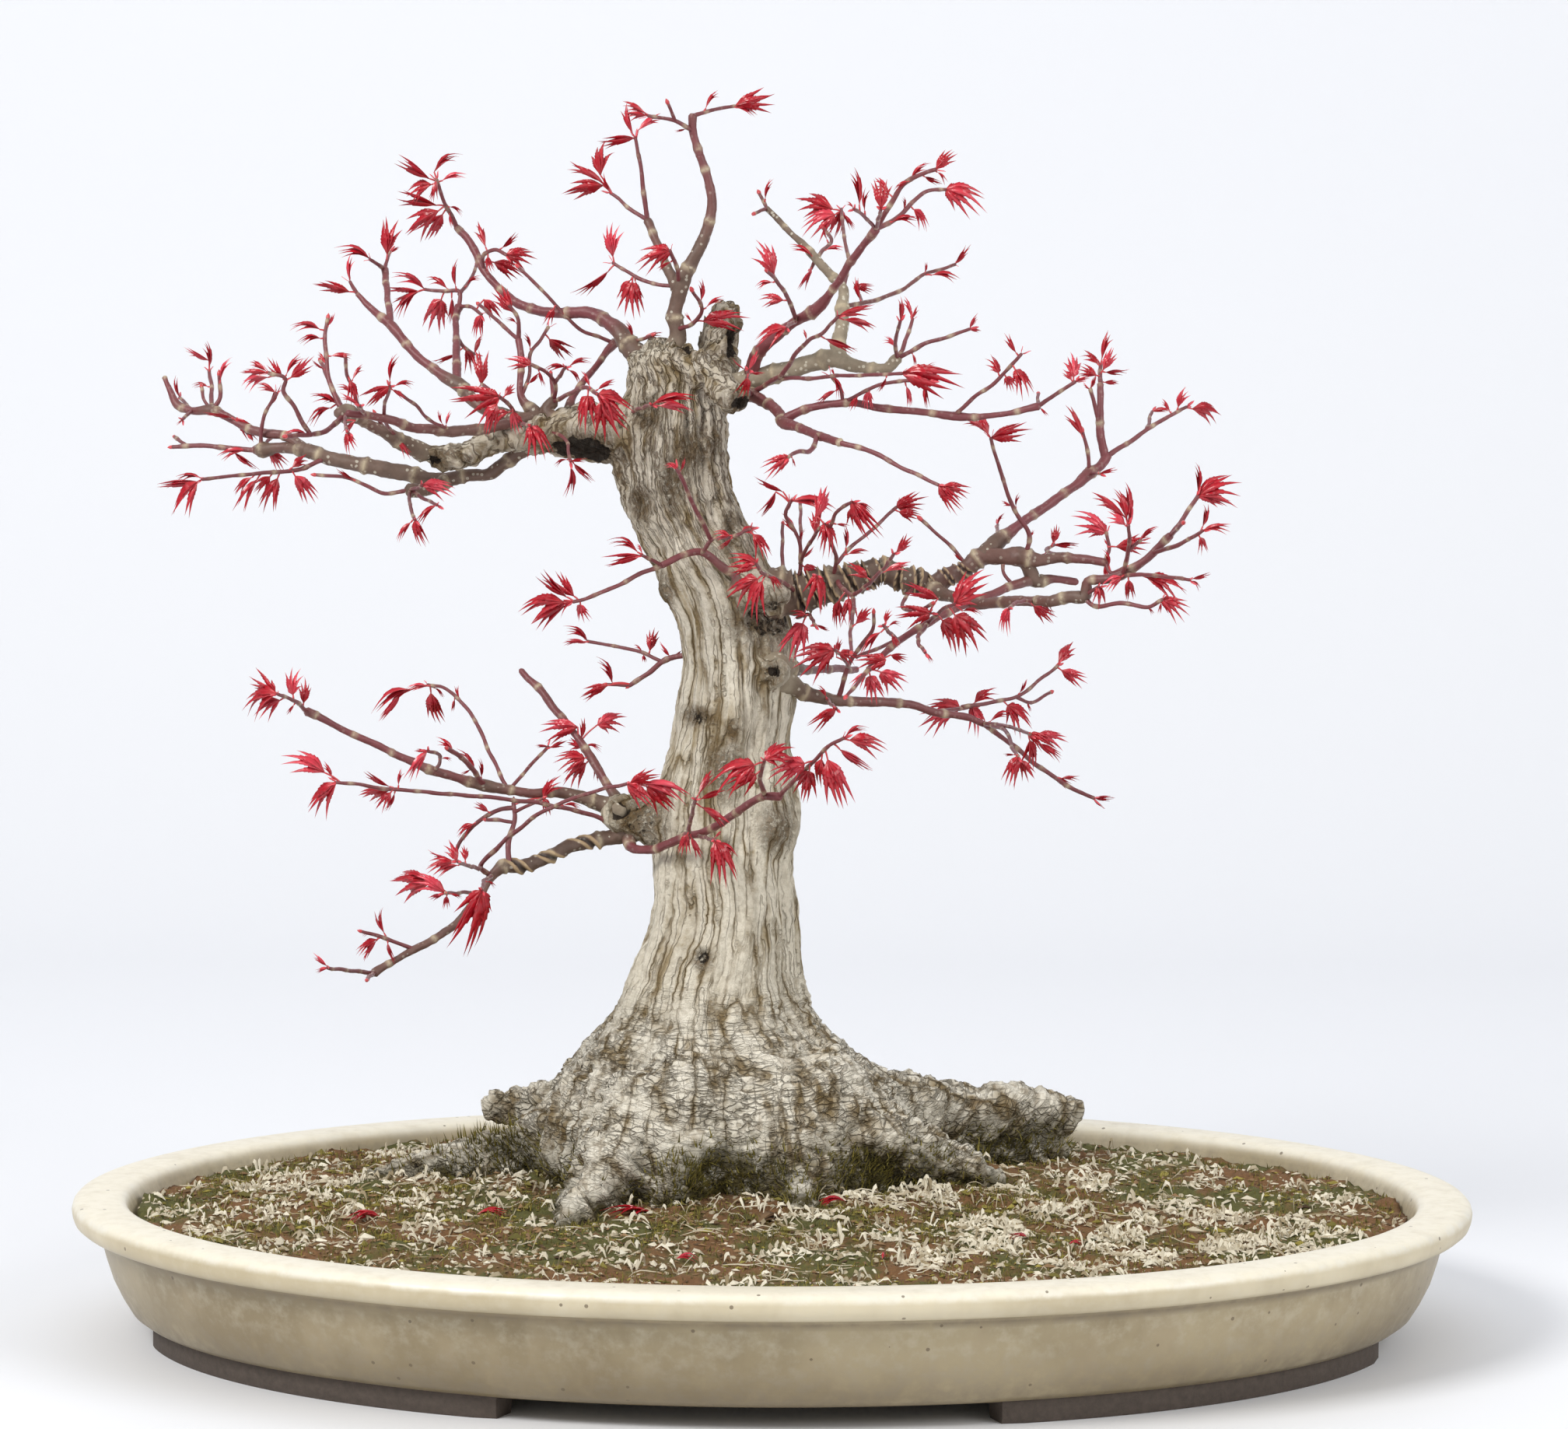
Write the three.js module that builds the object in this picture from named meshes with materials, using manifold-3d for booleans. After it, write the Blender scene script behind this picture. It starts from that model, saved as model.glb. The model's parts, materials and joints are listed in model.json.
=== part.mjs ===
// Deshojo japanese maple bonsai in an oval tray, in millimetres, +Z up.
// The origin is the middle of the underside of the tray's feet.
// +X runs along the tray and the front faces -Y.
import * as THREE from 'three';
import Module from 'manifold-3d';

const wasm = await Module();
wasm.setup();
const { Manifold } = wasm;

// Sizes of the tray.
const RIM_LONG = 280;
const RIM_SHORT = 211;
const TRAY_HEIGHT = 56;
const RIM_WIDTH = 22;
const FLOOR_TOP = 15;
const FOOT_HEIGHT = 7;
const FOOT_INSET = 29;
const FOOT_WIDTH = 15;
const AROUND = 36;

// Sizes that hold all over the tree: the air between neighbouring bodies, the
// depth that the trunk stands at, the radius of a leaf stalk, how far from its
// twig a blade begins before it gets a stalk, and the thickness of a blade.
const GAP = 0.3;
const TRUNK_DEPTH = 40;
const TRUNK_SIDES = 15;
const PETIOLE = 0.6;
const STALK_FROM = 3.6;
const LEAF_THICK = 1.5;

// How much detail is left out: the share of leaves kept by their number of
// lobes, the shortest bare twig, how far a bend lies off the straight line
// before it is kept, and the shortest edge.
const KEEP = { 3: 0.25, 5: 0.46, 7: 0.9 };
const STUB = 9;
const STRAIGHT = 0.7;
const SMALLEST = 0.15;

// Routes are written as [x, z] where they are seen against the upright plane
// through the trunk, by an eye in front of the tree. The depth then slides each
// point along the line of sight.
const EYE = new THREE.Vector3(3.8, -2000, 418);

function seen(x, z, depth) {
  const far = (depth - EYE.y) / (TRUNK_DEPTH - EYE.y);
  return new THREE.Vector3(EYE.x + (x - EYE.x) * far, depth, EYE.z + (z - EYE.z) * far);
}

// The trunk's outline, from the crown down to the root flare:
// height, left edge, right edge, half depth.
const TRUNK = [
  [396, -50, -40, 6],
  [389, -59, -35, 11],
  [380, -60, -26, 15],
  [366, -62, -20, 18],
  [350, -66, -19, 20],
  [337, -63, -17, 21],
  [325, -59, -12, 22],
  [310, -52, -4, 23],
  [297, -46, 3, 24],
  [284, -40, 8, 24],
  [266, -37, 9, 24],
  [250, -40, 9, 25],
  [234, -42, 6, 25],
  [218, -46, 8, 27],
  [202, -48, 10, 28],
  [186, -50, 7, 28],
  [168, -50, 9, 30],
  [152, -54, 10, 33],
  [138, -60, 11, 37],
  [124, -66, 15, 42],
  [110, -77, 28, 48],
  [96, -89, 45, 56],
  [80, -96, 55, 62],
  [62, -99, 62, 65],
  [50, -99, 62, 65],
];

// Roots: [x, y, z, radius] along each, from inside the flare to the tip.
const ROOTS = [
  [[-55, 45, 84, 28], [-92, 46, 64, 17], [-119, 48, 57, 13], [-146, 47, 53, 10.5], [-164, 44, 48, 8]],
  [[-62, 70, 84, 24], [-86, 78, 78, 13], [-104, 84, 76, 9], [-117, 87, 76, 7]],
  [[-60, 70, 74, 24], [-96, 100, 56, 13], [-124, 122, 49, 8]],
  [[-50, 0, 84, 26], [-66, -24, 66, 16], [-75, -42, 56, 11], [-80, -56, 49, 7]],
  [[-28, 8, 88, 30], [-36, -12, 68, 21], [-42, -27, 55, 13]],
  [[0, 8, 76, 24], [10, -18, 60, 13], [14, -34, 52, 8]],
  [[15, 18, 88, 28], [48, 16, 72, 17], [72, 22, 62, 12], [92, 30, 52, 8]],
  [[16, 50, 80, 24], [48, 66, 79, 18], [80, 86, 73, 13.5], [106, 100, 73, 13], [126, 106, 70, 10]],
  [[34, 62, 72, 24], [72, 88, 61, 15], [100, 102, 57, 12], [120, 108, 52, 9]],
  [[10, 90, 84, 26], [40, 128, 62, 16], [58, 150, 49, 8]],
  [[-30, 90, 84, 26], [-36, 132, 62, 17], [-40, 156, 49, 8]],
];

// Limbs and branches, under the body that each belongs to. A limb has the depth
// of its tip and then triples of x, z and radius. It starts at the depth of the
// limb that it springs from.
const LIMBS = {
  tree: [
    // Broken crown: left snag, hollow right snag, and the sawn limb with its dark face.
    [44, -50, 372, 10, -53, 385, 7, -55, 391, 4],
    [62, -26, 372, 10, -24, 388, 9, -22, 400, 8, -20, 408, 6],
    [4, -44, 384, 10, -36, 386, 9, -27, 381, 7, -20, 375, 6.4, -15, 371, 6],
    // Dead knots on the trunk.
    [8, -30, 300, 10, -12, 296, 10, 2, 292, 8],
    [12, -6, 262, 8, 2, 262, 6],
    // Left main limb, its hollow knuckle and the two boughs beyond it.
    [34, -55, 358, 14, -76, 359, 12, -92, 358, 9, -105, 356, 7, -116, 354, 6.4, -126, 349, 6.2, -137,
      348, 5.6, -144, 350, 4],
    [62, -93, 355, 4, -103, 351, 3.2, -109, 346, 2.8, -116, 342, 2.6, -124, 341, 2.6, -135, 339, 3,
      -147, 341, 3.3, -160, 344, 3.3, -172, 346, 3, -182, 348, 2.9, -190, 351, 2.9],
    [34, -132, 339, 3, -142, 335, 2.6, -148, 335, 3],
    // Leaders at the top.
    [40, -44, 388, 5, -40, 398, 3.6, -41, 406, 3.1, -40, 412, 3, -39, 418, 3.4, -34, 427, 2.7, -30, 436,
      2.5, -27, 444, 2.1, -26, 452, 2, -28, 461, 1.8, -31, 470, 1.7],
    // Pale limbs to the right of the crown.
    [16, -26, 374, 6, -10, 380, 4.4, 2, 383, 3.8, 14, 387, 3.6, 24, 389, 3.8, 32, 386, 2.6, 44, 385,
      2.4, 49, 389, 2.3],
    // Right main limb, creased where the training wire bit.
    [22, -20, 296, 16, -2, 294, 10.5, 8, 294, 8.4, 17, 296, 7.4, 27, 299, 6.4, 36, 301, 5.8, 43, 303,
      4.8, 51, 300, 5, 57, 299, 5.4, 62, 297, 4.4, 69, 300, 3.9, 76, 303, 3.6, 84, 309, 3.8, 92, 309,
      3.2, 101, 309, 4, 106, 308, 2.7, 116, 309, 2.1],
    [-34, 62, 297, 4, 70, 293, 2.5, 82, 290, 2.2, 94, 291, 2.2, 104, 291, 2, 112, 291, 2.3],
    // Lower right branch.
    [60, -2, 260, 8, 8, 256, 4, 14, 253, 3, 21, 251, 2.6, 30, 250, 2.1, 44, 250, 1.9, 55, 249, 1.7, 66,
      246, 1.6, 76, 244, 1.5, 85, 241, 1.3],
    [96, 0, 264, 6, 12, 263, 2, 24, 263, 1.6, 33, 263, 1.4],
    // Dark broken knot low on the left with its whorl of branches.
    [34, -38, 202, 16, -52, 202, 11, -60, 203, 9, -66, 205, 7],
    [-10, -56, 198, 6, -63, 195, 3.6, -72, 193, 3, -84, 190, 2.7, -94, 185, 2.6, -103, 182, 2.8, -110,
      182, 2.8, -115, 178, 1.8, -120, 169, 1.6, -126, 162, 2, -134, 155, 1.5, -146, 148, 1.6, -155, 143,
      1.3, -163, 138, 1.9],
    [[16, 4], -14, 296, 6, -16, 300, 2.2, -22, 305, 1.8, -30, 310, 1.5, -38, 309, 1.3, -46, 305, 1.4],
  ],
  left_fork: [
    [10, -142, 350, 4, -152, 355, 3.2, -158, 358, 2.6, -169, 364, 2.6, -174, 366, 4, -177, 366, 2.4],
    [-8, -94, 366, 3, -105, 363, 2.2, -120, 360, 2.2, -131, 359, 2.2, -144, 360, 1.9, -154, 363, 1.8,
      -166, 365, 1.5, -173, 366, 1.5],
  ],
  left_tip: [
    [72, -190, 351, 2.9, -202, 352, 2.3, -208, 351, 3, -211, 351, 1.6],
    [96, -190, 351, 2.6, -200, 357, 1.9, -208, 358, 1.9, -216, 361, 1.7, -223, 365, 1.7, -228, 367, 2.2,
      -236, 367, 1.6, -242, 369, 1.8, -245, 375, 1.2, -247, 380, 1],
  ],
  upper_left: [
    [84, -96, 362, 5, -108, 364, 3.6, -118, 368, 2.7, -129, 378, 2.9, -137, 383, 2, -148, 392, 1.8,
      -156, 402, 2, -163, 408, 1.4, -169, 414, 1],
    [104, -129, 378, 1.9, -129, 392, 1.6, -129, 406, 1.5, -128, 409, 1.9],
    [110, -156, 402, 1.5, -157, 414, 1.3, -158, 424, 1.5],
  ],
  long_branch: [
    [96, -52, 384, 5, -60, 395, 4, -66, 402, 3, -74, 406, 2.6, -88, 407, 2.2, -98, 408, 2, -105, 411,
      1.9, -112, 417, 1.6, -118, 424, 1.6, -123, 434, 1.6, -129, 441, 1.4],
  ],
  inner_mast: [
    [50, -97, 366, 3, -103, 373, 1.6, -103, 386, 1.4, -104, 396, 1.4],
  ],
  inner_knot: [
    [40, -88, 362, 4, -93, 368, 2.6, -90, 371, 2.6],
  ],
  snag_thread: [
    [66, -84, 362, 4, -83, 371, 1.7, -76, 381, 1.4, -70, 389, 1.3, -65, 395, 2],
  ],
  top_tip: [
    [40, -31, 470, 1.7, -34, 480, 1.6, -34, 486, 1.8],
  ],
  top_left: [
    [58, -40, 417, 2.8, -44, 425, 2, -48, 434, 1.7, -52, 444, 1.8],
  ],
  red_limb: [
    [-30, -10, 382, 3.4, -7, 391, 2.6, 0, 398, 2.3, 8, 404, 2, 16, 408, 2.5, 22, 415, 1.7, 30, 428, 1.6,
      36, 436, 1.5, 40, 441, 1.9],
  ],
  pale_limb: [
    [70, 25, 388, 3.4, 26, 398, 2.9, 27, 410, 2.6, 27, 417, 2, 21, 423, 1.9, 16, 429, 1.8, 8, 437, 1.3,
      -4, 449, 1.2],
  ],
  lower_arc: [
    [-44, -14, 376, 3.4, -6, 372, 2.4, 1, 367, 2.2, 3, 363, 2.5, 9, 361, 1.8, 17, 358, 1.7, 26, 355,
      1.5],
    [-16, 3, 364, 2, 14, 369, 1.6, 27, 371, 1.5, 45, 369, 1.5, 64, 367, 1.4, 72, 366, 1.8, 84, 366, 1.2,
      98, 368, 1.2, 106, 370, 1.6],
  ],
  limb_end: [
    [16, 116, 309, 2.1, 126, 308, 1.8, 134, 307, 1.6],
  ],
  far_right: [
    [-50, 112, 291, 2.3, 119, 293, 2.4, 125, 293, 2.6, 127, 299, 1.9, 134, 300, 1.8, 141, 302, 1.8, 147,
      306, 1.6, 153, 311, 1.5, 160, 318, 1.5],
  ],
  high_branch: [
    [60, 84, 309, 4, 90, 315, 3.4, 97, 321, 2.1, 110, 330, 2, 121, 338, 1.9, 127, 343, 2.5, 131, 346, 2,
      134, 350, 2.2],
    [66, 133, 350, 1.8, 131, 361, 1.7, 131, 371, 1.4, 131, 379, 1.3],
  ],
  front_wand: [
    [30, 101, 309, 3.4, 103, 304, 3, 105, 300, 3, 112, 300, 1.8, 122, 299, 1.5],
    [-36, 105, 300, 2.4, 95, 297, 1.7, 84, 292, 1.6, 72, 287, 1.5, 62, 282, 1.6, 50, 274, 1.3, 38, 263,
      1.2],
  ],
  low_left_long: [
    [6, -62, 205, 5, -71, 208, 3.4, -77, 210, 2.8, -87, 212, 2.3, -98, 212, 2, -108, 213, 2, -118, 215,
      2.5, -128, 218, 1.8, -138, 221, 1.9, -152, 227, 1.5, -168, 234, 1.4, -180, 240, 1.3, -190, 245,
      1.8],
  ],
  low_left_mast: [
    [66, -62, 206, 4, -67, 214, 1.8, -73, 224, 1.9, -82, 237, 1.4, -93, 251, 1.7, -103, 262, 1.3],
  ],
  front_twig: [
    [-36, -60, 197, 4, -58, 190, 2, -50, 189, 1.7, -40, 193, 1.7, -30, 196, 1.6, -20, 201, 1.6, -12,
      207, 1.5, -4, 211, 1.5, 2, 211, 1.8],
  ],
};

// Leafy sprays, one body each. A twig has the depth of its tip, the radius at
// its foot and at its tip, its route, and its leaves. A leaf is written as the
// foot of the blade, the tip of the middle lobe, and the number of lobes.
const SPRAYS = {
  left_tip: [
    [78, 1.3, 1, [-208, 351, -225, 352, -238, 352.5, -244, 352],
      [[-212, 351, -226, 349, 3], [-221, 349, -211, 342, 3]]],
    [88, 0.9, 0.9, [-238, 352.5, -243, 356], []],
    [60, 1, 0.8, [-208, 351, -208, 360, -206, 367, -202, 374], [[-206, 367, -200, 376, 3],
      [-201, 375, -210, 378, 3]]],
    [96, 1, 0.8, [-208, 351, -205, 355, -198, 357.5], [[-204, 350, -199, 343, 7]]],
    [110, 1.2, 0.9, [-228, 367, -228, 375, -229, 383], [[-229, 382, -229, 395, 3],
      [-229, 387, -239, 390, 3], [-229, 376, -236, 378, 3]]],
    [84, 1.2, 0.9, [-228, 367, -225, 371, -225, 381], [[-225, 377, -222, 388, 3]]],
    [90, 0.8, 0.8, [-228, 367, -231, 371, -232, 376], []],
    [70, 0.9, 0.8, [-236, 367, -240, 363], [[-238, 365, -242, 361, 3]]],
    [112, 0.9, 0.8, [-236, 367, -241, 372], [[-240, 371, -244, 380, 3]]],
    [76, 0.8, 0.8, [-216, 361, -213, 357], [[-220, 364, -231, 365, 3], [-218, 364, -211, 354, 5]]],
  ],
  left_long_low: [
    [26, 1.2, 0.8, [-182, 348, -190, 344, -202, 342, -216, 341, -232, 339], [[-233, 339, -250, 333, 3],
      [-234, 338, -243, 326, 5], [-232, 340, -243, 341, 3], [-210, 341, -220, 333, 3],
      [-208, 340, -218, 327, 3], [-203, 340, -211, 333, 5], [-200, 340, -207, 327, 5],
      [-196, 342, -187, 330, 5], [-197, 343, -189, 349, 5]]],
  ],
  left_knot_shoots: [
    [34, 1, 0.8, [-148, 335, -158, 334, -166, 337, -174, 340, -186, 341],
      [[-169, 339, -178, 343, 3]]],
    [-2, 0.9, 0.8, [-148, 335, -148, 328, -146, 323], [[-146, 323, -154, 315, 3],
      [-145, 322, -144, 312, 5]]],
    [4, 0.9, 0.8, [-148, 335, -141, 331, -137, 329], [[-138, 329, -146, 322, 3]]],
    [14, 0.9, 0.9, [-148, 335, -143, 337], [[-145, 337, -131, 335, 5]]],
  ],
  left_fork: [
    [-26, 1.3, 1, [-174, 366, -180, 360, -188, 357, -198, 356.5], [[-188, 358, -199, 359, 3]]],
    [-30, 1.1, 0.9, [-188, 357, -191, 362, -195, 369, -199, 375, -198, 379, -205, 382],
      [[-198, 379, -187, 386, 5], [-197, 380, -206, 386, 5], [-198, 382, -192, 390, 3],
        [-204, 382, -217, 382, 3], [-203, 380, -217, 377, 3], [-205, 383, -213, 387, 3]]],
    [-44, 0.8, 0.8, [-174, 366, -174, 361, -173, 358], [[-170, 363, -175, 357, 3], [-174, 359, -173,
      350, 7]]],
    [30, 1.3, 0.9, [-174, 366, -179, 374, -181, 382, -182, 390, -182, 397, -181, 404],
      [[-182, 396, -193, 396, 3], [-182, 399, -196, 403, 3], [-182, 400, -178, 406, 3],
        [-181, 389, -171, 389, 3], [-183, 384, -185, 391, 3], [-182, 383, -188, 386, 3]]],
    [48, 1.2, 0.9, [-174, 366, -178, 373, -181, 380, -184, 387], [[-178, 367, -188, 375, 3],
      [-180, 368, -190, 363, 3], [-179, 368, -183, 372, 3]]],
    [-40, 0.9, 0.8, [-166, 365, -170, 372, -173, 381, -174, 389], [[-173, 381, -169, 370, 5],
      [-171, 373, -177, 378, 3], [-169, 379, -167, 386, 3]]],
    [-30, 0.9, 0.9, [-166, 365, -168, 369], [[-168, 368, -176, 373, 3]]],
    [-26, 0.9, 0.8, [-154, 357, -158, 363, -158, 370, -156, 377], [[-155, 378, -155, 390, 3],
      [-156, 377, -167, 369, 5], [-155, 378, -146, 379, 3], [-155, 377, -150, 372, 3]]],
    [20, 0.9, 0.8, [-154, 357, -159, 361, -162, 366], [[-154, 354, -148, 348, 3]]],
    [-20, 0.8, 0.8, [-132, 359, -140, 364, -148, 371, -152, 374], [[-134, 361, -137, 367, 3],
      [-133, 361, -132, 367, 3]]],
  ],
  upper_left: [
    [84, 1, 0.8, [-169, 414, -172, 419], [[-170, 414, -186, 417, 5], [-171, 418, -173, 430, 3]]],
    [122, 1, 0.8, [-158, 424, -156, 431], [[-158, 427, -156, 445, 5], [-156, 430, -152, 433, 3]]],
    [100, 1, 0.8, [-158, 424, -164, 428], [[-162, 427, -176, 433, 3]]],
    [112, 1.1, 0.8, [-128, 409, -128, 415, -134, 415, -142, 416], [[-142, 416, -154, 424, 3],
      [-144, 416, -157, 412, 5], [-145, 415, -155, 406, 3], [-134, 415, -141, 398, 7],
      [-131, 413, -131, 402, 3], [-131, 416, -141, 422, 3], [-129, 416, -131, 427, 3]]],
    [86, 1, 0.8, [-128, 409, -123, 409, -119, 406], [[-121, 407, -122, 397, 5], [-118, 412, -112,
      404, 5]]],
    [130, 1, 0.8, [-128, 414, -124, 419, -121, 426], [[-124, 415, -120, 422, 3]]],
    [96, 1, 0.8, [-129, 397, -126, 393, -122, 390], [[-127, 393, -121, 383, 5], [-129, 390, -138,
      385, 3],
      [-122, 390, -119, 398, 3]]],
  ],
  long_branch: [
    [80, 1.2, 0.8, [-129, 441, -133, 449, -137, 460], [[-137, 461, -154, 467, 3], [-138, 462, -150,
      454, 5],
      [-138, 461, -139, 451, 3], [-138, 463, -129, 472, 3], [-136, 461, -126, 463, 3],
      [-134, 449, -154, 452, 3], [-135, 449, -150, 438, 5], [-134, 448, -143, 435, 5],
      [-132, 450, -126, 447, 3], [-132, 447, -131, 441, 3]]],
    [70, 1, 0.9, [-118, 424, -118, 430, -113, 432, -109, 430], [[-117, 432, -121, 444, 3],
      [-117, 432, -116, 423, 5], [-112, 432, -104, 438, 3], [-110, 431, -97, 428, 7],
      [-114, 427, -103, 421, 5], [-109, 430, -106, 425, 3]]],
  ],
  snag_thread: [
    [60, 0.9, 0.8, [-66, 395, -77, 399, -85, 405, -90, 411, -97, 418, -104, 425],
      [[-89, 410, -93, 402, 5], [-87, 408, -84, 405, 3]]],
  ],
  inner_mast: [
    [44, 1.1, 0.8, [-104, 396, -104, 404, -108, 410], [[-105, 405, -114, 416, 5], [-105, 402, -109,
      405, 3]]],
    [76, 1, 0.8, [-104, 396, -112, 403, -120, 410], []],
    [60, 0.9, 0.8, [-103, 373, -100, 380, -99, 391, -95, 396, -92, 401], [[-99, 391, -101, 399, 3],
      [-93, 398, -83, 387, 5], [-100, 377, -95, 382, 3]]],
  ],
  inner_fan_left: [
    [6, 1, 0.9, [-105, 363, -107, 369, -112, 373], [[-112, 373, -131, 370, 7], [-113, 371, -118, 358, 5],
      [-108, 368, -104, 358, 7], [-110, 373, -105, 378, 5], [-107, 367, -116, 364, 5]]],
    [-10, 0.9, 0.8, [-105, 363, -99, 361], [[-101, 362, -93, 349, 7]]],
    [30, 0.8, 0.8, [-112, 373, -119, 378], [[-119, 378, -119, 391, 5]]],
  ],
  inner_knot: [
    [24, 1, 0.8, [-90, 371, -89, 379, -95, 384, -99, 386], [[-98, 385, -109, 387, 5],
      [-97, 383, -94, 377, 3]]],
    [16, 1, 0.8, [-89, 379, -85, 385], [[-85, 385, -94, 385, 3], [-84, 385, -75, 389, 3],
      [-84, 384, -78, 379, 3]]],
    [50, 1, 0.9, [-90, 371, -91, 382], []],
    [-14, 1.1, 0.9, [-90, 371, -84, 374, -77, 377, -72, 374], [[-76, 376, -77, 360, 7], [-74, 377,
      -78, 384, 3],
      [-70, 373, -57, 367, 7], [-71, 371, -64, 355, 7], [-73, 376, -65, 380, 3]]],
  ],
  crown_front_pair: [
    [-10, 0.9, 0.8, [-60, 366, -56, 368, -50, 370], [[-50, 370, -33, 374, 3], [-50, 370, -34, 368, 3]]],
  ],
  limb_underside: [
    [-4, 0.9, 0.8, [-92, 360, -85, 356, -83, 347], [[-83, 348, -90, 346, 3], [-83, 347, -82, 332, 3],
      [-82, 346, -75, 338, 3], [-82, 348, -77, 347, 3]]],
  ],
  top_left: [
    [52, 1.2, 0.8, [-52, 444, -54, 460, -55, 467, -57, 477], [[-56, 478, -72, 474, 3],
      [-57, 479, -63, 490, 3], [-56, 480, -46, 487, 3]]],
    [70, 1.1, 0.8, [-52, 444, -59, 449, -67, 455], [[-67, 455, -72, 462, 3], [-70, 459, -84, 467, 3],
      [-70, 458, -86, 454, 5], [-71, 462, -72, 476, 5]]],
    [50, 1, 0.8, [-39, 418, -47, 418, -56, 421, -61, 424, -66, 427], [[-58, 422, -59, 405, 7],
      [-58, 421, -65, 412, 3], [-66, 427, -68, 442, 5], [-66, 426, -79, 412, 3], [-57, 422, -56, 411,
        3]]],
    [24, 1, 0.9, [-39, 418, -41, 427, -43, 432], [[-44, 433, -56, 427, 7], [-42, 428, -48, 424, 3]]],
  ],
  top_tip: [
    [30, 1, 0.8, [-34, 480, -41, 484, -47, 485, -52, 486], [[-51, 486, -62, 491, 3], [-52, 486, -62,
      486, 3],
      [-36, 481, -41, 479, 3]]],
    [30, 0.8, 0.8, [-41, 484, -44, 491], []],
    [56, 1, 0.8, [-34, 486, -27, 488, -17, 490], [[-17, 490, -1, 492, 5], [-16, 490, -8, 487, 3],
      [-30, 488, -24, 497, 3]]],
  ],
  crown_right_spray: [
    [10, 1.1, 0.8, [-41, 400, -34, 402, -30, 408, -34, 416], [[-30, 408, -21, 414, 3],
      [-30, 410, -29, 421, 3], [-32, 403, -14, 404, 5], [-34, 403, -37, 407, 3]]],
  ],
  crown_left_low: [
    [40, 0.9, 0.8, [-60, 395, -55, 396, -50, 398], [[-56, 397, -46, 399, 3], [-58, 397, -60, 404, 3]]],
  ],
  pale_limb: [
    [76, 0.9, 0.8, [-4, 449, -7, 455], [[-5, 451, -3, 461, 3]]],
    [60, 0.9, 0.8, [-4, 449, -9, 447], []],
    [90, 1, 0.8, [16, 429, 22, 437, 19, 441], [[20, 436, 18, 442, 3], [20, 431, 27, 434, 3]]],
    [56, 0.9, 0.8, [16, 429, 14, 425], [[15, 426, 10, 416, 3], [14, 430, 6, 435, 3]]],
    [96, 1, 0.8, [27, 417, 29, 426, 27, 440, 26, 449], [[25, 449, 11, 440, 7], [24, 449, 7, 452, 5],
      [26, 449, 25, 437, 5], [27, 449, 31, 441, 3]]],
    [100, 1.2, 0.8, [27, 410, 35, 411, 47, 415, 58, 422, 72, 427], [[72, 427, 78, 434, 3],
      [60, 423, 74, 422, 3], [59, 424, 61, 428, 3], [34, 414, 31, 421, 3]]],
    [90, 0.8, 0.8, [35, 411, 32, 418], [[32, 418, 39, 416, 5]]],
  ],
  red_limb: [
    [-52, 1.3, 0.9, [40, 441, 46, 452, 51, 459, 58, 463, 64, 465], [[52, 461, 60, 468, 3],
      [62, 465, 71, 472, 5], [64, 465, 69, 460, 3], [54, 461, 47, 457, 3], [46, 454, 39, 462, 3],
      [58, 463, 66, 458, 3]]],
    [-10, 1.2, 0.8, [40, 441, 49, 446, 55, 452, 60, 456, 68, 457], [[68, 457, 83, 451, 7],
      [53, 451, 62, 442, 5], [50, 449, 52, 454, 3], [44, 444, 57, 446, 3]]],
    [-70, 1, 0.8, [40, 441, 42, 449], [[41, 446, 42, 461, 5]]],
    [-66, 0.9, 0.8, [40, 441, 36, 446, 31, 449], [[36, 447, 35, 457, 3], [35, 450, 32, 465, 3],
      [31, 449, 28, 452, 3]]],
    [-40, 1.1, 0.8, [8, 404, 5, 412, 0, 420, -4, 424], [[0, 420, -6, 435, 5], [-1, 419, -9, 418, 3],
      [5, 412, -7, 413, 5]]],
    [-46, 0.9, 0.8, [8, 404, 4, 401], [[5, 402, -8, 397, 5]]],
  ],
  crown_right: [
    [-52, 1.2, 0.8, [-8, 376, 1, 381, 7, 389, 12, 395, 18, 399, 25, 406], [[25, 406, 39, 409, 3],
      [26, 406, 41, 401, 3], [17, 398, 32, 391, 3], [12, 396, 11, 401, 3]]],
    [-44, 1, 0.8, [1, 381, 15, 381, 30, 382, 51, 383], [[52, 383, 72, 377, 5], [60, 382, 63, 388, 3],
      [45, 383, 42, 375, 3], [24, 382, 22, 385, 3]]],
  ],
  crown_centre_star: [
    [-60, 1, 0.9, [-10, 374, -12, 379, -11, 384], [[-11, 384, -18, 387, 3], [-10, 384, -7, 392, 3],
      [-11, 383, -13, 372, 5], [-10, 383, -5, 382, 3]]],
  ],
  pale_limb_end: [
    [-10, 1, 0.8, [49, 389, 48, 396, 50, 404], [[49, 403, 51, 413, 3], [48, 393, 44, 398, 5]]],
    [36, 1.1, 0.8, [49, 389, 53, 398, 55, 405], [[55, 404, 57, 410, 3], [55, 406, 52, 414, 3]]],
    [10, 1.1, 0.8, [49, 389, 60, 395, 70, 398, 78, 401], [[77, 401, 81, 407, 3], [78, 401, 83, 400, 3],
      [54, 393, 57, 386, 3]]],
  ],
  lower_arc: [
    [-70, 1.3, 0.8, [26, 355, 34, 353, 44, 349, 55, 343, 66, 338], [[66, 338, 79, 334, 5],
      [67, 338, 73, 327, 5]]],
    [-66, 1.2, 0.8, [17, 358, 14, 352, 9, 351, 5, 349], [[6, 349, -4, 342, 7], [6, 350, 8, 345, 3]]],
    [-6, 0.9, 0.8, [27, 371, 26, 377, 22, 382], [[22, 382, 28, 374, 3], [26, 377, 16, 371, 3]]],
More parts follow.
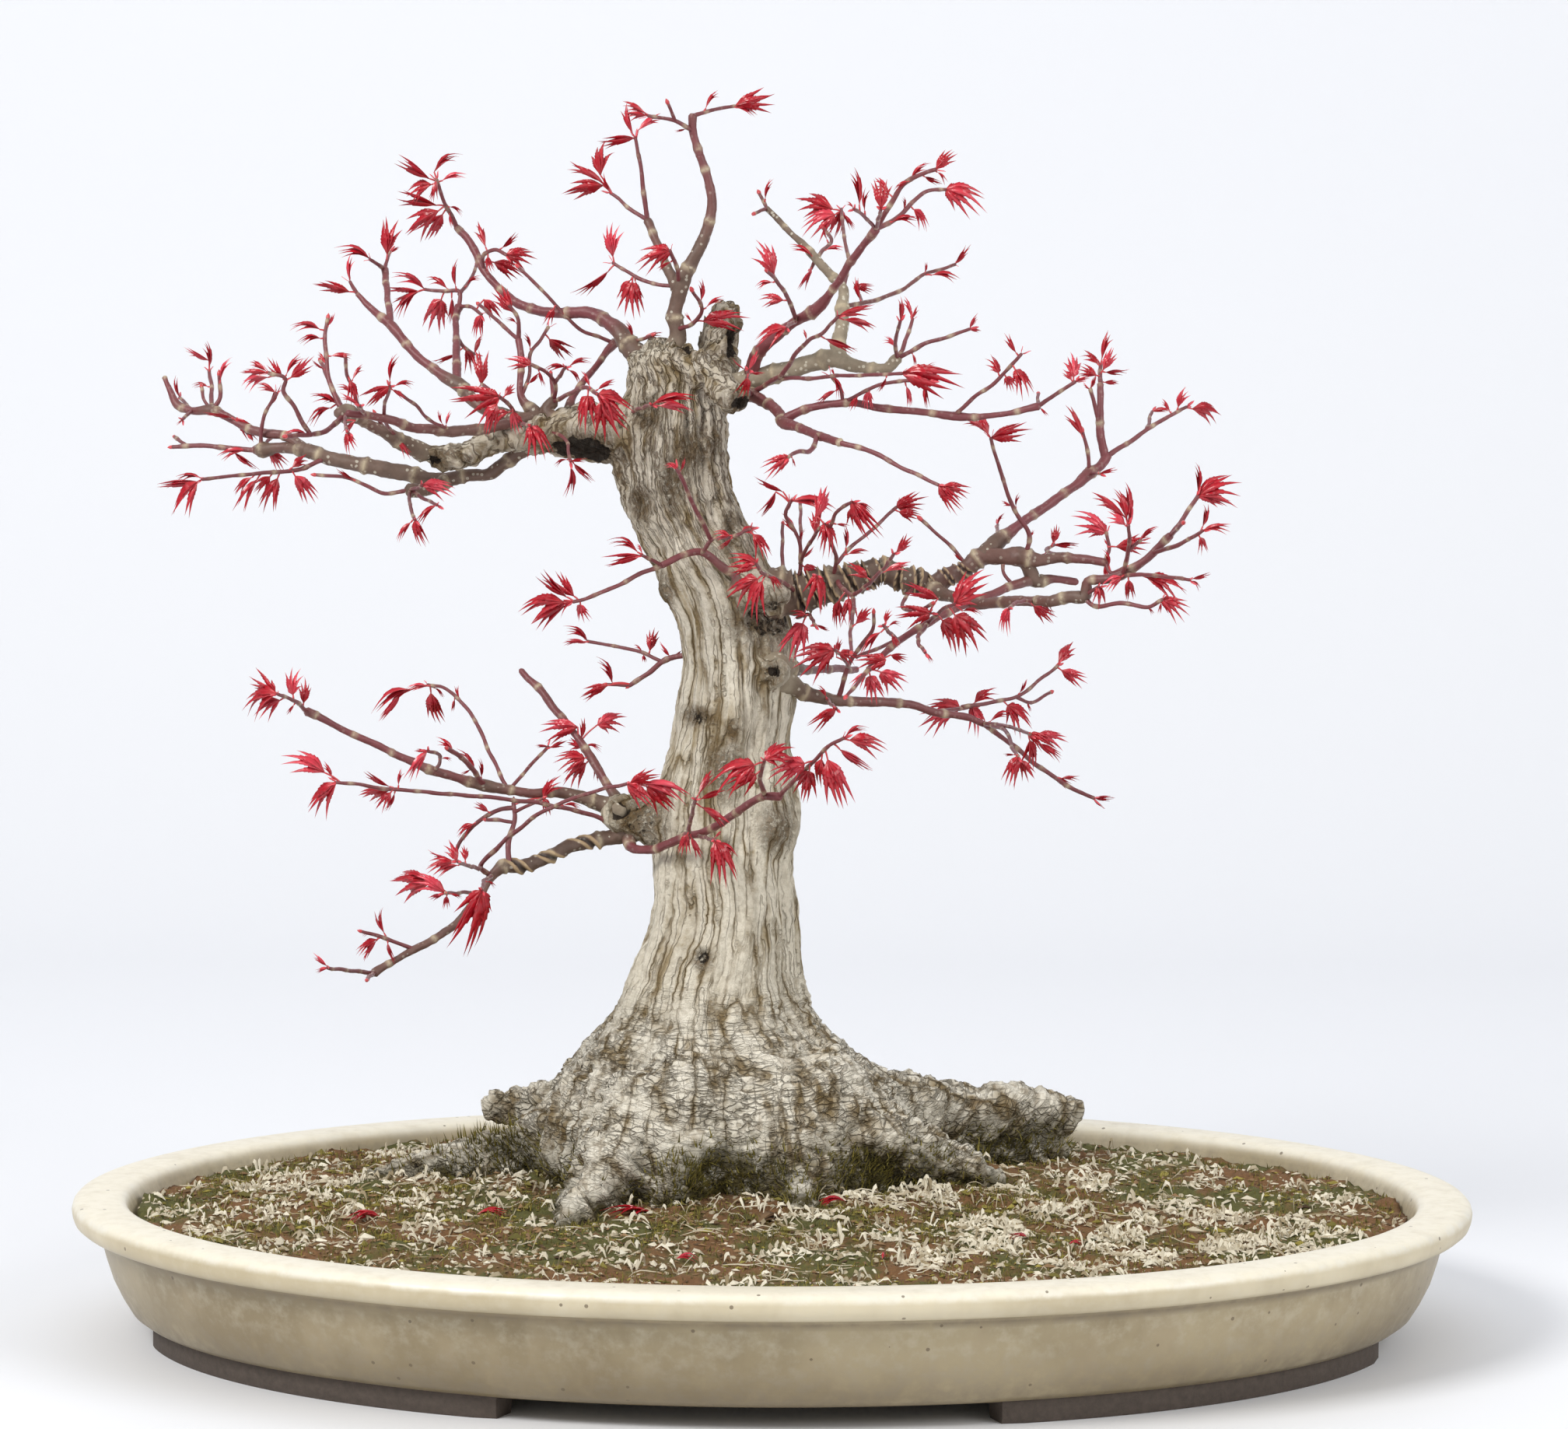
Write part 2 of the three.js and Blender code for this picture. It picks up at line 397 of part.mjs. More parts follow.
    [-22, 0.9, 0.8, [27, 371, 38, 377, 50, 380, 62, 380], [[33, 375, 30, 368, 5], [38, 377, 36, 368, 7],
      [52, 380, 55, 369, 3], [62, 380, 60, 369, 3]]],
    [-30, 1, 0.8, [72, 366, 80, 373, 91, 382, 99, 391], [[90, 382, 87, 391, 7], [92, 383, 97, 376, 7],
      [98, 390, 92, 398, 3], [95, 387, 103, 375, 7]]],
    [-24, 1, 0.8, [106, 370, 113, 375, 121, 380], [[121, 380, 116, 385, 5], [121, 381, 120, 392, 7],
      [121, 380, 127, 382, 3]]],
    [0, 0.8, 0.8, [106, 370, 106, 375], [[107, 370, 110, 366, 3]]],
  ],
  high_branch: [
    [80, 1.2, 0.9, [131, 379, 131, 387], [[131, 387, 134, 401, 3], [131, 386, 124, 393, 5],
      [132, 383, 137, 393, 5], [133, 384, 142, 383, 3], [132, 380, 139, 379, 3], [131, 382, 122, 385,
        5]]],
    [56, 1, 0.9, [131, 361, 129, 370, 127, 377], [[128, 377, 130, 383, 3], [127, 377, 124, 379, 3]]],
    [84, 1.3, 0.8, [134, 350, 142, 355, 150, 361, 160, 367, 166, 370], [[166, 370, 181, 367, 5],
      [162, 368, 165, 378, 5], [160, 367, 156, 373, 3]]],
    [100, 1, 0.8, [150, 361, 152, 368], [[152, 367, 160, 369, 3]]],
    [50, 1, 0.8, [127, 343, 126, 352, 124, 360], [[125, 356, 118, 369, 3]]],
    [44, 0.8, 0.8, [127, 343, 131, 343], [[130, 343, 138, 344, 3]]],
    [80, 0.9, 0.8, [90, 315, 90, 322], [[90, 321, 92, 327, 3]]],
  ],
  crossing_wand: [
    [0, 1.2, 0.8, [101, 309, 103, 318, 98, 326, 93, 338, 89, 350, 87, 357], [[87, 357, 80, 368, 5],
      [84, 361, 75, 365, 3], [88, 359, 102, 359, 5], [97, 328, 98, 335, 3], [96, 329, 91, 331, 3],
      [104, 316, 105, 320, 3]]],
  ],
  ridge_shoot: [
    [20, 0.9, 0.8, [92, 309, 93, 302, 96, 298], [[93, 306, 98, 310, 3]]],
  ],
  limb_end: [
    [60, 1, 0.8, [116, 309, 110, 312, 113, 314], [[112, 313, 115, 322, 5], [113, 314, 123, 313, 3],
      [110, 310, 103, 306, 3]]],
    [10, 1.1, 0.9, [134, 307, 136, 303, 142, 305], [[136, 304, 134, 313, 3], [135, 308, 135, 299, 7]]],
    [30, 0.9, 0.8, [134, 307, 135, 314, 134, 319], [[134, 319, 122, 326, 7], [136, 313, 152, 314, 5],
      [135, 313, 133, 317, 3]]],
  ],
  far_right: [
    [-70, 1.1, 0.8, [141, 302, 143, 312, 143, 322], [[142, 321, 139, 337, 3], [142, 325, 128, 334, 3],
      [143, 325, 143, 340, 3], [142, 323, 135, 327, 5], [143, 323, 145, 331, 3]]],
    [-60, 0.9, 0.8, [143, 312, 148, 316], [[147, 315, 154, 322, 3]]],
    [-50, 1.2, 0.9, [160, 318, 167, 328, 171, 334], [[171, 334, 187, 340, 7], [172, 335, 176, 342, 3],
      [172, 334, 184, 331, 3], [171, 334, 172, 347, 3]]],
    [-70, 0.9, 0.8, [160, 318, 165, 323], []],
    [-80, 1.1, 0.8, [153, 311, 160, 313, 167, 316, 173, 320], [[172, 320, 184, 322, 3],
      [172, 320, 176, 331, 3], [171, 319, 175, 311, 5]]],
    [-74, 1, 0.8, [141, 302, 150, 302, 160, 301, 168, 300], [[168, 300, 177, 302, 3], [167, 300, 173,
      297, 3],
      [147, 302, 166, 296, 5], [143, 301, 144, 291, 5], [142, 302, 133, 297, 5]]],
    [-60, 1.2, 0.8, [125, 293, 128, 290, 141, 290.5, 152, 289, 157, 292], [[157, 293, 167, 286, 7],
      [157, 292, 156, 286, 3], [150, 289, 154, 286, 3]]],
    [-44, 0.9, 0.9, [125, 293, 131, 297], [[131, 297, 133, 289, 7]]],
  ],
  limb_underhang: [
    [-70, 1, 0.8, [104, 291, 97, 290, 95, 288], [[96, 290, 91, 279, 5], [103, 290, 113, 282, 5],
      [105, 290, 114, 287, 3]]],
  ],
  limb_left_sticks: [
    [60, 1, 0.8, [3, 297, 3, 310, 3, 322], []],
  ],
  limb_first_whorl: [
    [10, 1, 0.8, [9, 298, 10, 306, 10, 313, 8, 319, 4, 326, 6, 331], [[8, 316, 3, 326, 3], [5, 326,
      7, 333, 3],
      [8, 332, 24, 330, 3], [3, 335, -9, 339, 3], [0, 335, -5, 324, 3], [10, 313, 11, 320, 3],
      [8, 306, 19, 300, 7], [11, 307, 16, 312, 3]]],
    [-8, 0.9, 0.8, [10, 306, 14, 314, 18, 320, 20, 322], [[20, 322, 24, 310, 7], [15, 317, 17, 328, 5],
      [17, 320, 17, 331, 3], [17, 325, 21, 338, 5]]],
    [46, 0.8, 0.8, [10, 313, 10, 330], []],
  ],
  limb_front_fans: [
    [-60, 1, 0.8, [9, 294, 2, 299, -5, 302, -8, 306], [[-8, 306, -18, 309, 7], [-7, 304, -19, 303, 5],
      [-5, 300, -20, 290, 7], [-4, 301, -12, 285, 5], [-4, 300, 3, 296, 5]]],
  ],
  limb_middle_arch: [
    [-30, 1, 0.8, [22, 299, 25, 306, 22, 318, 25, 327, 31, 331], [[31, 331, 31, 320, 5], [32, 331,
      38, 316, 5],
      [32, 331, 40, 328, 3], [24, 322, 30, 321, 3]]],
    [30, 0.9, 0.8, [25, 306, 28, 310, 37, 318, 49, 329], [[48, 329, 61, 332, 7], [28, 309, 38, 312, 3],
      [28, 311, 29, 321, 3], [50, 329, 59, 324, 5]]],
  ],
  limb_middle_drop: [
    [-60, 1.2, 0.8, [24, 301, 27, 296, 31, 293, 31, 282, 31, 270], [[28, 292, 31, 281, 7],
      [26, 291, 24, 280, 5], [31, 280, 40, 288, 5]]],
    [-66, 1, 0.8, [31, 293, 37, 297, 43, 303, 48, 310], [[48, 309, 56, 317, 5], [42, 302, 55, 306, 3],
      [34, 295, 39, 296, 3], [38, 300, 30, 306, 5]]],
  ],
  limb_front_drop: [
    [-56, 1, 0.8, [17, 296, 17, 301], [[17, 299, 18, 286, 7]]],
  ],
  trunk_side_drop: [
    [-10, 0.9, 0.8, [9, 284, 14, 285, 16, 281], [[14, 285, 6, 286, 5], [13, 283, 5, 267, 7], [16,
      282, 22, 278, 3]]],
  ],
  crease_shoot: [
    [20, 0.9, 0.8, [78, 305, 74, 310, 68, 316, 59, 324], [[78, 307, 72, 310, 3]]],
  ],
  crease_drop: [
    [-30, 0.9, 0.8, [57, 297, 53, 293, 52, 288, 58, 287, 63, 286], [[66, 292, 53, 295, 5],
      [60, 287, 49, 284, 7]]],
    [-36, 0.9, 0.9, [58, 287, 64, 290], []],
  ],
  front_wand: [
    [-46, 1, 0.8, [62, 282, 66, 286, 73, 290], [[76, 290, 85, 302, 7], [66, 285, 79, 272, 7],
      [72, 286, 84, 270, 7], [76, 287, 84, 287, 3]]],
    [-60, 1, 0.8, [50, 274, 46, 279, 44, 281], [[44, 280, 46, 288, 5], [44, 279, 51, 283, 3],
      [43, 278, 34, 270, 3], [45, 276, 50, 272, 5]]],
    [-56, 1, 0.8, [38, 263, 33, 257, 29, 252], [[45, 267, 33, 265, 7], [40, 263, 42, 249, 7],
      [39, 262, 32, 256, 5], [43, 262, 53, 254, 7], [47, 269, 54, 266, 5]]],
    [-70, 1, 0.8, [62, 282, 58, 275, 61, 270], [[60, 271, 64, 266, 3]]],
  ],
  lower_right_riser: [
    [20, 1.2, 0.8, [26, 252, 30, 264, 36, 274, 40, 280, 40, 286], [[25, 268, 26, 276, 3]]],
    [-6, 1, 0.8, [30, 264, 27, 269, 24, 271], [[24, 270, 7, 264, 7], [25, 271, 34, 267, 7], [22, 270,
      17, 262, 5]]],
    [60, 0.9, 0.8, [33, 268, 45, 273, 60, 281], []],
  ],
  lower_right_hanging: [
    [-14, 0.9, 0.8, [21, 251, 25, 247], [[24, 249, 16, 239, 5], [21, 253, 9, 251, 3], [23, 252, 18,
      257, 3]]],
  ],
  lower_right_fans: [
    [78, 1.1, 0.8, [66, 246, 72, 247, 80, 248], [[78, 250, 61, 248, 7], [73, 246, 60, 239, 7],
      [80, 249, 85, 237, 7], [79, 250, 90, 257, 5]]],
    [90, 1, 0.8, [76, 248, 88, 250, 98, 252, 107, 259, 115, 265], [[114, 265, 122, 275, 5],
      [115, 265, 126, 257, 5], [99, 252, 103, 259, 3], [92, 252, 105, 239, 7]]],
    [100, 0.9, 0.8, [98, 252, 104, 250, 112, 254], [[102, 250, 104, 246, 3]]],
  ],
  lower_right_tip: [
    [20, 1.3, 0.9, [85, 241, 95, 234, 105, 226, 115, 219, 125, 213, 130, 211], [[130, 211, 138, 210, 3],
      [129, 210, 134, 206, 3], [112, 222, 121, 214, 3], [115, 219, 124, 219, 3]]],
    [-10, 1, 0.8, [85, 241, 93, 239, 97, 231, 99, 228], [[99, 228, 95, 216, 5], [99, 227, 105, 218, 5],
      [99, 229, 93, 228, 3]]],
    [0, 1, 0.8, [85, 241, 95, 240, 104, 237], [[103, 237, 111, 232, 7], [105, 236, 119, 233, 5],
      [107, 233, 117, 227, 3], [104, 236, 106, 222, 5], [86, 243, 96, 247, 3]]],
  ],
  front_twig: [
    [-60, 1.1, 0.8, [-35, 194, -34, 202, -32, 210], [[-32, 210, -25, 222, 3], [-31, 210, -20, 213, 3],
      [-31, 208, -18, 199, 3], [-33, 197, -38, 187, 5], [-32, 196, -30, 185, 3]]],
    [-64, 0.9, 0.8, [-31, 195, -24, 193], [[-24, 193, -18, 176, 5], [-24, 193, -14, 187, 3],
      [-25, 193, -21, 197, 3]]],
    [-66, 1.2, 0.8, [-4, 211, -6, 219, -4, 226], [[-5, 226, -26, 218, 7], [-6, 222, -18, 212, 7],
      [-4, 226, 9, 232, 7]]],
    [-74, 1.1, 0.8, [2, 211, 9, 218, 16, 226, 21, 231, 28, 235], [[15, 226, -3, 220, 7], [14, 225,
      12, 208, 7],
      [20, 229, 18, 213, 5], [22, 229, 27, 206, 5], [25, 231, 38, 220, 3], [27, 234, 37, 241, 3],
      [28, 235, 45, 232, 5]]],
  ],
  low_left_long: [
    [-24, 1.1, 0.8, [-190, 245, -195, 249, -202, 252], [[-192, 246, -190, 257, 5], [-195, 250, -197,
      263, 7],
      [-200, 252, -214, 259, 7], [-201, 251, -218, 248, 5], [-199, 250, -211, 244, 5],
      [-196, 247, -198, 243, 3]]],
    [-20, 0.9, 0.8, [-138, 221, -136, 227, -141, 229], [[-140, 229, -149, 218, 3], [-140, 229, -147,
      229, 3],
      [-137, 226, -131, 226, 3]]],
    [-10, 1.3, 1.1, [-118, 215, -123, 222, -128, 227, -133, 230], [[-129, 228, -137, 235, 3],
      [-120, 219, -128, 231, 3], [-123, 222, -127, 219, 3], [-119, 217, -119, 226, 3]]],
  ],
  low_left_thin: [
    [-40, 1.2, 0.8, [-64, 197, -72, 202, -85, 206, -105, 209, -140, 212, -160, 214, -178, 216],
      [[-183, 220, -198, 228, 5], [-180, 216, -191, 204, 5], [-180, 218, -183, 225, 3],
        [-154, 214, -168, 219, 3], [-154, 213, -170, 210, 5], [-155, 213, -161, 205, 5],
        [-154, 213, -157, 204, 3], [-153, 214, -152, 222, 3]]],
  ],
  low_left_arc: [
    [70, 1, 0.8, [-108, 213, -115, 227, -126, 248, -133, 254, -141, 256], [[-128, 249, -130, 256, 3],
      [-140, 256, -149, 255, 3], [-139, 256, -134, 251, 3], [-141, 255, -138, 239, 5],
      [-152, 252, -160, 241, 3], [-148, 254, -164, 247, 3], [-130, 251, -131, 245, 3]]],
    [50, 0.9, 0.8, [-108, 213, -102, 220, -92, 231], [[-91, 231, -97, 231, 3], [-91, 232, -84, 233, 3]]],
  ],
  low_left_mast: [
    [50, 1, 0.8, [-73, 224, -76, 229, -80, 233], [[-74, 227, -89, 225, 7], [-75, 226, -86, 215, 5],
      [-73, 225, -71, 217, 5], [-77, 230, -85, 233, 5], [-78, 232, -70, 231, 3], [-78, 233, -77, 243, 3],
      [-72, 240, -60, 243, 7], [-80, 239, -95, 237, 5]]],
  ],
  low_left_whip: [
    [-56, 1.2, 0.8, [-115, 178, -119, 181, -112, 190, -103, 198, -95, 204, -83, 209, -70, 214, -60, 216],
      [[-60, 216, -48, 219, 5], [-57, 216, -50, 207, 5], [-52, 215, -41, 204, 5], [-54, 216, -34,
        212, 3],
        [-88, 208, -78, 207, 3]]],
    [-70, 1, 0.8, [-119, 181, -124, 182, -129, 184], [[-126, 182, -126, 191, 5], [-127, 182, -138,
      179, 3],
      [-129, 183, -142, 182, 5], [-129, 184, -141, 186, 3], [-129, 184, -133, 192, 5]]],
    [-60, 1, 0.8, [-115, 178, -118, 176, -119, 172], [[-118, 176, -113, 174, 3], [-119, 172, -124,
      146, 7],
      [-119, 173, -117, 162, 5]]],
  ],
  low_left_hook: [
    [26, 1.4, 1, [-108, 183, -108, 192, -106, 200, -106, 208], [[-94, 210, -89, 219, 5], [-94, 210,
      -91, 203, 5]]],
    [40, 1.1, 0.9, [-106, 206, -113, 205, -121, 200, -127, 193, -130, 187], [[-116, 205, -122, 207, 5],
      [-122, 202, -130, 195, 5]]],
    [30, 0.9, 0.9, [-106, 200, -117, 201], []],
    [20, 0.8, 0.8, [-106, 204, -100, 207, -94, 210], []],
  ],
  low_left_level: [
    [-30, 0.9, 0.8, [-119, 171, -126, 171, -134, 171], [[-134, 171, -146, 177, 5], [-140, 175, -158,
      173, 5],
      [-142, 176, -152, 179, 3], [-133, 171, -127, 169, 3], [-134, 171, -134, 164, 5],
      [-134, 170, -141, 168, 3]]],
  ],
  low_left_end: [
    [-60, 1.1, 0.8, [-163, 138, -172, 138.5, -182, 140], [[-181, 140, -188, 145, 3], [-182, 140,
      -187, 138, 3]]],
    [-60, 0.9, 0.9, [-163, 138, -166, 135], []],
  ],
  low_left_fork: [
    [-10, 1, 0.8, [-147, 148, -157, 152, -168, 155], [[-158, 152, -163, 164, 3], [-158, 151, -156,
      142, 3],
      [-160, 152, -171, 147, 5], [-161, 152, -168, 143, 3], [-163, 154, -168, 154, 3]]],
  ],
  waist_twig: [
    [-16, 1.1, 0.8, [-46, 305, -60, 299, -70, 294, -78, 291, -82, 290], [[-80, 292, -90, 300, 5],
      [-84, 291, -97, 300, 3], [-82, 290, -104, 288, 5], [-81, 290, -90, 287, 5], [-82, 289, -100,
        280, 3],
      [-79, 290, -78, 281, 7]]],
    [-8, 0.9, 0.8, [-46, 305, -50, 307, -54, 309], [[-54, 309, -66, 317, 3], [-54, 309, -69, 304, 3],
      [-54, 309, -56, 314, 3]]],
  ],
  waist_riser: [
    [-30, 1, 0.8, [-30, 310, -26, 315, -17, 317, -10, 320], [[-17, 317, -25, 318, 5], [-17, 317, -22,
      311, 3],
      [-15, 317, -7, 321, 5], [-8, 320, -2, 309, 5]]],
    [-24, 1.1, 0.9, [-26, 315, -29, 322, -32, 328, -35, 334, -40, 344], [[-40, 344, -44, 347, 5],
      [-40, 343, -36, 348, 3]]],
  ],
  waist_low: [
    [44, 1.4, 1.1, [-34, 269, -45, 266, -52, 261, -59, 256], [[-68, 256, -79, 251, 5], [-66, 257,
      -70, 268, 3],
      [-43, 267, -37, 270, 3], [-42, 268, -47, 273, 3]]],
    [60, 0.9, 0.8, [-46, 266, -55, 270, -65, 272, -76, 274], [[-76, 274, -84, 281, 3], [-75, 273,
      -86, 273, 3],
      [-53, 270, -57, 273, 3], [-53, 270, -53, 265, 5], [-50, 271, -49, 279, 5]]],
    [44, 0.8, 0.8, [-59, 256, -68, 256.5], []],
  ],
};

// Small helpers for closed meshes.

function solid(points, faces) {
  const vertProperties = new Float32Array(points.length * 3);
  points.forEach((p, i) => vertProperties.set([p.x, p.y, p.z], i * 3));
  const triVerts = new Uint32Array(faces.flat());
  return new Manifold(new wasm.Mesh({ numProp: 3, vertProperties, triVerts }));
}

// A skin over rings of equal size, with a flat lid at both ends or, when it runs
// back to its first ring, none.
function skin(rings, closed = false) {
  const sides = rings[0].length;
  const faces = [];
  const last = closed ? rings.length : rings.length - 1;
  for (let i = 0; i < last; i++) {
    const next = (i + 1) % rings.length;
    for (let j = 0; j < sides; j++) {
      const k = (j + 1) % sides;
      faces.push([i * sides + j, i * sides + k, next * sides + k]);
      faces.push([i * sides + j, next * sides + k, next * sides + j]);
    }
  }
  if (!closed) {
    const top = (rings.length - 1) * sides;
    for (let j = 1; j < sides - 1; j++) {
      faces.push([0, j + 1, j]);
      faces.push([top, top + j, top + j + 1]);
    }
  }
  return solid(rings.flat(), faces);
}

// A number from 0 to 1 that is always the same for the same place.
function chance(a, b, c = 0) {
  const s = Math.sin(a * 12.9898 + b * 78.233 + c * 37.719) * 43758.5453;
  return s - Math.floor(s);
}

function joinAll(parts) {
  return parts.reduce((all, part) => all.add(part));
}

// The main body, without loose chips or edges too short to matter.
function largest(body) {
  const main = body.decompose().reduce((a, b) => (b.volume() > a.volume() ? b : a));
  return main.simplify(SMALLEST).decompose().reduce((a, b) => (b.volume() > a.volume() ? b : a));
}

// Limbs and twigs. A route is a list of [x, z, depth, radius].

// The depth of the closest limb to a place, as seen from the front.
function nearest(routes, x, z) {
  let best = { distance: Infinity, depth: TRUNK_DEPTH };
  for (const route of routes) {
    for (let i = 1; i < route.length; i++) {
      const [ax, az, ad] = route[i - 1];
      const [bx, bz, bd] = route[i];
      const length = (bx - ax) ** 2 + (bz - az) ** 2;
      const along = ((x - ax) * (bx - ax) + (z - az) * (bz - az)) / length;
      const t = Math.min(Math.max(along, 0), 1);
      const distance = Math.hypot(x - ax - t * (bx - ax), z - az - t * (bz - az));
      if (distance < best.distance - 0.01) {
        best = { distance, depth: ad + t * (bd - ad) };
      }
    }
  }
  return best;
}

// Gives each point of a route its depth, in step with the way along it.
function route(start, tip, points) {
  const run = [0];
  for (let i = 1; i < points.length; i++) {
    const step = Math.hypot(points[i][0] - points[i - 1][0], points[i][1] - points[i - 1][1]);
    run.push(run[i - 1] + step);
  }
  const whole = run[run.length - 1];
  return points.map(([x, z, r], i) => [x, z, start + ((tip - start) * run[i]) / whole, r]);
}

function limbRoute([depths, ...numbers], earlier) {
  const points = [];
  for (let i = 0; i < numbers.length; i += 3) {
    points.push(numbers.slice(i, i + 3));
  }
  if (Array.isArray(depths)) {
    return route(depths[0], depths[1], points);
  }
  const foot = nearest(earlier, points[0][0], points[0][1]);
  const start = foot.distance < 6 ? foot.depth : TRUNK_DEPTH;
  return route(start, depths, points);
}

function twigRoute([tip, footRadius, tipRadius, flat], earlier) {
  const points = [];
  for (let i = 0; i < flat.length; i += 2) {
    const part = i / (flat.length - 2);
    points.push([flat[i], flat[i + 1], footRadius + (tipRadius - footRadius) * part]);
  }
  const foot = nearest(earlier, points[0][0], points[0][1]);
  const start = foot.distance < 6 ? foot.depth : TRUNK_DEPTH;
  return route(start, tip, points);
}

// Leaves out the points of a route that lie almost on the line between their
// neighbours, unless the limb swells or narrows there.
function straightened(path) {
  const keptPoints = [path[0]];
  for (let i = 1; i < path.length - 1; i++) {
    const [ax, az, , ar] = keptPoints[keptPoints.length - 1];
    const [bx, bz, , br] = path[i + 1];
    const [x, z, , r] = path[i];
    const length = Math.hypot(bx - ax, bz - az);
    const off = Math.abs((x - ax) * (bz - az) - (z - az) * (bx - ax)) / length;
    const part = Math.hypot(x - ax, z - az) / length;
    if (off > STRAIGHT || Math.abs(r - ar - (br - ar) * part) > STRAIGHT / 2) {
      keptPoints.push(path[i]);
    }
  }
  keptPoints.push(path[path.length - 1]);
  return keptPoints;
}

function tubeRings(path, sides, grow) {
  const centres = path.map(([x, z, depth]) => seen(x, z, depth));
  const rings = [];
  let across = new THREE.Vector3(0, 1, 0);
  for (let i = 0; i < centres.length; i++) {
    const before = centres[Math.max(i - 1, 0)];
    const after = centres[Math.min(i + 1, centres.length - 1)];
    const along = after.clone().sub(before).normalize();
    across.addScaledVector(along, -across.dot(along)).normalize();
    const up = along.clone().cross(across);
    const radius = path[i][3] + grow;
    const end = i === 0 ? -grow : i === centres.length - 1 ? grow : 0;
    const ring = [];
    for (let j = 0; j < sides; j++) {
      const turn = (j / sides) * 2 * Math.PI;
      ring.push(centres[i].clone().addScaledVector(along, end)
        .addScaledVector(across, radius * Math.cos(turn))
        .addScaledVector(up, radius * Math.sin(turn)));
    }
    rings.push(ring);
  }
  return rings;
}

function tube(path, sides, grow = 0) {
  return skin(tubeRings(path, sides, grow));
}

function sidesFor(path) {
  const thick = Math.max(...path.map((p) => p[3]));
  return thick > 8 ? 8 : thick > 4.5 ? 6 : thick > 3.2 ? 5 : thick > 2 ? 4 : 3;
}

// Leaves. The blade is a lens: its outline is a sharp edge, and ridges run from
// the thick middle to the tip of each lobe. Three lobes make a leaf that is
// still folded, seven an open fan.
const LOBE_ANGLE = { 3: 15, 5: 22, 7: 27 };
const NOTCH = { 3: 0.5, 5: 0.45, 7: 0.42 };
const MIDDLE = { 3: 0.36, 5: 0.3, 7: 0.22 };

function blade(foot, tip, lobes, roll, grow) {
  const along = tip.clone().sub(foot);
  const length = along.length();
  along.normalize();
  const toEye = EYE.clone().sub(foot).normalize();
  const flat = along.clone().cross(toEye).normalize().applyAxisAngle(along, roll);
  const face = flat.clone().cross(along).normalize();
  const step = THREE.MathUtils.degToRad(LOBE_ANGLE[lobes]);
  const half = (lobes - 1) / 2;
  const place = (angle, distance, lift) => foot.clone()
    .addScaledVector(along, Math.cos(angle) * distance)
    .addScaledVector(flat, Math.sin(angle) * distance)
    .addScaledVector(face, lift);
  const edge = [];
  for (let i = -half; i <= half; i++) {
    const reach = length * (1 - 0.09 * Math.abs(i) ** 1.4) + grow * 2;
    edge.push(place(i * step, reach, -0.06 * reach * Math.abs(i)));
    if (i < half) {
      edge.push(place((i + 0.5) * step, length * NOTCH[lobes] + grow * 2, 0.02 * length));
    }
  }
  const thick = LEAF_THICK / 2 + grow * 1.5;
  const above = place(0, length * MIDDLE[lobes], thick);
  const below = place(0, length * MIDDLE[lobes], -thick);
  return { along, flat, face, edge, above, below };
}

// A twig or a stalk whose skin runs on into the blade at its end.
function leafyTwig(path, end, lobes, roll, grow) {
  const rings = tubeRings(path, 3, grow);
  const last = rings[rings.length - 1];
  const foot = last.reduce((sum, p) => sum.add(p), new THREE.Vector3()).divideScalar(3);
  const { along, flat, face, edge, above, below } = blade(foot, end, lobes, roll, grow);
  const points = [...rings.flat(), ...edge, above, below];
  const base = (rings.length - 1) * 3;
  const first = base + 3;
  const faces = [[0, 2, 1]];
  for (let i = 0; i < rings.length - 1; i++) {
    for (let j = 0; j < 3; j++) {
      const k = (j + 1) % 3;
      faces.push([i * 3 + j, i * 3 + k, i * 3 + 3 + k], [i * 3 + j, i * 3 + 3 + k, i * 3 + 3 + j]);
    }
  }
  const top = first + edge.length;
  const under = top + 1;
  for (let i = 0; i < edge.length - 1; i++) {
    faces.push([first + i + 1, first + i, top], [first + i, first + i + 1, under]);
  }
  // The three corners of the twig's end meet the blade's two sides, top and underside in turn.
  const turnOf = (p) => {
    const out = p.clone().sub(foot);
    return Math.atan2(-out.dot(face), out.dot(flat));
  };
  const corners = [0, 1, 2].map((j) => [turnOf(points[base + j]), base + j]);
  const sides = [[0, first + edge.length - 1], [Math.PI / 2, under], [Math.PI, first], [-Math.PI / 2,
    top]];
  const lead = corners.reduce((a, c) => (Math.abs(c[0]) < Math.abs(a[0]) ? c : a));
  const shift = corners.indexOf(lead);
  const [r0, r1, r2] = [0, 1, 2].map((j) => corners[(j + shift) % 3][1]);
  const [q0, q1, q2, q3] = sides.map((side) => side[1]);
  faces.push([r0, r1, q1], [r0, q1, q0], [r1, q2, q1], [r1, r2, q2], [r2, q3, q2], [r2, r0, q3], [r0,
    q0, q3]);
  return solid(points, faces);
}

// Which leaves are kept: most of the open fans, and fewer of those still folded.
function kept([footX, footZ, tipX, tipZ, lobes]) {
  return chance(footX + tipX, footZ - tipZ, 2) < KEEP[lobes];
}

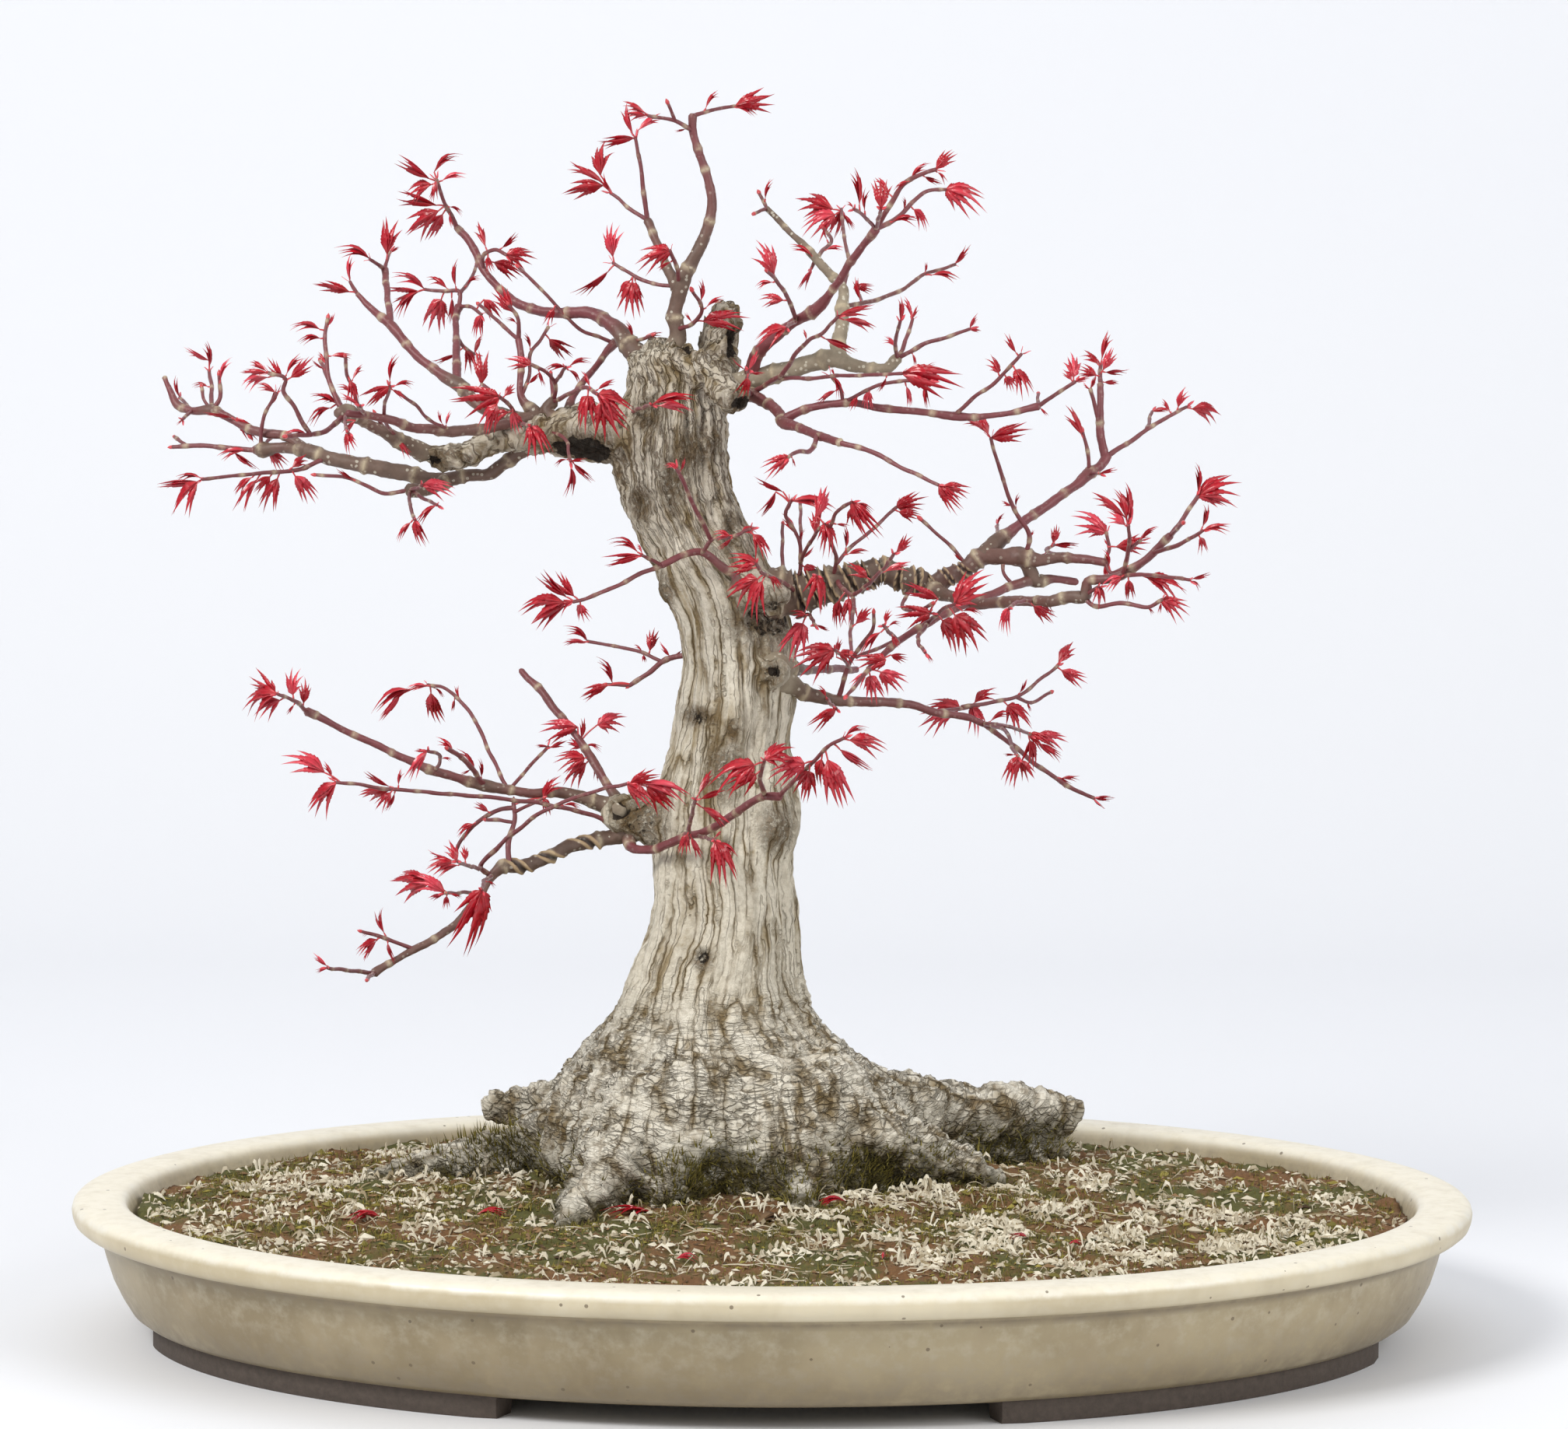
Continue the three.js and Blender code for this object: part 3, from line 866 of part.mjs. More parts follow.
// One spray: its own limbs, its twigs and the leaves on their stalks. The leaf
// nearest to a twig's end is one skin with the twig.
function sprayParts(name, limbPaths, earlier, grow) {
  const parts = limbPaths.map((path) => tube(path, sidesFor(path), grow));
  const own = [...limbPaths];
  for (const [tip, footRadius, tipRadius, flat, leaves] of SPRAYS[name]) {
    const path = straightened(twigRoute([tip, footRadius, tipRadius, flat], [...own, ...earlier]));
    const [endX, endZ] = path[path.length - 1];
    const chosen = leaves.filter(kept);
    if (!chosen.length && Math.hypot(endX - path[0][0], endZ - path[0][1]) < STUB) {
      continue;
    }
    own.push(path);
    const away = (l) => Math.hypot(l[0] - endX, l[1] - endZ);
    const last = chosen.length ? chosen.reduce((a, l) => (away(l) < away(a) ? l : a)) : null;
    chosen.forEach((one, order) => {
      const [footX, footZ, tipX, tipZ, lobes] = one;
      const size = Math.hypot(tipX - footX, tipZ - footZ);
      const lean = ((order % 3) - 1) * 0.3 * size + (chance(footX, tipZ) - 0.5) * size * 0.2;
      const roll = (chance(tipX, footZ, 1) - 0.5) * (lobes === 3 ? 2.4 : 1.2);
      if (one === last && away(one) < STALK_FROM) {
        const end = seen(tipX, tipZ, path[path.length - 1][2] + lean);
        parts.push(leafyTwig(path, end, lobes, roll, grow));
        return;
      }
      const spot = joint(path, footX, footZ, 1.2 + order * 0.8);
      const end = seen(tipX, tipZ, spot[2] + lean);
      const hold = [spot[0] + (tipX - spot[0]) * 0.18, spot[1] + (tipZ - spot[1]) * 0.18,
        spot[2] + lean * 0.2];
      const far = Math.hypot(footX - spot[0], footZ - spot[1]);
      const foot = far < STALK_FROM ? hold : [footX, footZ, spot[2] + lean * 0.2];
      parts.push(leafyTwig([[...spot, PETIOLE], [...foot, PETIOLE]], end, lobes, roll, grow));
    });
    if (!last || away(last) >= STALK_FROM) {
      parts.push(tube(path, 3, grow));
    }
  }
  return parts;
}

// The place on a twig that a leaf grows from, kept back from the twig's end.
function joint(path, x, z, back) {
  let best = null;
  for (let i = 1; i < path.length; i++) {
    const [ax, az, ad] = path[i - 1];
    const [bx, bz, bd] = path[i];
    const length = Math.hypot(bx - ax, bz - az);
    const along = ((x - ax) * (bx - ax) + (z - az) * (bz - az)) / length ** 2;
    const most = i === path.length - 1 ? Math.max(1 - back / length, 0.2) : 1;
    const t = Math.min(Math.max(along, 0), most);
    const spot = [ax + t * (bx - ax), az + t * (bz - az), ad + t * (bd - ad)];
    const distance = Math.hypot(x - spot[0], z - spot[1]);
    if (!best || distance < best.distance) {
      best = { distance, spot };
    }
  }
  return best.spot;
}

// The tray: a thick oval bowl with a rolled rim, fired in one piece with its feet.
// Outside and inside outlines as [inset from the rim, height].
const TRAY_OUTSIDE = [[46, FOOT_HEIGHT], [31, FOOT_HEIGHT + 1], [23, 12], [15, 26], [11.5, 40],
  [10, 44], [3, 45.5], [0, 50], [1.4, 55]];
const TRAY_INSIDE = [[RIM_WIDTH - 1, TRAY_HEIGHT], [RIM_WIDTH, TRAY_HEIGHT - 2], [34, 21], [50,
  FLOOR_TOP]];

function oval(inset, z) {
  const ring = [];
  for (let j = 0; j < AROUND; j++) {
    const turn = (j / AROUND) * 2 * Math.PI;
    ring.push(new THREE.Vector3((RIM_LONG - inset) * Math.cos(turn),
      (RIM_SHORT - inset) * Math.sin(turn), z));
  }
  return ring;
}

function foot(from, to) {
  const steps = 6;
  const rings = [];
  for (let i = 0; i <= steps; i++) {
    const turn = THREE.MathUtils.degToRad(from + ((to - from) * i) / steps);
    const at = (inset, z) => new THREE.Vector3((RIM_LONG - inset) * Math.cos(turn),
      (RIM_SHORT - inset) * Math.sin(turn), z);
    rings.push([at(FOOT_INSET, 0), at(FOOT_INSET, FOOT_HEIGHT + 3), at(FOOT_INSET + FOOT_WIDTH,
      FOOT_HEIGHT + 3),
      at(FOOT_INSET + FOOT_WIDTH, 0)]);
  }
  return skin(rings.map((ring) => ring.reverse()));
}

const trayRings = [...TRAY_OUTSIDE, ...TRAY_INSIDE].map(([inset, z]) => oval(inset, z));
const tray = joinAll([skin(trayRings), foot(192, 246), foot(290, 342), foot(18, 68), foot(112, 166)]);

// The trunk, fluted, with roots that run out and under the soil.
function trunkBody(grow) {
  const rings = TRUNK.map(([z, left, right, halfDepth]) => {
    const middle = seen((left + right) / 2, z, TRUNK_DEPTH);
    const ring = [];
    for (let j = 0; j < TRUNK_SIDES; j++) {
      const turn = (j / TRUNK_SIDES) * 2 * Math.PI;
      const flute = 1 + 0.035 * Math.sin(turn * 5 + z * 0.013) + 0.02 * Math.sin(turn * 8 - z * 0.02);
      const wide = ((right - left) / 2) * flute + grow;
      const deep = halfDepth * flute + grow;
      ring.push(new THREE.Vector3(middle.x + wide * Math.cos(turn), middle.y + deep * Math.sin(turn),
        middle.z));
    }
    return ring;
  });
  return skin(rings.reverse());
}

function rootBody(points, grow) {
  const path = points.map(([x, y, z]) => new THREE.Vector3(x, y, z));
  const rings = path.map((centre, i) => {
    const along = path[Math.min(i + 1, path.length - 1)].clone().sub(path[Math.max(i - 1,
      0)]).normalize();
    const side = new THREE.Vector3(-along.y, along.x, 0).normalize();
    const up = along.clone().cross(side);
    const radius = points[i][3] + grow;
    const end = i === path.length - 1 ? grow : 0;
    const ring = [];
    for (let j = 0; j < 7; j++) {
      const turn = (j / 7) * 2 * Math.PI;
      const knob = 1 + 0.12 * (chance(centre.x, j) - 0.5);
      ring.push(centre.clone().addScaledVector(along, end)
        .addScaledVector(side, (radius * knob) * Math.cos(turn))
        .addScaledVector(up, (radius * knob) * Math.sin(turn)));
    }
    return ring;
  });
  return skin(rings);
}

const allLimbs = [];
const limbRoutes = {};
for (const [owner, rows] of Object.entries(LIMBS)) {
  limbRoutes[owner] = rows.map((row) => {
    const path = straightened(limbRoute(row, allLimbs));
    allLimbs.push(path);
    return path;
  });
}

function woodBody(grow) {
  const parts = [trunkBody(grow)];
  ROOTS.forEach((points) => parts.push(rootBody(points, grow)));
  limbRoutes.tree.forEach((path) => parts.push(tube(path, sidesFor(path), grow)));
  return joinAll(parts);
}

const wood = largest(woodBody(0));
const woodRoom = woodBody(GAP);

// The soil fills the tray up to the roots and is a little higher at the front.
function soilHeight(x, y) {
  const mound = 13 * Math.exp(-(((x + 18) / 130) ** 2) - ((y - 40) / 100) ** 2);
  const grain = 1.2 * Math.sin(x * 0.09) * Math.cos(y * 0.11);
  return 48.5 - y * 0.008 + mound + grain;
}

const soilRings = [[51, FLOOR_TOP + GAP], [35, 21.5], [26.6, 45.5]]
  .map(([inset, z]) => oval(inset, z));
for (const inset of [27, 64, 108, 156, 198]) {
  const ring = oval(inset, 0);
  ring.forEach((p) => {
    p.z = soilHeight(p.x, p.y);
  });
  soilRings.push(ring);
}
const soil = largest(skin(soilRings).subtract(woodRoom));

// Each spray is cleared from the wood and from the sprays before it. Where a
// blade still touches an earlier one it is cleared again with more room.
const bodies = [];
const rooms = [];

function sprayBody(name, grow) {
  return joinAll(sprayParts(name, limbRoutes[name] ?? [], allLimbs, grow));
}

for (const name of Object.keys(SPRAYS)) {
  const whole = sprayBody(name, 0).subtract(woodRoom);
  let body = largest(rooms.reduce((left, room) => left.subtract(room), whole));
  for (const [earlier, other] of bodies) {
    if (body.intersect(other).volume() > 0) {
      body = largest(body.subtract(sprayBody(earlier, 3 * GAP)));
    }
  }
  rooms.push(sprayBody(name, GAP));
  bodies.push([name, body]);
}

// Materials and the finished group.
function mesh(name, body, colour, roughness) {
  const made = body.getMesh();
  const geometry = new THREE.BufferGeometry();
  const stride = made.numProp;
  const positions = new Float32Array((made.vertProperties.length / stride) * 3);
  for (let i = 0; i < positions.length / 3; i++) {
    positions.set(made.vertProperties.subarray(i * stride, i * stride + 3), i * 3);
  }
  geometry.setAttribute('position', new THREE.BufferAttribute(positions, 3));
  geometry.setIndex(new THREE.BufferAttribute(new Uint32Array(made.triVerts), 1));
  geometry.computeVertexNormals();
  const material = new THREE.MeshStandardMaterial({ color: colour, roughness, metalness: 0 });
  const result = new THREE.Mesh(geometry, material);
  result.name = name;
  return result;
}

const group = new THREE.Group();
group.name = 'deshojo_maple_bonsai';
group.add(mesh('tray', tray, 0xd9d0b4, 0.3));
group.add(mesh('soil', soil, 0x6b6238, 0.95));
group.add(mesh('tree', wood, 0xb3a795, 0.85));
for (const [name, body] of bodies) {
  group.add(mesh(name, body, 0xb0202f, 0.55));
}

export default group;
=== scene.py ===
# %% [markdown]
# # A deshojo maple bonsai in its oval tray
# An old maple with a flared, pale trunk stands in a shallow glazed tray, and its new leaves are opening.
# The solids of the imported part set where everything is. Each of them is replaced here by a finer piece
# that keeps its form: the bark gets its fissures, the twigs their joints and the leaves their fingers.
# All lists below are in millimetres, as a gardener measures, and MM turns them into metres.

import json
import math

import bpy
import numpy as np
from mathutils import Matrix, Vector, noise

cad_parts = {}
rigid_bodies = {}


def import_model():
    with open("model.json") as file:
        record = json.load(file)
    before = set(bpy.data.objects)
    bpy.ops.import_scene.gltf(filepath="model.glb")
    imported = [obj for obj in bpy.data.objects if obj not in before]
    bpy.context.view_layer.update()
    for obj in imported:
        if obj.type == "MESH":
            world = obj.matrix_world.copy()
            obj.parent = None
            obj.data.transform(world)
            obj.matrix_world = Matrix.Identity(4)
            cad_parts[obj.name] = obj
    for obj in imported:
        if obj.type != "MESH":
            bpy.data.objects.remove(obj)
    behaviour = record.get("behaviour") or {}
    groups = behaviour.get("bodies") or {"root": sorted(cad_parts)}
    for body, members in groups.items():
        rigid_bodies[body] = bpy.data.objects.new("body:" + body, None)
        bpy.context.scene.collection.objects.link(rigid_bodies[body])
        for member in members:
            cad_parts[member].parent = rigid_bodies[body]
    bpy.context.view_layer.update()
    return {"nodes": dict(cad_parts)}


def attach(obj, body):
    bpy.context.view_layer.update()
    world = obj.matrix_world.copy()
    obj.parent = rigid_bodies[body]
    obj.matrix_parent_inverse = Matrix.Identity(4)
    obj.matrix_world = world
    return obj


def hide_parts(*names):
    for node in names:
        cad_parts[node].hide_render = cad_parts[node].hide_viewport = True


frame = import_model()
MM = 0.001
print("packed nodes:", len(frame["nodes"]))

# %% [markdown]
# ## The camera
# The photograph was taken from about two metres in front of the tray, a little above the crown's middle,
# with a long lens. A long lens from far away keeps the oval of the tray as flat as it is in the picture.
# The camera comes first, because the routes of the branches are written as they are seen from it.

# %% Camera
EYE = np.array([3.8, -2000.0, 418.0])
LENS = 115.7
LOOKING_DOWN = 4.86
LEANING = 0.25

lens = bpy.data.cameras.new("camera")
lens.lens = LENS
lens.sensor_width = 36
lens.clip_start = 0.1
lens.clip_end = 50
camera = bpy.data.objects.new("camera", lens)
bpy.context.scene.collection.objects.link(camera)
camera.matrix_world = (
    Matrix.Translation(Vector(EYE * MM))
    @ Matrix.Rotation(math.radians(90 - LOOKING_DOWN), 4, "X")
    @ Matrix.Rotation(math.radians(LEANING), 4, "Z")
)
bpy.context.scene.camera = camera
print("camera at", [round(c, 3) for c in camera.location])

# %% [markdown]
# ## Floor and light
# A plain pale floor runs up into a wall in one smooth curve, so that no line shows behind the tree.
# Seen from behind, the wall is clear, so that the tree can be looked at from all round.
# The light is that of a bright room with white walls: a large soft panel above on the left, a weaker one
# on the right, and a pale sky all round. Soft light keeps the shadows under the leaves thin and bright.

# %% Floor, wall and light
FLOOR_HALF = 4.0
FLOOR_FRONT = -6.0
WALL_BACK = 1.6
WALL_HEIGHT = 4.0
CURVE = 0.5
CURVE_STEPS = 12


def make_floor():
    profile = [(FLOOR_FRONT, 0.0), (WALL_BACK - CURVE, 0.0)]
    for step in range(1, CURVE_STEPS + 1):
        turn = step / CURVE_STEPS * math.pi / 2
        profile.append((WALL_BACK - CURVE + CURVE * math.sin(turn), CURVE - CURVE * math.cos(turn)))
    profile.append((WALL_BACK, WALL_HEIGHT))
    verts = [(x, y, z) for y, z in profile for x in (-FLOOR_HALF, FLOOR_HALF)]
    faces = [(2 * i, 2 * i + 1, 2 * i + 3, 2 * i + 2) for i in range(len(profile) - 1)]
    mesh = bpy.data.meshes.new("studio_floor")
    mesh.from_pydata(verts, [], faces)
    mesh.shade_smooth()
    floor = bpy.data.objects.new("studio_floor", mesh)
    bpy.context.scene.collection.objects.link(floor)
    paint = bpy.data.materials.new("pale_floor")
    paint.use_nodes = True
    tree = paint.node_tree
    shader = tree.nodes["Principled BSDF"]
    shader.inputs["Base Color"].default_value = (0.86, 0.87, 0.9, 1)
    shader.inputs["Roughness"].default_value = 0.7
    side = tree.nodes.new("ShaderNodeNewGeometry")
    clear = tree.nodes.new("ShaderNodeBsdfTransparent")
    either = tree.nodes.new("ShaderNodeMixShader")
    tree.links.new(side.outputs["Backfacing"], either.inputs["Fac"])
    tree.links.new(shader.outputs["BSDF"], either.inputs[1])
    tree.links.new(clear.outputs["BSDF"], either.inputs[2])
    tree.links.new(either.outputs["Shader"], tree.nodes["Material Output"].inputs["Surface"])
    mesh.materials.append(paint)
    return floor


def make_light(name, place, target, size, watts, colour):
    data = bpy.data.lights.new(name, "AREA")
    data.shape = "RECTANGLE"
    data.size, data.size_y = size
    data.energy = watts
    data.color = colour
    light = bpy.data.objects.new(name, data)
    light.location = place
    light.rotation_euler = (Vector(target) - Vector(place)).to_track_quat("-Z", "Y").to_euler()
    bpy.context.scene.collection.objects.link(light)


make_floor()
make_light("left_panel", (-1.5, -1.5, 1.9), (0, 0, 0.2), (1.1, 0.8), 50, (1.0, 0.985, 0.96))
make_light("right_panel", (1.7, -1.3, 1.3), (0, 0, 0.2), (1.4, 1.2), 24, (1.0, 0.99, 0.97))
make_light("wall_wash", (0, 0.5, 2.6), (0, 1.5, 0.3), (3.0, 1.0), 9, (1.0, 1.0, 1.0))
sky = bpy.data.worlds.new("pale_room")
sky.use_nodes = True
room = sky.node_tree
background = room.nodes["Background"]
background.inputs["Color"].default_value = (0.93, 0.96, 1.0, 1)
rays = room.nodes.new("ShaderNodeLightPath")
strength = room.nodes.new("ShaderNodeMapRange")
strength.inputs["To Min"].default_value = 0.42
strength.inputs["To Max"].default_value = 0.92
room.links.new(rays.outputs["Is Camera Ray"], strength.inputs["Value"])
room.links.new(strength.outputs["Result"], background.inputs["Strength"])
bpy.context.scene.world = sky
bpy.context.scene.view_settings.view_transform = "Standard"

# %% [markdown]
# ## How the branches are written down
# Each limb and twig is a line of points in the upright plane through the trunk, x and z, as the eye sees
# them, with a depth for its tip. A point then slides along the line of sight to its depth, so the tree
# looks right from the front and spreads to the back and to the front as a real one does.
# The trunk is a list of its left and right edges, and each root a line of [x, y, z, radius].
# The limbs and twigs are so many that they are plain text: a name, then rows with semicolons between
# them, and commas between the groups of numbers in a row.

# %% Routes of the trunk, the roots, the limbs and the twigs
TRUNK_DEPTH = 40

# height, left edge, right edge, half depth
TRUNK = [
  [396, -50, -40, 6],
  [389, -59, -35, 11],
  [380, -60, -26, 15],
  [366, -62, -20, 18],
  [350, -66, -19, 20],
  [337, -63, -17, 21],
  [325, -59, -12, 22],
  [310, -52, -4, 23],
  [297, -46, 3, 24],
  [284, -40, 8, 24],
  [266, -37, 9, 24],
  [250, -40, 9, 25],
  [234, -42, 6, 25],
  [218, -46, 8, 27],
  [202, -48, 10, 28],
  [186, -50, 7, 28],
  [168, -50, 9, 30],
  [152, -54, 10, 33],
  [138, -60, 11, 37],
  [124, -66, 15, 42],
  [110, -77, 28, 48],
  [96, -89, 45, 56],
  [80, -96, 55, 62],
  [62, -99, 62, 65],
  [50, -99, 62, 65],
]
# [x, y, z, radius] along each, from inside the flare to the tip
ROOTS = [
  [[-55, 45, 84, 28], [-92, 46, 64, 17], [-119, 48, 57, 13], [-146, 47, 53, 10.5], [-164, 44, 48, 8]],
  [[-62, 70, 84, 24], [-86, 78, 78, 13], [-104, 84, 76, 9], [-117, 87, 76, 7]],
  [[-60, 70, 74, 24], [-96, 100, 56, 13], [-124, 122, 49, 8]],
  [[-50, 0, 84, 26], [-66, -24, 66, 16], [-75, -42, 56, 11], [-80, -56, 49, 7]],
  [[-28, 8, 88, 30], [-36, -12, 68, 21], [-42, -27, 55, 13]],
  [[0, 8, 76, 24], [10, -18, 60, 13], [14, -34, 52, 8]],
  [[15, 18, 88, 28], [48, 16, 72, 17], [72, 22, 62, 12], [92, 30, 52, 8]],
  [[16, 50, 80, 24], [48, 66, 79, 18], [80, 86, 73, 13.5], [106, 100, 73, 13], [126, 106, 70, 10]],
  [[34, 62, 72, 24], [72, 88, 61, 15], [100, 102, 57, 12], [120, 108, 52, 9]],
  [[10, 90, 84, 26], [40, 128, 62, 16], [58, 150, 49, 8]],
  [[-30, 90, 84, 26], [-36, 132, 62, 17], [-40, 156, 49, 8]],
]


def read_table(text):
    """The rows under each name, each row a list of its groups of numbers."""
    lines = [line for line in text.strip().split("\n") if line[:1] != "#"]
    table = {}
    for block in "\n".join(lines).split("\n\n"):
        name, rows = block.split(":")
        table[name] = [[[float(word) for word in group.split()] for group in row.split(",")]
                       for row in rows.split(";")]
    return table


# A limb: the depth of its tip, or of its foot and its tip, and then x, z and radius over and over.
LIMBS = read_table("""
tree:
# Broken crown: left snag, hollow right snag, and the sawn limb with its dark face.
44, -50 372 10 -53 385 7 -55 391 4;
62, -26 372 10 -24 388 9 -22 400 8 -20 408 6;
4, -44 384 10 -36 386 9 -27 381 7 -20 375 6.4 -15 371 6;
# Dead knots on the trunk.
8, -30 300 10 -12 296 10 2 292 8;
12, -6 262 8 2 262 6;
# Left main limb, its hollow knuckle and the two boughs beyond it.
34, -55 358 14 -76 359 12 -92 358 9 -105 356 7 -116 354 6.4 -126 349 6.2 -137 348 5.6 -144 350 4;
62, -93 355 4 -103 351 3.2 -109 346 2.8 -116 342 2.6 -124 341 2.6 -135 339 3 -147 341 3.3 -160 344 3.3 -172
  346 3 -182 348 2.9 -190 351 2.9;
34, -132 339 3 -142 335 2.6 -148 335 3;
# Leaders at the top.
40, -44 388 5 -40 398 3.6 -41 406 3.1 -40 412 3 -39 418 3.4 -34 427 2.7 -30 436 2.5 -27 444 2.1 -26 452 2
  -28 461 1.8 -31 470 1.7;
# Pale limbs to the right of the crown.
16, -26 374 6 -10 380 4.4 2 383 3.8 14 387 3.6 24 389 3.8 32 386 2.6 44 385 2.4 49 389 2.3;
# Right main limb, creased where the training wire bit.
22, -20 296 16 -2 294 10.5 8 294 8.4 17 296 7.4 27 299 6.4 36 301 5.8 43 303 4.8 51 300 5 57 299 5.4 62 297
  4.4 69 300 3.9 76 303 3.6 84 309 3.8 92 309 3.2 101 309 4 106 308 2.7 116 309 2.1;
-34, 62 297 4 70 293 2.5 82 290 2.2 94 291 2.2 104 291 2 112 291 2.3;
# Lower right branch.
60, -2 260 8 8 256 4 14 253 3 21 251 2.6 30 250 2.1 44 250 1.9 55 249 1.7 66 246 1.6 76 244 1.5 85 241 1.3;
96, 0 264 6 12 263 2 24 263 1.6 33 263 1.4;
# Dark broken knot low on the left with its whorl of branches.
34, -38 202 16 -52 202 11 -60 203 9 -66 205 7;
-10, -56 198 6 -63 195 3.6 -72 193 3 -84 190 2.7 -94 185 2.6 -103 182 2.8 -110 182 2.8 -115 178 1.8 -120 169
  1.6 -126 162 2 -134 155 1.5 -146 148 1.6 -155 143 1.3 -163 138 1.9;
16 4, -14 296 6 -16 300 2.2 -22 305 1.8 -30 310 1.5 -38 309 1.3 -46 305 1.4

left_fork:
10, -142 350 4 -152 355 3.2 -158 358 2.6 -169 364 2.6 -174 366 4 -177 366 2.4;
-8, -94 366 3 -105 363 2.2 -120 360 2.2 -131 359 2.2 -144 360 1.9 -154 363 1.8 -166 365 1.5 -173 366 1.5

left_tip:
72, -190 351 2.9 -202 352 2.3 -208 351 3 -211 351 1.6;
96, -190 351 2.6 -200 357 1.9 -208 358 1.9 -216 361 1.7 -223 365 1.7 -228 367 2.2 -236 367 1.6 -242 369 1.8
  -245 375 1.2 -247 380 1

upper_left:
84, -96 362 5 -108 364 3.6 -118 368 2.7 -129 378 2.9 -137 383 2 -148 392 1.8 -156 402 2 -163 408 1.4 -169
  414 1;
104, -129 378 1.9 -129 392 1.6 -129 406 1.5 -128 409 1.9;
110, -156 402 1.5 -157 414 1.3 -158 424 1.5

long_branch:
96, -52 384 5 -60 395 4 -66 402 3 -74 406 2.6 -88 407 2.2 -98 408 2 -105 411 1.9 -112 417 1.6 -118 424 1.6
  -123 434 1.6 -129 441 1.4

inner_mast:
50, -97 366 3 -103 373 1.6 -103 386 1.4 -104 396 1.4

inner_knot:
40, -88 362 4 -93 368 2.6 -90 371 2.6

snag_thread:
66, -84 362 4 -83 371 1.7 -76 381 1.4 -70 389 1.3 -65 395 2

top_tip:
40, -31 470 1.7 -34 480 1.6 -34 486 1.8

top_left:
58, -40 417 2.8 -44 425 2 -48 434 1.7 -52 444 1.8

red_limb:
-30, -10 382 3.4 -7 391 2.6 0 398 2.3 8 404 2 16 408 2.5 22 415 1.7 30 428 1.6 36 436 1.5 40 441 1.9

pale_limb:
70, 25 388 3.4 26 398 2.9 27 410 2.6 27 417 2 21 423 1.9 16 429 1.8 8 437 1.3 -4 449 1.2

lower_arc:
-44, -14 376 3.4 -6 372 2.4 1 367 2.2 3 363 2.5 9 361 1.8 17 358 1.7 26 355 1.5;
-16, 3 364 2 14 369 1.6 27 371 1.5 45 369 1.5 64 367 1.4 72 366 1.8 84 366 1.2 98 368 1.2 106 370 1.6

limb_end:
16, 116 309 2.1 126 308 1.8 134 307 1.6

far_right:
-50, 112 291 2.3 119 293 2.4 125 293 2.6 127 299 1.9 134 300 1.8 141 302 1.8 147 306 1.6 153 311 1.5 160 318
  1.5

high_branch:
60, 84 309 4 90 315 3.4 97 321 2.1 110 330 2 121 338 1.9 127 343 2.5 131 346 2 134 350 2.2;
66, 133 350 1.8 131 361 1.7 131 371 1.4 131 379 1.3

front_wand:
30, 101 309 3.4 103 304 3 105 300 3 112 300 1.8 122 299 1.5;
-36, 105 300 2.4 95 297 1.7 84 292 1.6 72 287 1.5 62 282 1.6 50 274 1.3 38 263 1.2

low_left_long:
6, -62 205 5 -71 208 3.4 -77 210 2.8 -87 212 2.3 -98 212 2 -108 213 2 -118 215 2.5 -128 218 1.8 -138 221 1.9
  -152 227 1.5 -168 234 1.4 -180 240 1.3 -190 245 1.8

low_left_mast:
66, -62 206 4 -67 214 1.8 -73 224 1.9 -82 237 1.4 -93 251 1.7 -103 262 1.3

front_twig:
-36, -60 197 4 -58 190 2 -50 189 1.7 -40 193 1.7 -30 196 1.6 -20 201 1.6 -12 207 1.5 -4 211 1.5 2 211 1.8
""")

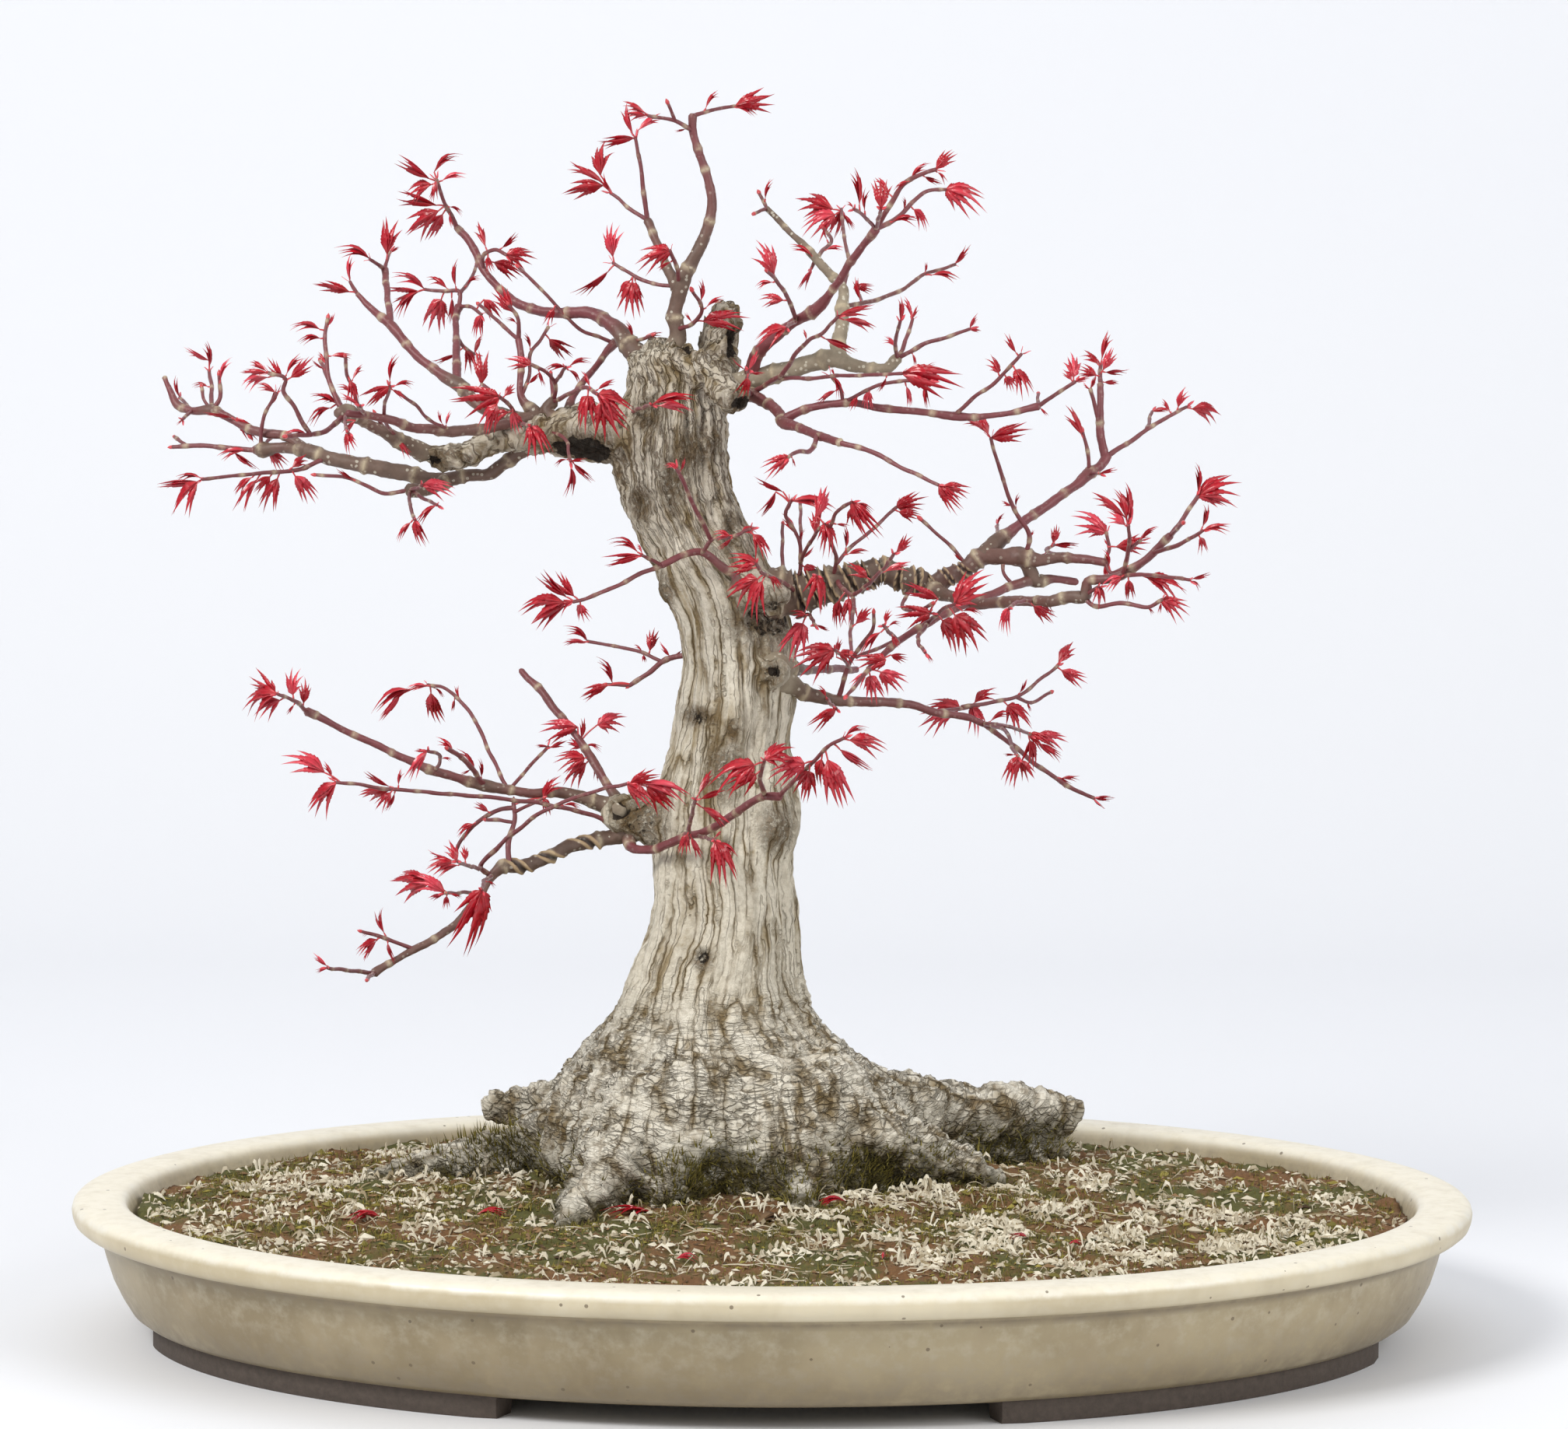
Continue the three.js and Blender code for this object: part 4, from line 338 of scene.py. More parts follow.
# A twig: the depth of its tip and its radius at the foot and at the tip, then x and z over and over, then
# its leaves. A leaf: the foot of the blade, the tip of its middle finger, and 3 if it is folded, 5 if half
# open or 7 if open.
SPRAYS = read_table("""
left_tip:
78 1.3 1, -208 351 -225 352 -238 352.5 -244 352, -212 351 -226 349 3, -221 349 -211 342 3;
88 .9 .9, -238 352.5 -243 356;
60 1 .8, -208 351 -208 360 -206 367 -202 374, -206 367 -200 376 3, -201 375 -210 378 3;
96 1 .8, -208 351 -205 355 -198 357.5, -204 350 -199 343 7;
110 1.2 .9, -228 367 -228 375 -229 383, -229 382 -229 395 3, -229 387 -239 390 3, -229 376 -236 378 3;
84 1.2 .9, -228 367 -225 371 -225 381, -225 377 -222 388 3;
90 .8 .8, -228 367 -231 371 -232 376;
70 .9 .8, -236 367 -240 363, -238 365 -242 361 3;
112 .9 .8, -236 367 -241 372, -240 371 -244 380 3;
76 .8 .8, -216 361 -213 357, -220 364 -231 365 3, -218 364 -211 354 5

left_long_low:
26 1.2 .8, -182 348 -190 344 -202 342 -216 341 -232 339, -233 339 -250 333 3, -234 338 -243 326 5, -232 340
  -243 341 3, -210 341 -220 333 3, -208 340 -218 327 3, -203 340 -211 333 5, -200 340 -207 327 5, -196 342
  -187 330 5, -197 343 -189 349 5

left_knot_shoots:
34 1 .8, -148 335 -158 334 -166 337 -174 340 -186 341, -169 339 -178 343 3;
-2 .9 .8, -148 335 -148 328 -146 323, -146 323 -154 315 3, -145 322 -144 312 5;
4 .9 .8, -148 335 -141 331 -137 329, -138 329 -146 322 3;
14 .9 .9, -148 335 -143 337, -145 337 -131 335 5

left_fork:
-26 1.3 1, -174 366 -180 360 -188 357 -198 356.5, -188 358 -199 359 3;
-30 1.1 .9, -188 357 -191 362 -195 369 -199 375 -198 379 -205 382, -198 379 -187 386 5, -197 380 -206 386 5,
  -198 382 -192 390 3, -204 382 -217 382 3, -203 380 -217 377 3, -205 383 -213 387 3;
-44 .8 .8, -174 366 -174 361 -173 358, -170 363 -175 357 3, -174 359 -173 350 7;
30 1.3 .9, -174 366 -179 374 -181 382 -182 390 -182 397 -181 404, -182 396 -193 396 3, -182 399 -196 403 3,
  -182 400 -178 406 3, -181 389 -171 389 3, -183 384 -185 391 3, -182 383 -188 386 3;
48 1.2 .9, -174 366 -178 373 -181 380 -184 387, -178 367 -188 375 3, -180 368 -190 363 3, -179 368 -183 372
  3;
-40 .9 .8, -166 365 -170 372 -173 381 -174 389, -173 381 -169 370 5, -171 373 -177 378 3, -169 379 -167 386
  3;
-30 .9 .9, -166 365 -168 369, -168 368 -176 373 3;
-26 .9 .8, -154 357 -158 363 -158 370 -156 377, -155 378 -155 390 3, -156 377 -167 369 5, -155 378 -146 379
  3, -155 377 -150 372 3;
20 .9 .8, -154 357 -159 361 -162 366, -154 354 -148 348 3;
-20 .8 .8, -132 359 -140 364 -148 371 -152 374, -134 361 -137 367 3, -133 361 -132 367 3

upper_left:
84 1 .8, -169 414 -172 419, -170 414 -186 417 5, -171 418 -173 430 3;
122 1 .8, -158 424 -156 431, -158 427 -156 445 5, -156 430 -152 433 3;
100 1 .8, -158 424 -164 428, -162 427 -176 433 3;
112 1.1 .8, -128 409 -128 415 -134 415 -142 416, -142 416 -154 424 3, -144 416 -157 412 5, -145 415 -155 406
  3, -134 415 -141 398 7, -131 413 -131 402 3, -131 416 -141 422 3, -129 416 -131 427 3;
86 1 .8, -128 409 -123 409 -119 406, -121 407 -122 397 5, -118 412 -112 404 5;
130 1 .8, -128 414 -124 419 -121 426, -124 415 -120 422 3;
96 1 .8, -129 397 -126 393 -122 390, -127 393 -121 383 5, -129 390 -138 385 3, -122 390 -119 398 3

long_branch:
80 1.2 .8, -129 441 -133 449 -137 460, -137 461 -154 467 3, -138 462 -150 454 5, -138 461 -139 451 3, -138
  463 -129 472 3, -136 461 -126 463 3, -134 449 -154 452 3, -135 449 -150 438 5, -134 448 -143 435 5, -132
  450 -126 447 3, -132 447 -131 441 3;
70 1 .9, -118 424 -118 430 -113 432 -109 430, -117 432 -121 444 3, -117 432 -116 423 5, -112 432 -104 438 3,
  -110 431 -97 428 7, -114 427 -103 421 5, -109 430 -106 425 3

snag_thread:
60 .9 .8, -66 395 -77 399 -85 405 -90 411 -97 418 -104 425, -89 410 -93 402 5, -87 408 -84 405 3

inner_mast:
44 1.1 .8, -104 396 -104 404 -108 410, -105 405 -114 416 5, -105 402 -109 405 3;
76 1 .8, -104 396 -112 403 -120 410;
60 .9 .8, -103 373 -100 380 -99 391 -95 396 -92 401, -99 391 -101 399 3, -93 398 -83 387 5, -100 377 -95 382
  3

inner_fan_left:
6 1 .9, -105 363 -107 369 -112 373, -112 373 -131 370 7, -113 371 -118 358 5, -108 368 -104 358 7, -110 373
  -105 378 5, -107 367 -116 364 5;
-10 .9 .8, -105 363 -99 361, -101 362 -93 349 7;
30 .8 .8, -112 373 -119 378, -119 378 -119 391 5

inner_knot:
24 1 .8, -90 371 -89 379 -95 384 -99 386, -98 385 -109 387 5, -97 383 -94 377 3;
16 1 .8, -89 379 -85 385, -85 385 -94 385 3, -84 385 -75 389 3, -84 384 -78 379 3;
50 1 .9, -90 371 -91 382;
-14 1.1 .9, -90 371 -84 374 -77 377 -72 374, -76 376 -77 360 7, -74 377 -78 384 3, -70 373 -57 367 7, -71
  371 -64 355 7, -73 376 -65 380 3

crown_front_pair:
-10 .9 .8, -60 366 -56 368 -50 370, -50 370 -33 374 3, -50 370 -34 368 3

limb_underside:
-4 .9 .8, -92 360 -85 356 -83 347, -83 348 -90 346 3, -83 347 -82 332 3, -82 346 -75 338 3, -82 348 -77 347
  3

top_left:
52 1.2 .8, -52 444 -54 460 -55 467 -57 477, -56 478 -72 474 3, -57 479 -63 490 3, -56 480 -46 487 3;
70 1.1 .8, -52 444 -59 449 -67 455, -67 455 -72 462 3, -70 459 -84 467 3, -70 458 -86 454 5, -71 462 -72 476
  5;
50 1 .8, -39 418 -47 418 -56 421 -61 424 -66 427, -58 422 -59 405 7, -58 421 -65 412 3, -66 427 -68 442 5,
  -66 426 -79 412 3, -57 422 -56 411 3;
24 1 .9, -39 418 -41 427 -43 432, -44 433 -56 427 7, -42 428 -48 424 3

top_tip:
30 1 .8, -34 480 -41 484 -47 485 -52 486, -51 486 -62 491 3, -52 486 -62 486 3, -36 481 -41 479 3;
30 .8 .8, -41 484 -44 491;
56 1 .8, -34 486 -27 488 -17 490, -17 490 -1 492 5, -16 490 -8 487 3, -30 488 -24 497 3

crown_right_spray:
10 1.1 .8, -41 400 -34 402 -30 408 -34 416, -30 408 -21 414 3, -30 410 -29 421 3, -32 403 -14 404 5, -34 403
  -37 407 3

crown_left_low:
40 .9 .8, -60 395 -55 396 -50 398, -56 397 -46 399 3, -58 397 -60 404 3

pale_limb:
76 .9 .8, -4 449 -7 455, -5 451 -3 461 3;
60 .9 .8, -4 449 -9 447;
90 1 .8, 16 429 22 437 19 441, 20 436 18 442 3, 20 431 27 434 3;
56 .9 .8, 16 429 14 425, 15 426 10 416 3, 14 430 6 435 3;
96 1 .8, 27 417 29 426 27 440 26 449, 25 449 11 440 7, 24 449 7 452 5, 26 449 25 437 5, 27 449 31 441 3;
100 1.2 .8, 27 410 35 411 47 415 58 422 72 427, 72 427 78 434 3, 60 423 74 422 3, 59 424 61 428 3, 34 414 31
  421 3;
90 .8 .8, 35 411 32 418, 32 418 39 416 5

red_limb:
-52 1.3 .9, 40 441 46 452 51 459 58 463 64 465, 52 461 60 468 3, 62 465 71 472 5, 64 465 69 460 3, 54 461 47
  457 3, 46 454 39 462 3, 58 463 66 458 3;
-10 1.2 .8, 40 441 49 446 55 452 60 456 68 457, 68 457 83 451 7, 53 451 62 442 5, 50 449 52 454 3, 44 444 57
  446 3;
-70 1 .8, 40 441 42 449, 41 446 42 461 5;
-66 .9 .8, 40 441 36 446 31 449, 36 447 35 457 3, 35 450 32 465 3, 31 449 28 452 3;
-40 1.1 .8, 8 404 5 412 0 420 -4 424, 0 420 -6 435 5, -1 419 -9 418 3, 5 412 -7 413 5;
-46 .9 .8, 8 404 4 401, 5 402 -8 397 5

crown_right:
-52 1.2 .8, -8 376 1 381 7 389 12 395 18 399 25 406, 25 406 39 409 3, 26 406 41 401 3, 17 398 32 391 3, 12
  396 11 401 3;
-44 1 .8, 1 381 15 381 30 382 51 383, 52 383 72 377 5, 60 382 63 388 3, 45 383 42 375 3, 24 382 22 385 3

crown_centre_star:
-60 1 .9, -10 374 -12 379 -11 384, -11 384 -18 387 3, -10 384 -7 392 3, -11 383 -13 372 5, -10 383 -5 382 3

pale_limb_end:
-10 1 .8, 49 389 48 396 50 404, 49 403 51 413 3, 48 393 44 398 5;
36 1.1 .8, 49 389 53 398 55 405, 55 404 57 410 3, 55 406 52 414 3;
10 1.1 .8, 49 389 60 395 70 398 78 401, 77 401 81 407 3, 78 401 83 400 3, 54 393 57 386 3

lower_arc:
-70 1.3 .8, 26 355 34 353 44 349 55 343 66 338, 66 338 79 334 5, 67 338 73 327 5;
-66 1.2 .8, 17 358 14 352 9 351 5 349, 6 349 -4 342 7, 6 350 8 345 3;
-6 .9 .8, 27 371 26 377 22 382, 22 382 28 374 3, 26 377 16 371 3;
-22 .9 .8, 27 371 38 377 50 380 62 380, 33 375 30 368 5, 38 377 36 368 7, 52 380 55 369 3, 62 380 60 369 3;
-30 1 .8, 72 366 80 373 91 382 99 391, 90 382 87 391 7, 92 383 97 376 7, 98 390 92 398 3, 95 387 103 375 7;
-24 1 .8, 106 370 113 375 121 380, 121 380 116 385 5, 121 381 120 392 7, 121 380 127 382 3;
0 .8 .8, 106 370 106 375, 107 370 110 366 3

high_branch:
80 1.2 .9, 131 379 131 387, 131 387 134 401 3, 131 386 124 393 5, 132 383 137 393 5, 133 384 142 383 3, 132
  380 139 379 3, 131 382 122 385 5;
56 1 .9, 131 361 129 370 127 377, 128 377 130 383 3, 127 377 124 379 3;
84 1.3 .8, 134 350 142 355 150 361 160 367 166 370, 166 370 181 367 5, 162 368 165 378 5, 160 367 156 373 3;
100 1 .8, 150 361 152 368, 152 367 160 369 3;
50 1 .8, 127 343 126 352 124 360, 125 356 118 369 3;
44 .8 .8, 127 343 131 343, 130 343 138 344 3;
80 .9 .8, 90 315 90 322, 90 321 92 327 3

crossing_wand:
0 1.2 .8, 101 309 103 318 98 326 93 338 89 350 87 357, 87 357 80 368 5, 84 361 75 365 3, 88 359 102 359 5,
  97 328 98 335 3, 96 329 91 331 3, 104 316 105 320 3

ridge_shoot:
20 .9 .8, 92 309 93 302 96 298, 93 306 98 310 3

limb_end:
60 1 .8, 116 309 110 312 113 314, 112 313 115 322 5, 113 314 123 313 3, 110 310 103 306 3;
10 1.1 .9, 134 307 136 303 142 305, 136 304 134 313 3, 135 308 135 299 7;
30 .9 .8, 134 307 135 314 134 319, 134 319 122 326 7, 136 313 152 314 5, 135 313 133 317 3

far_right:
-70 1.1 .8, 141 302 143 312 143 322, 142 321 139 337 3, 142 325 128 334 3, 143 325 143 340 3, 142 323 135
  327 5, 143 323 145 331 3;
-60 .9 .8, 143 312 148 316, 147 315 154 322 3;
-50 1.2 .9, 160 318 167 328 171 334, 171 334 187 340 7, 172 335 176 342 3, 172 334 184 331 3, 171 334 172
  347 3;
-70 .9 .8, 160 318 165 323;
-80 1.1 .8, 153 311 160 313 167 316 173 320, 172 320 184 322 3, 172 320 176 331 3, 171 319 175 311 5;
-74 1 .8, 141 302 150 302 160 301 168 300, 168 300 177 302 3, 167 300 173 297 3, 147 302 166 296 5, 143 301
  144 291 5, 142 302 133 297 5;
-60 1.2 .8, 125 293 128 290 141 290.5 152 289 157 292, 157 293 167 286 7, 157 292 156 286 3, 150 289 154 286
  3;
-44 .9 .9, 125 293 131 297, 131 297 133 289 7

limb_underhang:
-70 1 .8, 104 291 97 290 95 288, 96 290 91 279 5, 103 290 113 282 5, 105 290 114 287 3

limb_left_sticks:
60 1 .8, 3 297 3 310 3 322

limb_first_whorl:
10 1 .8, 9 298 10 306 10 313 8 319 4 326 6 331, 8 316 3 326 3, 5 326 7 333 3, 8 332 24 330 3, 3 335 -9 339
  3, 0 335 -5 324 3, 10 313 11 320 3, 8 306 19 300 7, 11 307 16 312 3;
-8 .9 .8, 10 306 14 314 18 320 20 322, 20 322 24 310 7, 15 317 17 328 5, 17 320 17 331 3, 17 325 21 338 5;
46 .8 .8, 10 313 10 330

limb_front_fans:
-60 1 .8, 9 294 2 299 -5 302 -8 306, -8 306 -18 309 7, -7 304 -19 303 5, -5 300 -20 290 7, -4 301 -12 285 5,
  -4 300 3 296 5

limb_middle_arch:
-30 1 .8, 22 299 25 306 22 318 25 327 31 331, 31 331 31 320 5, 32 331 38 316 5, 32 331 40 328 3, 24 322 30
  321 3;
30 .9 .8, 25 306 28 310 37 318 49 329, 48 329 61 332 7, 28 309 38 312 3, 28 311 29 321 3, 50 329 59 324 5

limb_middle_drop:
-60 1.2 .8, 24 301 27 296 31 293 31 282 31 270, 28 292 31 281 7, 26 291 24 280 5, 31 280 40 288 5;
-66 1 .8, 31 293 37 297 43 303 48 310, 48 309 56 317 5, 42 302 55 306 3, 34 295 39 296 3, 38 300 30 306 5

limb_front_drop:
-56 1 .8, 17 296 17 301, 17 299 18 286 7

trunk_side_drop:
-10 .9 .8, 9 284 14 285 16 281, 14 285 6 286 5, 13 283 5 267 7, 16 282 22 278 3

crease_shoot:
20 .9 .8, 78 305 74 310 68 316 59 324, 78 307 72 310 3

crease_drop:
-30 .9 .8, 57 297 53 293 52 288 58 287 63 286, 66 292 53 295 5, 60 287 49 284 7;
-36 .9 .9, 58 287 64 290

front_wand:
-46 1 .8, 62 282 66 286 73 290, 76 290 85 302 7, 66 285 79 272 7, 72 286 84 270 7, 76 287 84 287 3;
-60 1 .8, 50 274 46 279 44 281, 44 280 46 288 5, 44 279 51 283 3, 43 278 34 270 3, 45 276 50 272 5;
-56 1 .8, 38 263 33 257 29 252, 45 267 33 265 7, 40 263 42 249 7, 39 262 32 256 5, 43 262 53 254 7, 47 269
  54 266 5;
-70 1 .8, 62 282 58 275 61 270, 60 271 64 266 3

lower_right_riser:
20 1.2 .8, 26 252 30 264 36 274 40 280 40 286, 25 268 26 276 3;
-6 1 .8, 30 264 27 269 24 271, 24 270 7 264 7, 25 271 34 267 7, 22 270 17 262 5;
60 .9 .8, 33 268 45 273 60 281

lower_right_hanging:
-14 .9 .8, 21 251 25 247, 24 249 16 239 5, 21 253 9 251 3, 23 252 18 257 3

lower_right_fans:
78 1.1 .8, 66 246 72 247 80 248, 78 250 61 248 7, 73 246 60 239 7, 80 249 85 237 7, 79 250 90 257 5;
90 1 .8, 76 248 88 250 98 252 107 259 115 265, 114 265 122 275 5, 115 265 126 257 5, 99 252 103 259 3, 92
  252 105 239 7;
100 .9 .8, 98 252 104 250 112 254, 102 250 104 246 3

lower_right_tip:
20 1.3 .9, 85 241 95 234 105 226 115 219 125 213 130 211, 130 211 138 210 3, 129 210 134 206 3, 112 222 121
  214 3, 115 219 124 219 3;
-10 1 .8, 85 241 93 239 97 231 99 228, 99 228 95 216 5, 99 227 105 218 5, 99 229 93 228 3;
0 1 .8, 85 241 95 240 104 237, 103 237 111 232 7, 105 236 119 233 5, 107 233 117 227 3, 104 236 106 222 5,
  86 243 96 247 3

front_twig:
-60 1.1 .8, -35 194 -34 202 -32 210, -32 210 -25 222 3, -31 210 -20 213 3, -31 208 -18 199 3, -33 197 -38
  187 5, -32 196 -30 185 3;
-64 .9 .8, -31 195 -24 193, -24 193 -18 176 5, -24 193 -14 187 3, -25 193 -21 197 3;
-66 1.2 .8, -4 211 -6 219 -4 226, -5 226 -26 218 7, -6 222 -18 212 7, -4 226 9 232 7;
-74 1.1 .8, 2 211 9 218 16 226 21 231 28 235, 15 226 -3 220 7, 14 225 12 208 7, 20 229 18 213 5, 22 229 27
  206 5, 25 231 38 220 3, 27 234 37 241 3, 28 235 45 232 5

low_left_long:
-24 1.1 .8, -190 245 -195 249 -202 252, -192 246 -190 257 5, -195 250 -197 263 7, -200 252 -214 259 7, -201
  251 -218 248 5, -199 250 -211 244 5, -196 247 -198 243 3;
-20 .9 .8, -138 221 -136 227 -141 229, -140 229 -149 218 3, -140 229 -147 229 3, -137 226 -131 226 3;
-10 1.3 1.1, -118 215 -123 222 -128 227 -133 230, -129 228 -137 235 3, -120 219 -128 231 3, -123 222 -127
  219 3, -119 217 -119 226 3

low_left_thin:
-40 1.2 .8, -64 197 -72 202 -85 206 -105 209 -140 212 -160 214 -178 216, -183 220 -198 228 5, -180 216 -191
  204 5, -180 218 -183 225 3, -154 214 -168 219 3, -154 213 -170 210 5, -155 213 -161 205 5, -154 213 -157
  204 3, -153 214 -152 222 3

low_left_arc:
70 1 .8, -108 213 -115 227 -126 248 -133 254 -141 256, -128 249 -130 256 3, -140 256 -149 255 3, -139 256
  -134 251 3, -141 255 -138 239 5, -152 252 -160 241 3, -148 254 -164 247 3, -130 251 -131 245 3;
50 .9 .8, -108 213 -102 220 -92 231, -91 231 -97 231 3, -91 232 -84 233 3

low_left_mast:
50 1 .8, -73 224 -76 229 -80 233, -74 227 -89 225 7, -75 226 -86 215 5, -73 225 -71 217 5, -77 230 -85 233
  5, -78 232 -70 231 3, -78 233 -77 243 3, -72 240 -60 243 7, -80 239 -95 237 5

low_left_whip:
-56 1.2 .8, -115 178 -119 181 -112 190 -103 198 -95 204 -83 209 -70 214 -60 216, -60 216 -48 219 5, -57 216
  -50 207 5, -52 215 -41 204 5, -54 216 -34 212 3, -88 208 -78 207 3;
-70 1 .8, -119 181 -124 182 -129 184, -126 182 -126 191 5, -127 182 -138 179 3, -129 183 -142 182 5, -129
  184 -141 186 3, -129 184 -133 192 5;
-60 1 .8, -115 178 -118 176 -119 172, -118 176 -113 174 3, -119 172 -124 146 7, -119 173 -117 162 5

low_left_hook:
26 1.4 1, -108 183 -108 192 -106 200 -106 208, -94 210 -89 219 5, -94 210 -91 203 5;
40 1.1 .9, -106 206 -113 205 -121 200 -127 193 -130 187, -116 205 -122 207 5, -122 202 -130 195 5;
30 .9 .9, -106 200 -117 201;
20 .8 .8, -106 204 -100 207 -94 210

low_left_level:
-30 .9 .8, -119 171 -126 171 -134 171, -134 171 -146 177 5, -140 175 -158 173 5, -142 176 -152 179 3, -133
  171 -127 169 3, -134 171 -134 164 5, -134 170 -141 168 3

low_left_end:
-60 1.1 .8, -163 138 -172 138.5 -182 140, -181 140 -188 145 3, -182 140 -187 138 3;
-60 .9 .9, -163 138 -166 135

low_left_fork:
-10 1 .8, -147 148 -157 152 -168 155, -158 152 -163 164 3, -158 151 -156 142 3, -160 152 -171 147 5, -161
  152 -168 143 3, -163 154 -168 154 3

waist_twig:
-16 1.1 .8, -46 305 -60 299 -70 294 -78 291 -82 290, -80 292 -90 300 5, -84 291 -97 300 3, -82 290 -104 288
  5, -81 290 -90 287 5, -82 289 -100 280 3, -79 290 -78 281 7;
-8 .9 .8, -46 305 -50 307 -54 309, -54 309 -66 317 3, -54 309 -69 304 3, -54 309 -56 314 3

waist_riser:
-30 1 .8, -30 310 -26 315 -17 317 -10 320, -17 317 -25 318 5, -17 317 -22 311 3, -15 317 -7 321 5, -8 320 -2
  309 5;
-24 1.1 .9, -26 315 -29 322 -32 328 -35 334 -40 344, -40 344 -44 347 5, -40 343 -36 348 3

waist_low:
44 1.4 1.1, -34 269 -45 266 -52 261 -59 256, -68 256 -79 251 5, -66 257 -70 268 3, -43 267 -37 270 3, -42
  268 -47 273 3;
60 .9 .8, -46 266 -55 270 -65 272 -76 274, -76 274 -84 281 3, -75 273 -86 273 3, -53 270 -57 273 3, -53 270
  -53 265 5, -50 271 -49 279 5;
44 .8 .8, -59 256 -68 256.5
""")
print("limbs:", sum(len(rows) for rows in LIMBS.values()))
print("twigs:", sum(len(rows) for rows in SPRAYS.values()))

# %% [markdown]
# ## From the flat drawing to a line in space
# A twig starts on the limb that it crosses at its first point, at that limb's own depth. From there the
# depth runs evenly to the one given for the tip. A smooth curve through the points then gives the bends.

# %% Depth along a route
REACH = 6


def seen(x, z, depth):
    far = (depth - EYE[1]) / (TRUNK_DEPTH - EYE[1])
    return np.array([EYE[0] + (x - EYE[0]) * far, depth, EYE[2] + (z - EYE[2]) * far])


def closest(route, x, z):
    """The place on a route nearest to [x, z]: (distance, [x, z, depth], share of the whole way)."""
    best = (math.inf, None, 0)
    for i, ((ax, az, ad, _), (bx, bz, bd, _)) in enumerate(zip(route, route[1:])):
        length = math.hypot(bx - ax, bz - az)
        t = ((x - ax) * (bx - ax) + (z - az) * (bz - az)) / length**2
        t = min(max(t, 0), 1)
        spot = (ax + t * (bx - ax), az + t * (bz - az), ad + t * (bd - ad))
        distance = math.hypot(x - spot[0], z - spot[1])
        if distance < best[0] - 0.01:
            best = (distance, spot, (i + t) / (len(route) - 1))
    return best


def start_depth(earlier, x, z):
    found = (math.inf, None, 0)
    for route in earlier:
        here = closest(route, x, z)
        if here[0] < found[0] - 0.01:
            found = here
    return found[1][2] if found[0] < REACH else TRUNK_DEPTH


def with_depth(depths, points, earlier):
    """The points with their depths. Without a depth for the foot, it is that of the limb it grows on."""
    start = depths[0] if len(depths) == 2 else start_depth(earlier, *points[0][:2])
    run = [0]
    for (ax, az, _), (bx, bz, _) in zip(points, points[1:]):
        run.append(run[-1] + math.hypot(bx - ax, bz - az))
    return [(x, z, start + (depths[-1] - start) * s / run[-1], r) for (x, z, r), s in zip(points, run)]


def limb_route(row, earlier):
    depths, numbers = row
    return with_depth(depths, [numbers[i:i + 3] for i in range(0, len(numbers), 3)], earlier)


def twig_route(row, earlier):
    (tip, foot_radius, tip_radius), flat = row[:2]
    count = len(flat) // 2 - 1
    points = [(flat[2 * i], flat[2 * i + 1], foot_radius + (tip_radius - foot_radius) * i / count)
              for i in range(count + 1)]
    return with_depth([tip], points, earlier)


all_limbs = []
limb_routes = {}
for owner, rows in LIMBS.items():
    limb_routes[owner] = []
    for row in rows:
        limb_routes[owner].append(limb_route(row, all_limbs))
        all_limbs.append(limb_routes[owner][-1])
print("limb routes:", len(all_limbs))

# %% [markdown]
# ## Skins
# Wood, twigs, stalks and the fingers of the leaves are all one kind of surface: rings of points along a
# line, with a skin between them. A shell keeps its points, its faces and a few numbers for each point,
# such as how old the wood is there. The materials read those numbers to colour it.

# %% Shells and pieces
LOOKS = ("age", "ring", "scar", "along", "tone", "damp", "dark")


def shell(verts, faces, material=0, **looks):
    count = len(verts)
    filled = {n: np.broadcast_to(np.asarray(looks.get(n, 0.0), float), (count,)) for n in LOOKS}
    return {"verts": np.asarray(verts, float), "faces": faces, "material": material, "looks": filled}


def ring_faces(rings, sides):
    """Quads between rings, and a cap on the first and the last one."""
    faces = []
    for i in range(rings - 1):
        a, b = i * sides, (i + 1) * sides
        faces += [(a + j, a + (j + 1) % sides, b + (j + 1) % sides, b + j) for j in range(sides)]
    faces.append(tuple(reversed(range(sides))))
    faces.append(tuple((rings - 1) * sides + j for j in range(sides)))
    return faces


def copied(faces, corners, count):
    """The faces of many copies of a shape that has so many corners."""
    return [tuple(v + k * corners for v in face) for k in range(count) for face in faces]


def mesh_of(name, shells):
    """One mesh, in metres, of many shells in millimetres."""
    faces, base = [], 0
    for part in shells:
        faces += [tuple(base + v for v in face) for face in part["faces"]]
        base += len(part["verts"])
    mesh = bpy.data.meshes.new(name)
    mesh.from_pydata((np.concatenate([part["verts"] for part in shells]) * MM).tolist(), [], faces)
    return mesh


def make_piece(name, shells, materials, nodes=(), smooth=True):
    mesh = mesh_of(name, shells)
    for look in LOOKS:
        values = np.concatenate([part["looks"][look] for part in shells])
        if values.any():
            mesh.attributes.new(look, "FLOAT", "POINT").data.foreach_set("value", values.astype(np.float32))
    paints = [part["material"] for part in shells for _ in part["faces"]]
    mesh.polygons.foreach_set("material_index", paints)
    if smooth:
        mesh.shade_smooth()
    for material in materials:
        mesh.materials.append(material)
    piece = bpy.data.objects.new(name, mesh)
    bpy.context.scene.collection.objects.link(piece)
    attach(piece, "root")
    if nodes:
        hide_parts(*nodes)
    return piece


def triangles(piece):
    return sum(len(p.vertices) - 2 for p in piece.data.polygons)


print("a shell's numbers:", LOOKS)

# %% [markdown]
# ## Lines and tubes
# Wood never bends in corners, so a curve is laid through the points of each route. A tube is then a ring
# of points round each place on the curve, drawn in at both ends. Each ring turns as little as it can
# from the one before, so that nothing is twisted.

